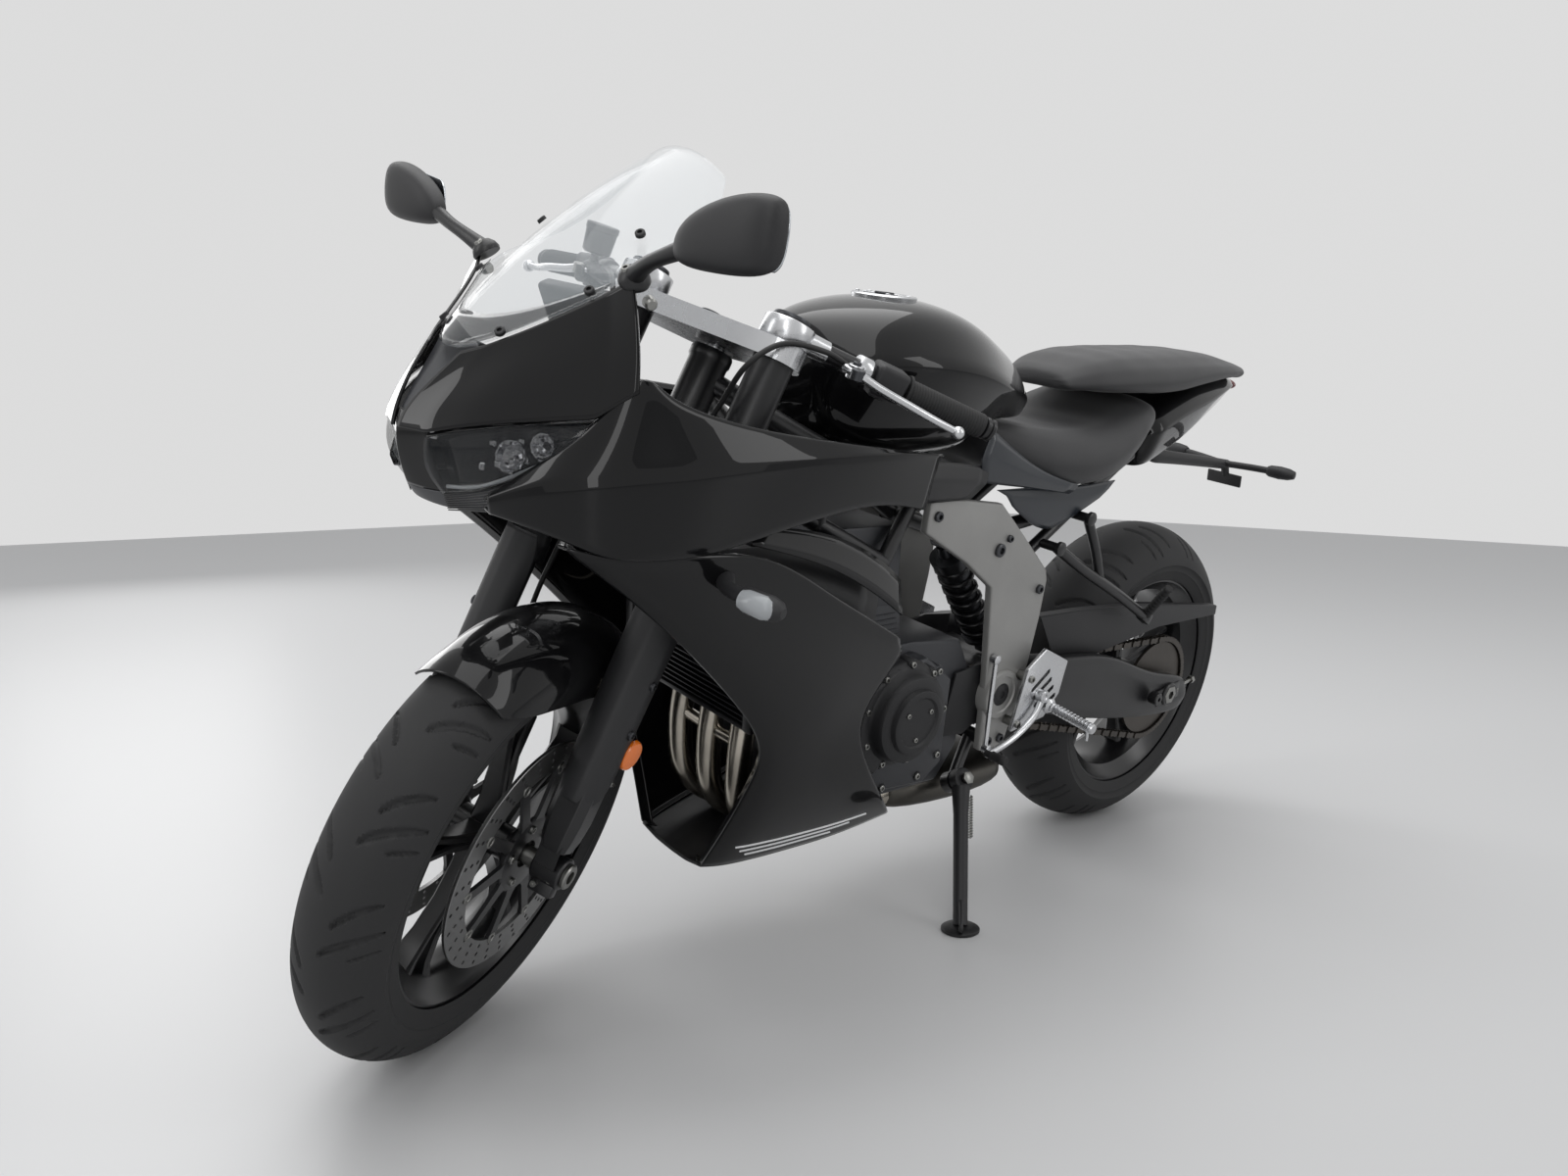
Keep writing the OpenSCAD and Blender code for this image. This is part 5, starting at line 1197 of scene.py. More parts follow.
    lathe(cup, (root + Vector((-3, 2, 22))) / 1000, (-0.1, 0, 1),
        [(0, 0), (0, 15), (3, 19), (30, 21), (31, 22), (38, 22), (39, 20), (39, 0)], 36)
    piece("brake_fluid_cup", cup, "satin_black", "steering", slot="black_plastic")
    master = bmesh.new()
    lathe(master, (root + Vector((6, 16, 4))) / 1000, (0.25, 1, 0),
        [(-22, 0), (-22, 8), (-18, 10), (16, 10), (20, 7), (30, 7), (30, 0)], 24)
    tube(master, [tuple(root + Vector((0, 2, 6))), tuple(root + Vector((-3, 2, 24)))], 6, smooth=False)
    piece("brake_master_cylinder", master, "satin_black", "steering", slot="black_metal")
    top = bmesh.new()
    lathe(top, STEER_P + 0.713 * UP_S, UP_S, [(0, 0), (0, 17), (2, 19), (8, 19), (9, 17), (9, 10), (6, 9), (6, 0)],
        36)
    for side in (-1, 1):
        for k in (-1, 1):
            bolt(top, fork(706, side * (103 - 40), -30 + 8 * k), UP_S, 4.5, 5)
    lathe(top, fork(713, 0, -2) / 1000, UP_S, [(0, 0), (0, 15), (6, 15), (7, 13), (7, 4), (4, 4), (4, 0)], 30)
    piece("top_yoke_fittings", top, "dark_alloy", "steering", slot="bright_alloy")


def mirrors():
    # columns: y, half depth, half height, middle x, middle z
    stations = [(258, 8, 7, 1388, 1042), (266, 15, 15, 1389, 1045), (284, 22, 25, 1390, 1050),
        (312, 25, 32, 1391, 1056), (346, 26, 37, 1391, 1061),
                (378, 25, 38, 1390, 1064), (398, 21, 34, 1388, 1066), (408, 12, 24, 1386, 1068)]
    for side, tag in ((1, "left"), (-1, "right")):
        loops = []
        for y, rx, rz, cx, cz in stations:
            loop = []
            for t in np.linspace(0, math.tau, 16, endpoint=False):
                c, sn = math.cos(t), math.sin(t)
                dx = rx * math.copysign(abs(c) ** 0.7, c)
                dz = rz * math.copysign(abs(sn) ** 0.7, sn)
                loop.append((cx + (dx if dx > 0 else dx * 0.55), side * y, cz + dz))
            loops.append(loop)
        piece(f"mirror_shell_{tag}", skin(loops, closed=True, caps=True), "moulded_black", "frame",
            (f"mirror_{tag}",), sub=2, weld=False)
        face = [[(1374.5, side * (y0 + (y1 - y0) * f), 1060 + 31 * h * (1 - 0.25 * (1 - f)) + 4 * f) for f in (0,
            0.08, 0.5, 0.92, 1)] for h, y0, y1 in
                ((-1, 300, 385), (-0.8, 288, 396), (0, 284, 400), (0.8, 290, 398), (1, 302, 388))]
        piece(f"mirror_glass_{tag}", skin(face), "mirror_glass", "frame", slot="black_plastic", sub=2, wall=0.002,
            weld=False)
        arm = bmesh.new()
        tube(arm, [(1377, side * 168, 1008), (1386, side * 196, 1020), (1392, side * 235, 1032),
            (1391, side * 268, 1042)], 9, radii=[1.25, 0.95, 0.9, 1.1], sides=5)
        lathe(arm, mm(1374, side * 164, 1004), (0.35, side * 0.5, 0.8),
            [(-4, 0), (-4, 17), (0, 18), (6, 16), (12, 11), (12, 0)], 28)
        piece(f"mirror_arm_{tag}", arm, "satin_black", "frame", slot="black_plastic")
        screws = bmesh.new()
        bolt(screws, (1384, side * 163, 1012), (0.6, side * 0.2, 0.8), 5.5, 5)
        lathe(screws, mm(1362, side * 176, 984), (0.2, side * 0.9, -0.3), [(0, 0), (0, 7), (10, 7), (12, 5), (12, 0)],
            20)
        piece(f"mirror_screws_{tag}", screws, "zinc_steel", "frame", slot="black_plastic")


def cockpit():
    bm = bmesh.new()
    turn = Matrix.Rotation(math.radians(25), 3, "Y")
    mid = Vector((1330, 0, 950)) + turn @ Vector((0, 0, -9))
    block(bm, tuple(mid), (20, 150, 88), turn, 6, 3)
    tube(bm, [(1258, 0, 862), (1290, 0, 852), (1330, 0, 842), (1396, 0, 842)], 10)
    tube(bm, [(1330, 0, 842), (1312, 0, 925)], 9, smooth=False)
    piece("instrument_case", bm, "moulded_black", "frame", ("instrument_panel",), slot="black_plastic")
    glass = bmesh.new()
    block(glass, tuple(mid + turn @ Vector((-10, 0, 0))), (2, 126, 72), turn, 0.8)
    piece("instrument_display", glass, "screen_glass", "frame", slot="black_plastic")


class SPORTBIKE_OT_front_end(bpy.types.Operator):
    """Fork, front brakes, mudguard, bars, mirrors and instruments."""
    bl_idname = "sportbike.front_end"
    bl_label = "Front end"

    def execute(self, context):
        mudguard()
        forks()
        front_brakes()
        axle_ends()
        bars()
        mirrors()
        cockpit()
        return {"FINISHED"}


# ---------------------------------------------------------------- tank, seats and tail

# columns: x, top z, then y and z of the crown's edge, the shoulder, the widest line, the knee cut and the foot
TANK = [
    (1004, 962, 24, 956, 46, 944, 66, 915, 70, 880, 66, 852),
        (985, 976, 34, 972, 68, 958, 104, 920, 98, 872, 84, 812),
    (950, 992, 44, 988, 90, 974, 134, 930, 118, 862, 94, 788),
        (890, 1008, 52, 1004, 104, 988, 154, 932, 128, 855, 96, 786),
    (820, 1015, 56, 1011, 110, 995, 162, 930, 130, 852, 96, 786),
        (750, 1012, 56, 1007, 108, 990, 158, 924, 124, 850, 94, 788),
    (690, 998, 52, 993, 100, 975, 146, 910, 112, 846, 88, 796),
        (640, 978, 46, 973, 88, 956, 130, 896, 98, 860, 84, 844),
    (580, 952, 38, 948, 72, 934, 102, 886, 84, 858, 76, 844), (530, 922, 28, 918, 52, 906, 70, 876, 62, 856, 56, 844),
    (496, 890, 16, 887, 30, 880, 38, 866, 34, 854, 30, 846)]


def loop_of(r):
    """A closed section from a table row of x, top z and pairs of y and z."""
    half = [(r[0], r[k], r[k + 1]) for k in range(2, len(r), 2)]
    return [(r[0], 0, r[1])] + half + [(r[0], 0, r[-1])] + [(x, -y, z) for x, y, z in reversed(half)]


def tank():
    bm = skin([loop_of(r) for r in TANK], crease_cols=(3, 9), closed=True, caps=True, amount=0.45)
    piece("fuel_tank_shell", bm, "gloss_paint", "frame", ("fuel_tank",), sub=3, weld=False)
    ring = bmesh.new()
    lathe(ring, mm(826, 0, 1008), (0.03, 0, 1), [(-6, 30), (-6, 47), (4, 49), (6, 47), (6.5, 42), (5.5, 33), (3, 30),
        (-6, 30)], 64)
    for px, _, pz in ring_of(7, 0, 0, 40, 0):
        bolt(ring, (826 + px, pz, 1013.5), (0.03, 0, 1), 3.6, 2.2, 12)
    piece("filler_ring", ring, "bright_alloy", "frame", ("fuel_cap",), slot="bright_alloy")
    cap = bmesh.new()
    lathe(cap, mm(826, 0, 1008), (0.03, 0, 1), [(-6, 0), (-6, 29), (3, 29), (5, 27), (6, 16), (6.5, 0)], 48)
    block(cap, (826, 0, 1015), (30, 13, 3.5), None, 1.5)
    piece("filler_cap", cap, "dark_alloy", "frame", slot="bright_alloy")


# columns: x, top z, then y and z of the crown's edge, the seam, the widest line, the skirt and the foot
RIDER_SEAT = [
    (636, 846, 34, 846, 54, 842, 66, 828, 68, 806, 60, 794),
        (600, 841, 50, 841, 80, 838, 100, 818, 100, 786, 90, 772),
        (545, 836, 62, 836, 104, 832, 126, 806, 124, 768, 112, 756),
    (480, 833, 68, 833, 116, 829, 142, 800, 140, 762, 126, 750),
        (410, 834, 70, 834, 120, 831, 150, 804, 148, 766, 132, 752),
        (345, 846, 70, 846, 118, 843, 148, 818, 146, 784, 130, 764),
    (295, 864, 68, 864, 112, 861, 140, 842, 138, 808, 124, 788),
        (255, 882, 64, 881, 104, 877, 130, 862, 128, 834, 114, 812),
        (226, 892, 56, 890, 92, 885, 114, 876, 112, 852, 102, 836)]
PILLION = [
    (430, 914, 24, 913, 42, 909, 58, 903, 58, 899, 48, 897), (395, 936, 40, 935, 66, 928, 84, 912, 84, 903, 74, 898),
        (340, 952, 50, 950, 80, 942, 104, 920, 104, 906, 94, 899),
    (260, 962, 56, 960, 88, 950, 114, 928, 114, 910, 104, 902),
        (160, 968, 58, 966, 90, 956, 116, 934, 116, 918, 106, 906),
        (60, 973, 56, 971, 86, 961, 110, 944, 108, 930, 98, 920),
    (-40, 973, 50, 970, 76, 962, 96, 950, 94, 940, 84, 932), (-120, 964, 40, 962, 60, 957, 76, 950, 74, 943, 66, 937),
        (-168, 950, 26, 949, 42, 947, 54, 945, 52, 942, 44, 940)]


def padded_body(name, table, node_name, seam_at):
    """An upholstered seat: crowned top, tucked skirt, with piping along the seam."""
    bm = skin([loop_of(r) for r in table], closed=True, caps=True)
    bmesh.ops.subdivide_edges(bm, edges=bm.edges[:], cuts=3, use_grid_fill=True, smooth=0.7)
    bmesh.ops.smooth_vert(bm, verts=bm.verts, factor=0.5, use_axis_x=True, use_axis_y=True, use_axis_z=True)
    # padding swells between the seam and the middle
    top = max(v.co.z for v in bm.verts)
    for v in bm.verts:
        across = abs(v.co.y)
        v.co.z += 0.0012 * math.sin(v.co.x * 90) * max(0.0, 1 - across / 0.12) * (v.co.z / top)
    obj = piece(name, bm, "seat_vinyl", "frame", (node_name,), sub=1, weld=False)
    seam = bmesh.new()
    for side in (-1, 1):
        line = [(r[0], side * (r[seam_at] + r[seam_at - 2]) * 0.5,
            (r[seam_at + 1] + r[seam_at - 1]) * 0.5 + 0.2) for r in table[1:-1]]
        tube(seam, path(*line, n=4), 1.5, sides=2)
    piece(name + "_piping", seam, "seat_vinyl", "frame", slot="seat_cover")
    return obj


def seats():
    padded_body("rider_seat_pad", RIDER_SEAT, "rider_seat", 6)
    padded_body("pillion_pad", PILLION, "pillion_seat", 6)


# columns as the tank's
TAIL = [
    (212, 858, 60, 858, 96, 848, 118, 826, 106, 778, 92, 752),
        (150, 884, 66, 882, 94, 866, 108, 846, 92, 792, 80, 764),
        (90, 902, 64, 900, 86, 884, 100, 866, 80, 806, 68, 780),
    (30, 920, 58, 918, 78, 902, 92, 880, 68, 820, 58, 798), (-40, 930, 50, 928, 68, 914, 82, 896, 54, 846, 46, 826),
        (-110, 935, 40, 933, 54, 924, 66, 912, 44, 880, 36, 862),
    (-184, 934, 24, 933, 32, 930, 40, 924, 32, 908, 26, 902)]


def tail():
    piece("tail_shell", skin([loop_of(r) for r in TAIL], crease_cols=(3, 9), closed=True, caps=True, amount=0.7),
        "gloss_paint", "frame", ("tail_cowl",), sub=3, weld=False)
    lens = skin([[(x, r * 36 * math.cos(t), 916 + r * 13 * math.sin(t)) for t in np.linspace(0, math.tau, 20,
        endpoint=False)] for x, r in
                 ((-180, 0.9), (-187, 1.0), (-196, 0.92), (-201, 0.72), (-202, 0.3))], closed=True, caps=True)
    piece("tail_light_lens", lens, "red_lens", "frame", ("tail_light",), sub=1, weld=False)
    for side, tag in ((1, "left"), (-1, "right")):
        rows = [[(634, 119, 744), (560, 121, 746), (470, 122, 748), (390, 121, 746), (312, 119, 752)],
            [(612, 123, 735), (550, 125, 728), (470, 125, 718), (400, 124, 716), (330, 121, 738)],
                [(590, 121, 716), (548, 124, 690), (492, 124, 668), (430, 123, 690), (352, 120, 722)]]
        bm = skin(side_of(rows, side), crease_rows=(1,), amount=0.6)
        piece(f"side_cover_{tag}", bm, "side_satin", "frame", ("seat_side_covers",) if side > 0 else (),
            slot="black_plastic", sub=2, wall=0.003, wall_side=0.0, weld=False)
        # upper cover, between tank and seat
        rows = [[(700, 142, 842), (640, 140, 812), (560, 142, 775), (450, 140, 752)],
            [(720, 146, 800), (640, 146, 782), (560, 144, 762), (460, 141, 744)],
                [(700, 138, 762), (640, 140, 756), (570, 140, 750), (470, 138, 738)]]
        piece(f"seat_fairing_{tag}", skin(side_of(rows, side), crease_rows=(1,), amount=0.6), "side_satin", "frame",
            slot="black_plastic", sub=2, wall=0.003, wall_side=0.0, weld=False)
        tank_side = [[(1010, 140, 800), (900, 146, 800), (800, 146, 798), (690, 140, 786)],
            [(1008, 150, 776), (900, 156, 772), (800, 154, 768), (700, 146, 762)],
                     [(1000, 140, 744), (900, 144, 738), (805, 142, 735), (720, 138, 738)]]
        piece(f"tank_side_cover_{tag}", skin(side_of(tank_side, side), crease_rows=(1,), amount=0.6), "satin_black",
            "frame", slot="black_plastic", sub=2, wall=0.003, wall_side=0.0, weld=False)
    holder = bmesh.new()
    tube(holder, [(30, 0, 790), (24, 0, 768), (-60, 0, 762), (-200, 0, 752), (-296, 0, 744)], 13,
        radii=[1.1, 1.2, 1, 0.9, 0.8])
    tube(holder, [(-288, 0, 746), (-296, 0, 734), (-302, 0, 722)], 8)
    block(holder, (-301, 0, 714), (5, 78, 26), Matrix.Rotation(math.radians(12), 3, "Y"), 2)
    for side in (-1, 1):
        tube(holder, [(-280, side * 4, 747), (-290, side * 60, 751), (-292, side * 98, 752)], 7)
    piece("plate_bracket", holder, "moulded_black", "frame", ("plate_holder",), slot="black_plastic")
    ends = bmesh.new()
    for side in (-1, 1):
        lathe(ends, mm(-292, side * 94, 752), (-0.12, side, 0.02),
            [(0, 0), (0, 9), (6, 12), (26, 13.5), (44, 12), (56, 8), (58, 0)], 24)
    piece("rear_indicator_shells", ends, "moulded_black", "frame", slot="black_plastic")
    lenses = bmesh.new()
    for side in (-1, 1):
        block(lenses, (-310, side * 124, 753), (6, 38, 13), Matrix.Rotation(side * 0.1, 3, "Z"), 2.5)
    piece("rear_indicator_lenses", lenses, "lamp_dark", "frame", slot="black_plastic")


class SPORTBIKE_OT_tank_and_seats(bpy.types.Operator):
    """Fuel tank, seats, tail and plate holder."""
    bl_idname = "sportbike.tank_and_seats"
    bl_label = "Tank and seats"

    def execute(self, context):
        tank()
        seats()
        tail()
        return {"FINISHED"}


# ---------------------------------------------------------------- engine, frame and running gear

PLATE_EDGE = [(800, 732), (789, 741), (631, 725), (593, 696), (542, 656), (481, 607), (474, 589), (474, 525),
    (480, 447), (488, 380), (500, 330),
              (509, 293), (570, 294), (578, 358), (589, 432), (606, 519), (620, 587), (693, 633), (800, 686)]
COVER = (826, 418)
PIVOT = (545, 395)


def sided(bm, outline, y0, y1, side, ease=1.5, segments=2):
    a, b = sorted((side * y0, side * y1))
    plate(bm, outline, a, b, ease, segments)


def engine():
    case = bmesh.new()
    plate(case, [(606, 304), (644, 246), (926, 246), (980, 332), (956, 468), (936, 496), (760, 506), (644, 496),
        (606, 438)], -110, 110, 6)
    plate(case, [(764, 480), (956, 470), (984, 560), (900, 580), (780, 566)], -90, 90, 4)
    plate(case, [(788, 560), (984, 566), (998, 640), (940, 690), (804, 690)], -91, 91, 5)
    for k in range(5):
        plate(case, [(774 + k * 4, 512 + k * 9), (972 + k * 3, 506 + k * 9), (974 + k * 3, 509 + k * 9),
            (775 + k * 4, 515 + k * 9)], -91.5, 91.5, 0.8, 1)
    plate(case, [(760, 240), (900, 240), (880, 204), (780, 204)], -70, 60, 6)
    piece("engine_case", case, "engine_graphite", "frame", ("engine_block",), slot="engine_grey")
    for side, tag in ((1, "left"), (-1, "right")):
        flank = bmesh.new()
        sided(flank, [(684, 302), (722, 274), (898, 284), (926, 360), (888, 466), (760, 492), (694, 448)], 108, 146,
            side, 6, 3)
        for px, pz in ((700, 320), (740, 290), (820, 286), (890, 300), (916, 356), (900, 420), (870, 464), (800, 480),
            (730, 466), (704, 400)):
            lathe(flank, mm(px, side * 108, pz), (0, side, 0), [(0, 0), (0, 11), (36, 9.5), (38, 8.5), (38, 0)], 16)
        piece(f"engine_flank_{tag}", flank, "engine_graphite", "frame", slot="engine_grey")
        studs = bmesh.new()
        for px, pz in ((700, 320), (740, 290), (820, 286), (890, 300), (916, 356), (900, 420), (870, 464), (800, 480),
            (730, 466), (704, 400)):
            bolt(studs, (px, side * 146, pz), (0, side, 0), 5.4, 4)
        for px, pz in ((830, 604), (930, 604), (880, 656), (960, 640)):
            bolt(studs, (px, side * 90, pz), (0, side, 0), 6, 5)
        piece(f"engine_bolts_{tag}", studs, "zinc_steel", "frame", slot="engine_grey")
    cover = bmesh.new()
    y_lathe(cover, *COVER, [(148.3, 0), (148.3, 80), (150, 84), (160, 84), (166, 82), (171, 76), (176, 71), (186, 70),
        (192, 67), (195, 60), (196, 52), (203, 50), (204, 48), (204, 40), (201, 37), (201, 0)], 72)
    sided(cover, [(902, 468), (922, 400), (908, 347), (870, 329), (806, 400), (847, 496)], 148.3, 172, 1, 5, 3)
    for k in range(9):
        a = math.radians(40 * k + 12)
        lathe(cover, mm(COVER[0] + 80 * math.cos(a), 148.3, COVER[1] + 80 * math.sin(a)), (0, 1, 0),
            [(0, 0), (0, 9), (20, 8.5), (22, 7), (22, 0)], 16)
    piece("alternator_cover", cover, "engine_dark", "frame", ("engine_cover_left",), slot="engine_grey")
    screws = bmesh.new()
    for k in range(9):
        a = math.radians(40 * k + 12)
        bolt(screws, (COVER[0] + 80 * math.cos(a), 169, COVER[1] + 80 * math.sin(a)), (0, 1, 0), 5.2, 4.5)
    for k in range(3):
        a = math.radians(120 * k + 30)
        bolt(screws, (COVER[0] + 28 * math.cos(a), 200.5, COVER[1] + 28 * math.sin(a)), (0, 1, 0), 4, 3)
    piece("alternator_cover_screws", screws, "zinc_steel", "frame", slot="engine_grey")
    clutch = bmesh.new()
    y_lathe(clutch, COVER[0] - 70, COVER[1] - 8, [(-148.3, 0), (-148.3, 84), (-150, 88), (-168, 88), (-176, 84),
        (-179, 74), (-180, 62), (-188, 60), (-192, 54), (-192, 30), (-190, 27), (-190, 0)], 72)
    for k in range(9):
        a = math.radians(40 * k)
        lathe(clutch, mm(COVER[0] - 70 + 82 * math.cos(a), -148.3, COVER[1] - 8 + 82 * math.sin(a)), (0, -1, 0),
            [(0, 0), (0, 8), (28, 7), (28, 0)], 16)
    piece("clutch_cover", clutch, "engine_dark", "frame", ("engine_cover_right",), slot="engine_grey")
    screws = bmesh.new()
    for k in range(9):
        a = math.radians(40 * k)
        bolt(screws, (COVER[0] - 70 + 82 * math.cos(a), -175, COVER[1] - 8 + 82 * math.sin(a)), (0, -1, 0), 5, 5)
    piece("clutch_cover_screws", screws, "zinc_steel", "frame", slot="engine_grey")


def frame_and_plates():
    for side, tag in ((1, "left"), (-1, "right")):
        cast = bmesh.new()
        sided(cast, PLATE_EDGE, 118, 134, side, 4, 3)
        piece(f"side_casting_{tag}", cast, "cast_grey", "frame", (f"side_plate_{tag}",), slot="cast_grey", sharp=50)
        raised = bmesh.new()
        lathe(raised, mm(PIVOT[0], 0, PIVOT[1]), (0, side, 0),
            [(118, 20), (118, 43), (137, 43), (140, 41), (140, 33), (137.5, 31), (137.5, 20), (118, 20)], 64)
        piece(f"pivot_ring_{tag}", raised, "cast_grey", "frame", slot="cast_grey")
        hole = bmesh.new()
        lathe(hole, mm(PIVOT[0], side * 112, PIVOT[1]), (0, side, 0),
            [(0, 0), (0, 20.2), (24, 20.2), (26, 17), (27, 12), (27, 7), (22, 7), (22, 0)], 6)
        lathe(hole, mm(PIVOT[0], side * 100, PIVOT[1]), (0, side, 0),
            [(0, 0), (0, 19.8), (36.5, 19.8), (37.5, 19), (37.5, 0)], 40)
        piece(f"pivot_nut_{tag}", hole, "engine_dark", "frame", slot="engine_grey")
        fasteners = bmesh.new()
        for px, pz, r in ((620, 650, 11), (782, 712, 8), (524, 312, 8), (556, 312, 8), (494, 575, 8), (500, 424, 8),
            (600, 668, 6)):
            bolt(fasteners, (px, side * 134, pz), (0, side, 0), r, 6, 20)
        piece(f"side_casting_bolts_{tag}", fasteners, "dark_alloy", "frame", slot="engine_grey")
    bm = bmesh.new()
    low = STEER_P * 1000 + 540 * UP_S
    lathe(bm, low / 1000, UP_S, [(0, 14.6), (0, 27), (4, 29), (14, 29), (18, 27), (126, 27), (130, 29), (140, 29),
        (144, 27), (144, 14.6), (0, 14.6)], 40)
    start = STEER_P * 1000 + 523 * UP_S
    for side in (-1, 1):
        tube(bm, path(tuple(start + 118 * UP_S + Vector((-10, side * 12, 0))), (985, side * 117, 797),
            (800, side * 102.4, 745), (620, side * 100, 650), n=5), 15, sides=6)
        tube(bm, path(tuple(start + 26 * UP_S + Vector((-10, side * 12, 0))), (1000, side * 106, 705),
            (860, side * 110, 640), n=5), 12, sides=6)
        tube(bm, [(1000, side * 106, 700), (985, side * 117, 797)], 11, smooth=False, sides=6)
        tube(bm, [(860, side * 110, 640), (800, side * 102.4, 745)], 11.3, smooth=False, sides=6)
        lathe(bm, mm(620, side * 100, 650), (0, side, 0), [(0, 0), (0, 15), (17.6, 15), (17.6, 0)], 28)
        lathe(bm, mm(860, side * 92.3, 640), (0, side, 0), [(0, 0), (0, 16), (3, 16), (5, 11), (18, 11), (18, 0)], 24)
    for x, w, z, r in ((620, 100, 650, 14), (900, 110, 774, 10), (545, 117.6, 306, 12)):
        tube(bm, [(x, -w, z), (x, w, z)], r, smooth=False, sides=6)
    pivot = Vector((598, 128, 246))
    axis = Vector((0.11, 0.80, 0.54)).normalized()
    lathe(bm, (pivot - 34 * axis) / 1000, axis, [(0, 0), (0, 18), (19, 18), (19, 0)], 28)
    tube(bm, [tuple(pivot - 26 * axis), (545, 88, 306)], 10, smooth=False, sides=5)
    piece("frame_tubes", bm, "powder_black", "frame", ("main_frame",), slot="black_metal")
    rear = bmesh.new()
    for side in (-1, 1):
        tube(rear, path((590, side * 92.4, 672), (420, side * 96, 705), (228, side * 84, 790), n=5), 12, sides=6)
        tube(rear, [(500, side * 92, 618), (262, side * 90, 776)], 10, smooth=False, sides=6)
        tube(rear, [(420, side * 96, 700), (420, side * 96, 747)], 9, smooth=False)
        for x, z, r in ((500, 618, 12), (570, 664, 9)):
            lathe(rear, mm(x, side * 86, z), (0, side, 0), [(0, 0), (0, r), (31.6, r), (31.6, 0)], 24)
    tube(rear, [(228, -84, 790), (228, 84, 790)], 12, smooth=False, sides=6)
    piece("subframe_tubes", rear, "powder_black", "frame", ("rear_subframe",), slot="black_metal")
    pin = bmesh.new()
    lathe(pin, (pivot - 32 * axis) / 1000, axis, [(0, 0), (0, 6), (47, 6), (47, 10), (48.5, 11), (53, 11), (54, 9.5),
        (54, 0)], 6)
    piece("stand_bolt_head", pin, "zinc_steel", "frame", slot="black_metal")


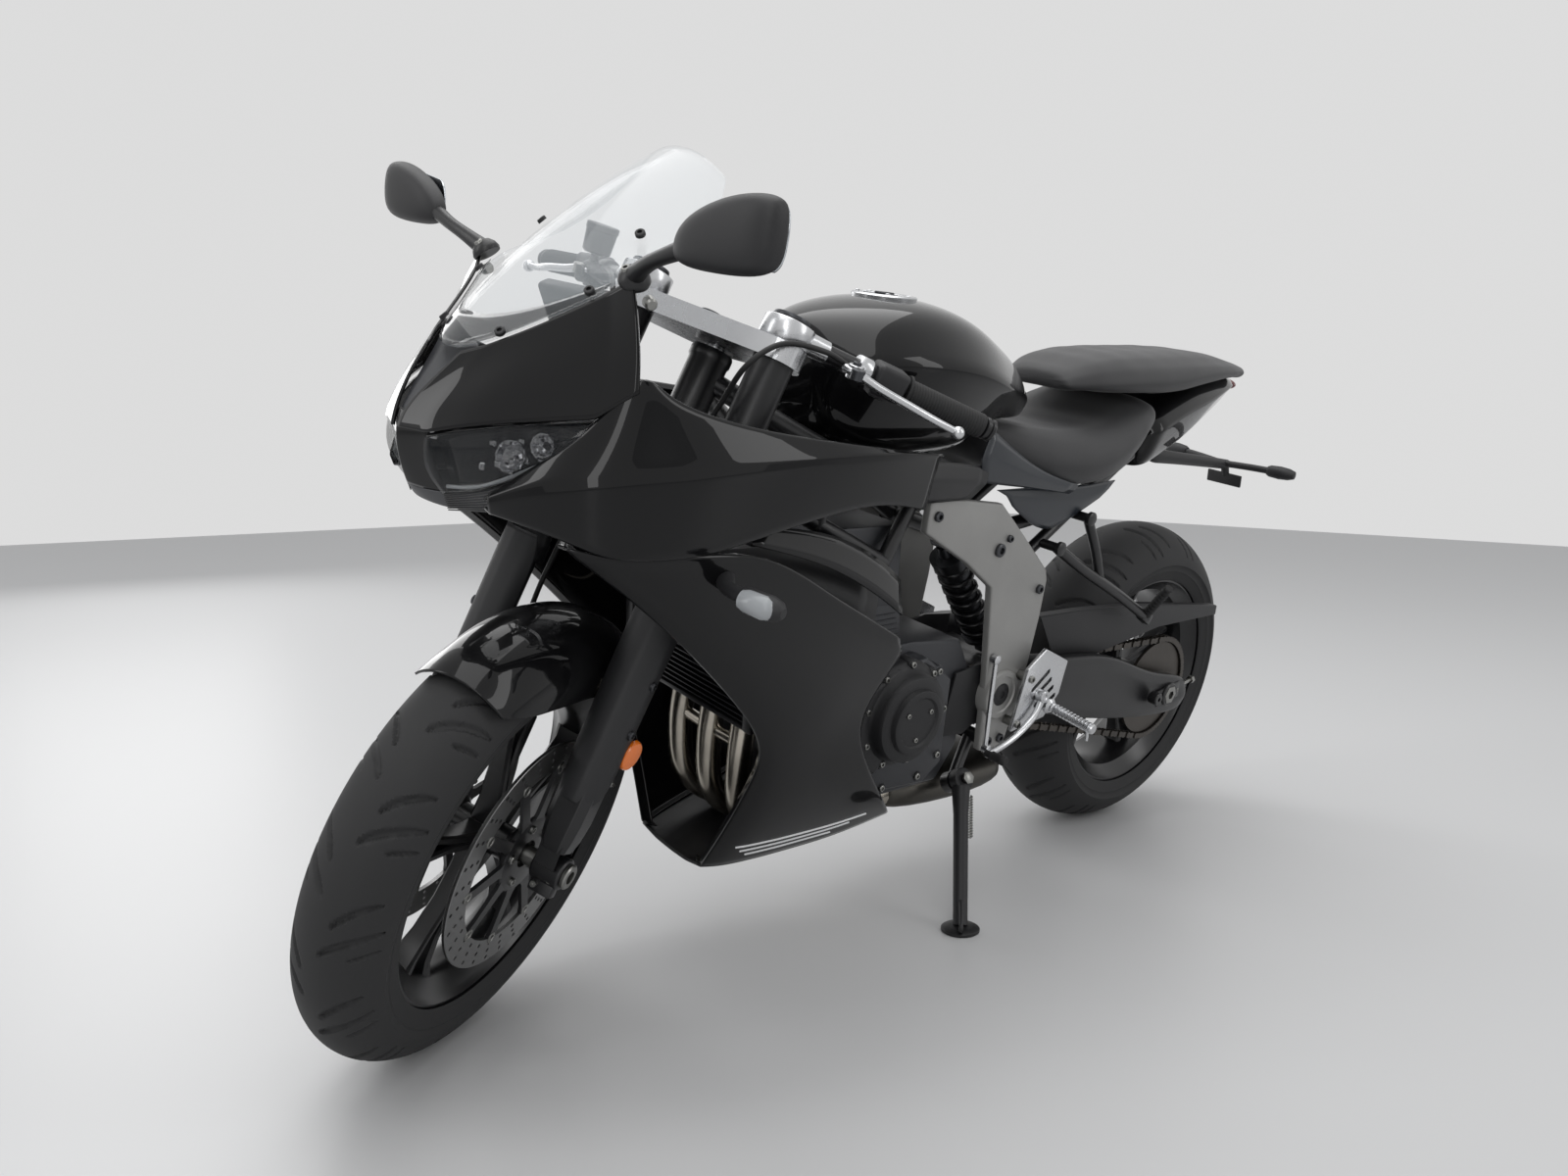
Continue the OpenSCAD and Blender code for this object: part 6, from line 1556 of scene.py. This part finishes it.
def footrests():
    for side, tag in ((1, "left"), (-1, "right")):
        hanger = bmesh.new()
        sided(hanger, [(512, 442), (470, 474), (400, 444), (408, 384), (440, 345), (528, 332)], 151, 159, side, 2.5,
            2)
        obj = piece(f"footrest_hanger_{tag}", hanger, "bright_alloy", "frame",
            ("rider_footrests",) if side > 0 else (), slot="bright_alloy")
        slots = bmesh.new()
        for k in range(4):
            a, b = Vector((452 - k * 10, 432 - k * 16)), Vector((490 - k * 8, 402 - k * 15))
            d = (b - a).normalized() * 4
            n = Vector((-d.y, d.x))
            sided(slots, [tuple(a - d + n * 0.4), tuple(a + n), tuple(b + n), tuple(b + d), tuple(b - n),
                tuple(a - n)], 148, 162, side, 0.3, 1)
        cut(obj, slots, "frame")
        boss = bmesh.new()
        for x, z, y0, r in ((500, 424, 134.3, 9), (516, 345, 134.3, 8)):
            lathe(boss, mm(x, side * y0, z), (0, side, 0), [(0, 0), (0, r), (20, r), (20, 0)], 24)
            bolt(boss, (x, side * 159, z), (0, side, 0), 6.5, 5)
        piece(f"footrest_bosses_{tag}", boss, "zinc_steel", "frame", slot="bright_alloy")
        peg = bmesh.new()
        d = Vector((0, side * 95, -8)).normalized()
        prof = [(0, 0), (0, 9), (12, 9)]
        for k in range(11):
            prof += [(14 + k * 7, 7.4), (16 + k * 7, 9.4), (19 + k * 7, 9.4), (20 + k * 7, 7.4)]
        prof += [(94, 9.5), (97, 8), (97, 0)]
        lathe(peg, mm(432, side * 157, 366), d, prof, 20)
        lathe(peg, mm(432, side * 154, 366), d, [(0, 0), (0, 14), (8, 14), (12, 10), (12, 0)], 24)
        tube(peg, [(432, side * 242, 352), (430, side * 243, 340), (430, side * 243, 334)], 3)
        piece(f"footrest_peg_{tag}", peg, "bright_alloy", "frame", slot="bright_alloy", sharp=35)
        lever = bmesh.new()
        lathe(lever, mm(470, side * 159.3, 392), (0, side, 0),
            [(0, 0), (0, 11), (14, 11), (15, 10), (15, 6), (13, 5), (13, 0)], 24)
        tube(lever, path((470, side * 168, 392), (484, side * 170, 362), (520, side * 171, 336),
            (562, side * 172, 320), (604, side * 173, 312), n=5), 6)
        piece(f"foot_lever_{tag}", lever, "bright_alloy", "frame", ("foot_controls",) if side > 0 else (),
            slot="bright_alloy")
        tip = bmesh.new()
        lathe(tip, mm(602, side * 170, 313), (0.04, side, 0.06),
            [(0, 0), (0, 6), (12, 6), (14, 8.4), (20, 7.4), (23, 8.4), (29, 7.4), (32, 8.4), (40, 8.4), (43, 6),
            (43, 0)], 20)
        piece(f"foot_lever_tip_{tag}", tip, "grip_rubber" if side > 0 else "bright_alloy", "frame",
            slot="bright_alloy", sharp=50)
        rear = bmesh.new()
        tube(rear, path((462, side * 132, 643), (380, side * 140, 600), (270, side * 148, 549),
            (164, side * 152, 496), n=4), 9.5, sides=5)
        tube(rear, path((390, side * 132, 691), (356, side * 139, 632), (330, side * 142, 578), n=4), 8.5, sides=5)
        for x, z, y0 in ((462, 643.2, 102), (390, 691, 101.7)):
            lathe(rear, mm(x, side * y0, z), (0, side, 0),
                [(0, 0), (0, 8), (32, 8), (34, 12), (40, 12), (42, 9), (42, 0)], 20)
        block(rear, (168, side * 151, 498), (30, 18, 22), Matrix.Rotation(-0.5, 3, "Y"), 4)
        piece(f"pillion_hanger_{tag}", rear, "powder_black", "frame", ("pillion_footrests",) if side > 0 else (),
            slot="black_metal")
        peg = bmesh.new()
        a, b = Vector((168, side * 150, 496)), Vector((200, side * 204, 572))
        prof = [(0, 0), (0, 8)]
        for k in range(9):
            prof += [(8 + k * 9, 8), (11 + k * 9, 9), (13 + k * 9, 9), (15 + k * 9, 7.6)]
        prof += [(96, 8), (98, 6), (98, 0)]
        lathe(peg, a / 1000, b - a, prof, 16)
        piece(f"pillion_peg_{tag}", peg, "grip_rubber", "frame", slot="black_metal", sharp=45)
    rod = bmesh.new()
    tube(rod, [(594, 161, 316), (588, 150, 392), (584, 142, 462)], 4, smooth=False)
    for x, y, z in ((594, 163, 316), (584, 141, 464)):
        lathe(rod, mm(x, y - 5, z), (0, 1, 0), [(0, 0), (0, 8), (10, 8), (11, 6), (11, 0)], 20)
    piece("gear_linkage", rod, "bright_alloy", "frame", slot="bright_alloy")
    drive = bmesh.new()
    sided(drive, [(648, 440), (560, 452), (556, 352), (604, 326), (664, 330)], 111, 117.5, 1, 2)
    piece("drive_sprocket_cover", drive, "engine_dark", "frame", slot="engine_grey")


def swingarm():
    for side, tag in ((1, "left"), (-1, "right")):
        rows = [[(474, 446), (370, 438), (247, 429), (150, 396), (52, 359), (-88, 343)],
            [(474, 430), (370, 420), (250, 409), (150, 378), (52, 344), (-92, 328)],
                [(474, 370), (370, 344), (260, 320), (130, 302), (0, 290), (-96, 296)],
                    [(472, 354), (370, 328), (264, 304), (126, 282), (-38, 266), (-94, 282)]]
        depth = (140, 144.5, 144.5, 140)
        outer = [[(x, side * y, z) for x, z in row] for row, y in zip(rows, depth)]
        inner = [[(x, side * 116, z) for x, z in row] for row in rows]
        loops = []
        for k in range(6):
            loops.append([outer[0][k], outer[1][k],
                tuple((Vector(outer[1][k]) * 0.5 + Vector(outer[2][k]) * 0.5) - Vector((0, side * 7, 0))),
                outer[2][k], outer[3][k], inner[3][k], inner[0][k]])
        piece(f"swingarm_{tag}", skin(loops, crease_cols=(0, 1, 3, 4, 5, 6), closed=True, caps=True, amount=0.7),
            "satin_black", "frame",
              ("swingarm",) if side > 0 else (), slot="black_metal", sub=2, weld=False)
        front = bmesh.new()
        sided(front, [(560, 410), (545, 436), (472, 449), (400, 443), (400, 334), (545, 362)], 112.5, 117.7, side, 1)
        lathe(front, mm(0, side * 145, 315), (0, side, 0), [(-3, 13), (-3, 24), (3, 24), (5, 22), (5, 13), (-3, 13)],
            36)
        block(front, (0, side * 143, 315), (78, 5, 34), Matrix.Rotation(math.radians(9), 3, "Y"), 1.5)
        piece(f"swingarm_end_{tag}", front, "powder_black", "frame", slot="black_metal")
        screw = bmesh.new()
        lathe(screw, mm(-46, side * 136, 322), (-1, 0, 0.15), [(0, 0), (0, 4), (46, 4), (46, 8), (54, 8), (54, 0)], 6)
        for k in (-1, 1):
            bolt(screw, (k * 30, side * 145.5, 315 + k * -5), (0, side, 0), 3.5, 2.5)
        piece(f"chain_adjuster_{tag}", screw, "zinc_steel", "frame", slot="black_metal")
        boss = bmesh.new()
        lathe(boss, mm(66, side * 145.3, 320), (0, side, 0),
            [(0, 0), (0, 11), (2, 12.2), (17, 12.2), (19, 10.5), (19, 4.3), (5, 4.3), (5, 0)], 28)
        piece(f"paddock_boss_{tag}", boss, "powder_black", "frame", ("paddock_bosses",) if side > 0 else (),
            slot="black_metal")
    brace = bmesh.new()
    plate(brace, [(455, 342), (455, 405), (382, 405), (370, 337)], -116, 116, 5)
    plate(brace, [(534, 380), (534, 412), (440, 405), (440, 347)], -80, 80, 5)
    y_lathe(brace, *PIVOT, [(-117.5, 0), (-117.5, 23), (-115, 24), (115, 24), (117.5, 23), (117.5, 0)], 40)
    piece("swingarm_brace", brace, "satin_black", "frame", slot="black_metal")
    axle = bmesh.new()
    lathe(axle, REAR_AXLE + mm(0, -151, 0), (0, 1, 0), [(0, 8.6), (0, 12.3), (302, 12.3), (302, 8.6), (0, 8.6)], 32)
    for side in (-1, 1):
        lathe(axle, REAR_AXLE + mm(0, side * 146, 0), (0, side, 0),
            [(0, 9), (0, 19), (5, 19), (6, 17), (6, 9), (0, 9)], 6)
    piece("rear_axle_shaft", axle, "zinc_steel", "frame", ("rear_axle",), slot="bright_alloy")
    shock = bmesh.new()
    low, high = Vector((430, 0, 421)), Vector((603.2, 0, 629.7))
    d = (high - low).normalized()
    n = (high - low).length
    lathe(shock, low / 1000, d, [(16, 0), (16, 12), (30, 12), (34, 30), (42, 31), (44, 22), (n * 0.6, 22),
        (n * 0.82, 30), (n * 0.85, 31), (n * 0.87, 31), (n * 0.88, 14), (n - 12, 12), (n - 12, 0)], 36)
    for q in (low, high):
        lathe(shock, (q - Vector((0, 12, 0))) / 1000, (0, 1, 0), [(0, 0), (0, 13), (24, 13), (24, 0)], 24)
    piece("shock_body", shock, "dark_alloy", "frame", ("rear_shock",), slot="black_metal")
    spring = []
    side_dir = d.cross(Vector((0, 1, 0)))
    for k in range(0, 7 * 14 + 1):
        t = k / 14
        turned = math.cos(math.tau * t) * side_dir + math.sin(math.tau * t) * Vector((0, 1, 0))
        spring.append(tuple(low + d * (46 + t / 7 * (n * 0.84 - 50)) + 26 * turned))
    coil = bmesh.new()
    tube(coil, spring, 5, smooth=False, sides=3)
    piece("shock_spring", coil, "powder_black", "frame", slot="black_metal")


def drive():
    """The chain as side plates and rollers, its guard and the rear caliper."""
    big, small = 103.5, 42.5
    a, b = Vector((0, 315)), Vector((604, 392))
    gap = b - a
    base = math.atan2(gap.y, gap.x)
    lean = math.acos((big - small) / gap.length)
    pts = []
    steps = 46
    for k in range(steps):
        t = base + lean + (math.tau - 2 * lean) * k / steps
        pts.append(a + big * Vector((math.cos(t), math.sin(t))))
    t0 = base - lean
    run0, run1 = a + big * Vector((math.cos(t0), math.sin(t0))), b + small * Vector((math.cos(t0), math.sin(t0)))
    for k in range(38):
        pts.append(run0.lerp(run1, k / 38))
    for k in range(10):
        t = t0 + 2 * lean * k / 10
        pts.append(b + small * Vector((math.cos(t), math.sin(t))))
    t1 = base + lean
    run0, run1 = b + small * Vector((math.cos(t1), math.sin(t1))), a + big * Vector((math.cos(t1), math.sin(t1)))
    for k in range(38):
        pts.append(run0.lerp(run1, k / 38))
    links = bmesh.new()
    count = len(pts)
    for k in range(count):
        p, q = pts[k], pts[(k + 1) % count]
        d = (q - p)
        length = d.length
        d.normalize()
        n = Vector((-d.y, d.x))
        w = 6.4
        outline = [p - d * 4 - n * 3, p - d * 1 - n * w, p + d * (length / 2) - n * w * 0.72, q + d * 1 - n * w,
            q + d * 4 - n * 3,
                   q + d * 4 + n * 3, q + d * 1 + n * w, p + d * (length / 2) + n * w * 0.72, p - d * 1 + n * w,
                       p - d * 4 + n * 3]
        y = (96.4, 98.4, 108.6, 110.6) if k % 2 else (98.6, 100.4, 106.6, 108.4)
        for y0, y1 in ((y[0], y[1]), (y[2], y[3])):
            plate(links, [tuple(v) for v in outline], y0, y1, 0.0)
        lathe(links, mm(p.x, 97, p.y), (0, 1, 0), [(0, 0), (0, 3.6), (13.4, 3.6), (13.4, 0)], 7)
    piece("chain_links", links, "chain_steel", "frame", ("chain",), slot="dark_steel")
    guard = bmesh.new()
    sided(guard, [(442, 513), (326, 512), (114, 503), (-175, 473), (-177, 454), (40, 451), (128, 438), (250, 420),
        (330, 414), (392, 447)], 112, 114.6, 1, 1)
    sided(guard, [(442, 514.5), (326, 513.5), (114, 504.5), (-176, 473.5), (-176, 470), (114, 501), (326, 510),
        (442, 511)], 96, 113, 1, 0.8, 1)
    piece("chain_guard_shell", guard, "moulded_black", "frame", ("chain_guard",), slot="black_plastic")
    cal = bmesh.new()
    block(cal, (56, -92, 420), (72, 50, 42), None, 6, 3)
    block(cal, (57, -106, 362), (30, 17, 80), None, 3)
    lathe(cal, mm(57, -114, 420), (0, -1, 0), [(0, 0), (0, 17), (2.5, 17), (2.5, 0)], 28)
    piece("rear_caliper_body", cal, "satin_black", "frame", ("rear_caliper",), slot="black_metal")


def side_stand():
    pivot, foot = Vector((598, 128, 246)), Vector((688, 248, 51.48))
    d = (foot - pivot).normalized()
    axis = Vector((0.11, 0.80, 0.54)).normalized()
    leg = bmesh.new()
    tube(leg, [tuple(pivot + 13 * d), tuple(pivot + 60 * d), tuple(foot - 8 * d)], 12.5, smooth=False, sides=6,
        radii=[1.25, 1.0, 0.95])
    lathe(leg, (pivot - 10 * axis) / 1000, axis, [(0, 7.5), (0, 17), (1.5, 19), (18.5, 19), (20, 17), (20, 7.5),
        (0, 7.5)], 36)
    flat = Matrix.Rotation(math.radians(11.5), 3, "X")
    lathe(leg, foot / 1000, flat @ Vector((0, 0, 1)), [(0, 0), (0, 29), (1.5, 31), (5, 31), (7, 28), (8.5, 16),
        (9, 0)], 36)
    tube(leg, [tuple(foot - 52 * d + Vector((9, 9, 0))), tuple(foot - 40 * d + Vector((26, 24, 2))),
        tuple(foot - 26 * d + Vector((38, 34, 2))), tuple(foot - 14 * d + Vector((26, 22, 2))),
        tuple(foot - 10 * d + Vector((8, 8, 0)))], 3.4)
    piece("stand_leg", leg, "engine_dark", "side_stand", ("side_stand",), slot="dark_steel")
    side_dir = axis.cross(d)
    coil, turns = [], 16
    a, b = pivot + 26 * d + 17 * side_dir, pivot + 96 * d + 17 * side_dir
    for k in range(turns * 8 + 1):
        t = k / 8
        coil.append(tuple(a.lerp(b,
            t / turns) + 6 * (math.cos(math.tau * t) * axis + math.sin(math.tau * t) * side_dir)))
    bm = bmesh.new()
    tube(bm, coil, 1.5, smooth=False, sides=2)
    piece("stand_spring", bm, "zinc_steel", "side_stand", slot="dark_steel")


def exhaust():
    port = Vector((170, 0, -40)).normalized()
    bm = bmesh.new()
    rings = bmesh.new()
    for y in (-72, 0, 72):
        start = Vector((990.6, y, 600))
        way = path(tuple(start + 0.5 * port), tuple(start + 34 * port), (1046, y, 530), (1050, y, 440),
            (1052, y, 350), (1036, y * 0.92, 272), (985, y * 0.75, 228), (900, y * 0.6, 215), (792, y * 0.57, 213),
            n=6)
        tube(bm, way, 18.8, sides=7)
        lathe(rings, (start + 3 * port) / 1000, port, [(0, 19), (0, 30), (2, 31), (8, 31), (9, 29), (9, 19), (0, 19)],
            28)
        for k in (-1, 1):
            bolt(rings, start + Vector((0, k * 25, 0)) + 11 * port, port, 5, 7)
    tube(bm, [(1052, -72, 372), (1052, 0, 370), (1052, 72, 372)], 9, smooth=False)
    box = skin([[(x, 66 * w * math.cos(t), 205 + 35 * w * math.sin(t)) for t in np.linspace(0, math.tau, 20,
        endpoint=False)] for x, w in ((806, 0.82), (790, 0.96), (760, 1.0), (700, 0.99))], closed=True, caps=True)
    join(bm, box)
    piece("header_pipes", bm, "header_steel", "frame", ("exhaust_headers",), slot="stainless")
    piece("header_flanges", rings, "zinc_steel", "frame", slot="stainless")
    can = skin([[(x, -14 + w * math.copysign(abs(math.cos(t)) ** 0.75, math.cos(t)),
        203 + h * math.copysign(abs(math.sin(t)) ** 0.75, math.sin(t))) for t in np.linspace(0, math.tau, 28,
        endpoint=False)]
                for x, w, h in ((699, 60, 30), (690, 78, 34), (660, 95, 35.5), (560, 106, 37), (460, 103, 35.5),
                    (412, 88, 31), (400, 76, 26))], closed=True, caps=True)
    piece("silencer_can", can, "brushed_dark", "frame", ("silencer",), slot="dark_steel", sub=1, weld=False)
    tip = bmesh.new()
    a, b = Vector((450, -92, 208)), Vector((373, -131, 225.5))
    n = (b - a).length
    lathe(tip, a / 1000, b - a, [(0, 0), (0, 20), (n - 3, 22), (n, 21), (n, 18), (n - 3, 17), (n - 34, 16.5),
        (n - 34, 0)], 36)
    piece("silencer_outlet", tip, "brushed_dark", "frame", slot="dark_steel")
    turn = Matrix.Rotation(math.radians(6), 3, "Y")
    base = Vector((1080, 0, 430))
    core = bmesh.new()
    for y in (-141, 141):
        block(core, tuple(base + turn @ Vector((15, y, 125))), (30, 18, 250), turn, 3)
    for z in (4, 246):
        block(core, tuple(base + turn @ Vector((15, 0, z))), (28, 270, 6), turn, 1)
    for k in range(30):
        block(core, tuple(base + turn @ Vector((15, 0, 12 + k * 7.8))), (24, 266, 1.8), turn, 0.0)
    for y in (-36, 36):
        start = Vector((990.6 + 5.9, y, 625)) + 0.4 * port
        tube(core, [tuple(start), tuple(start + 96 * port)], 6, smooth=False)
    piece("radiator_core", core, "satin_black", "frame", ("radiator",), slot="black_metal")
    fins = bmesh.new()
    for k in range(29):
        z = 12 + k * 7.8
        row0, row1 = [], []
        for j in range(133):
            q = turn @ Vector((8 if j % 2 else 22, -132 + 2 * j, 0))
            row0.append(tuple(base + q + turn @ Vector((0, 0, z + 1))))
            row1.append(tuple(base + q + turn @ Vector((0, 0, z + 6.8))))
        join(fins, skin([row0, row1]))
    piece("radiator_fins", fins, "powder_black", "frame", slot="black_metal", weld=False)


def hoses():
    """Brake hoses down the fork and the two lines up to the levers, and the front indicators."""
    yoke_low = 520 - 18.6
    for side, tag in ((1, "left"), (-1, "right")):
        bm = bmesh.new()
        rows = [(yoke_low, 70, -6), (470, 76, -20), (400, 84, -46), (300, 87, -50), (220, 87, -70), (176, 80, -98),
            (155.2, 76, -103)]
        tube(bm, path(*[tuple(fork(u, side * y, o)) for u, y, o in rows], n=6), 3.6, sides=4)
        up = [(1130, 182, 962), (1166, 160, 975), (1212, 122, 975), (1240, 95, 940), (1237, 74, 880), (1236, 56, 830)]
        tube(bm, path(*[(x, side * y, z) for x, y, z in up], tuple(fork(539, side * 50, 4)), n=6), 3.6, sides=4)
        piece(f"hoses_{tag}", bm, "rubber_hose", "steering", ("control_cables",) if side > 0 else (),
            slot="black_plastic")
    lights = bmesh.new()
    shells = bmesh.new()
    for side in (-1, 1):
        tube(shells, [(1262, side * 236, 688), (1276, side * 262, 684), (1276, side * 290, 682)], 9, smooth=False,
            radii=[1.5, 1.0, 1.0])
        d = Vector((-14, side * 55, -4)).normalized()
        lathe(shells, mm(1276, side * 287, 682), d, [(0, 0), (0, 10), (8, 14), (40, 15), (52, 12), (58, 6), (58, 0)],
            24)
        lathe(lights, mm(1281, side * 294, 682), d, [(0, 0), (0, 11), (8, 13.4), (32, 14), (40, 11), (45, 6),
            (46, 0)], 24)
    piece("front_indicator_shells", shells, "moulded_black", "frame", ("front_indicators",), slot="black_plastic")
    piece("front_indicator_lenses", lights, "clear_lens", "frame", slot="lamp_lens")


class SPORTBIKE_OT_running_gear(bpy.types.Operator):
    """Engine, frame, footrests, swingarm, drive, stand and exhaust."""
    bl_idname = "sportbike.running_gear"
    bl_label = "Engine and running gear"

    def execute(self, context):
        engine()
        frame_and_plates()
        footrests()
        swingarm()
        drive()
        side_stand()
        exhaust()
        hoses()
        return {"FINISHED"}


class SPORTBIKE_PT_panel(bpy.types.Panel):
    """Sidebar list of the steps that build the bike, and their settings."""
    bl_idname = "SPORTBIKE_PT_panel"
    bl_label = "Sport bike"
    bl_space_type = "VIEW_3D"
    bl_region_type = "UI"
    bl_category = "Sport bike"

    def draw(self, context):
        for step in STEPS:
            self.layout.operator("sportbike." + step)
        for settings in (context.scene.bike_stage, context.scene.bike_wheels, context.scene.bike_paint):
            box = self.layout.box()
            for name in settings.__annotations__:
                box.prop(settings, name)


CLASSES = [StageSettings, WheelSettings, PaintSettings, SPORTBIKE_OT_stage, SPORTBIKE_OT_finishes,
    SPORTBIKE_OT_wheels, SPORTBIKE_OT_bodywork, 
           SPORTBIKE_OT_front_end, SPORTBIKE_OT_tank_and_seats, SPORTBIKE_OT_running_gear, SPORTBIKE_PT_panel]
STEPS = ["stage", "finishes", "wheels", "bodywork", "front_end", "tank_and_seats", "running_gear"]


def register():
    for c in CLASSES:
        bpy.utils.register_class(c)
    bpy.types.Scene.bike_stage = PointerProperty(type=StageSettings)
    bpy.types.Scene.bike_wheels = PointerProperty(type=WheelSettings)
    bpy.types.Scene.bike_paint = PointerProperty(type=PaintSettings)


def unregister():
    for name in ("bike_stage", "bike_wheels", "bike_paint"):
        delattr(bpy.types.Scene, name)
    for c in reversed(CLASSES):
        bpy.utils.unregister_class(c)


def main():
    bpy.context.scene.view_settings.view_transform = "Standard"
    register()
    for step in STEPS:
        getattr(bpy.ops.sportbike, step)()


if __name__ == "__main__":
    main()
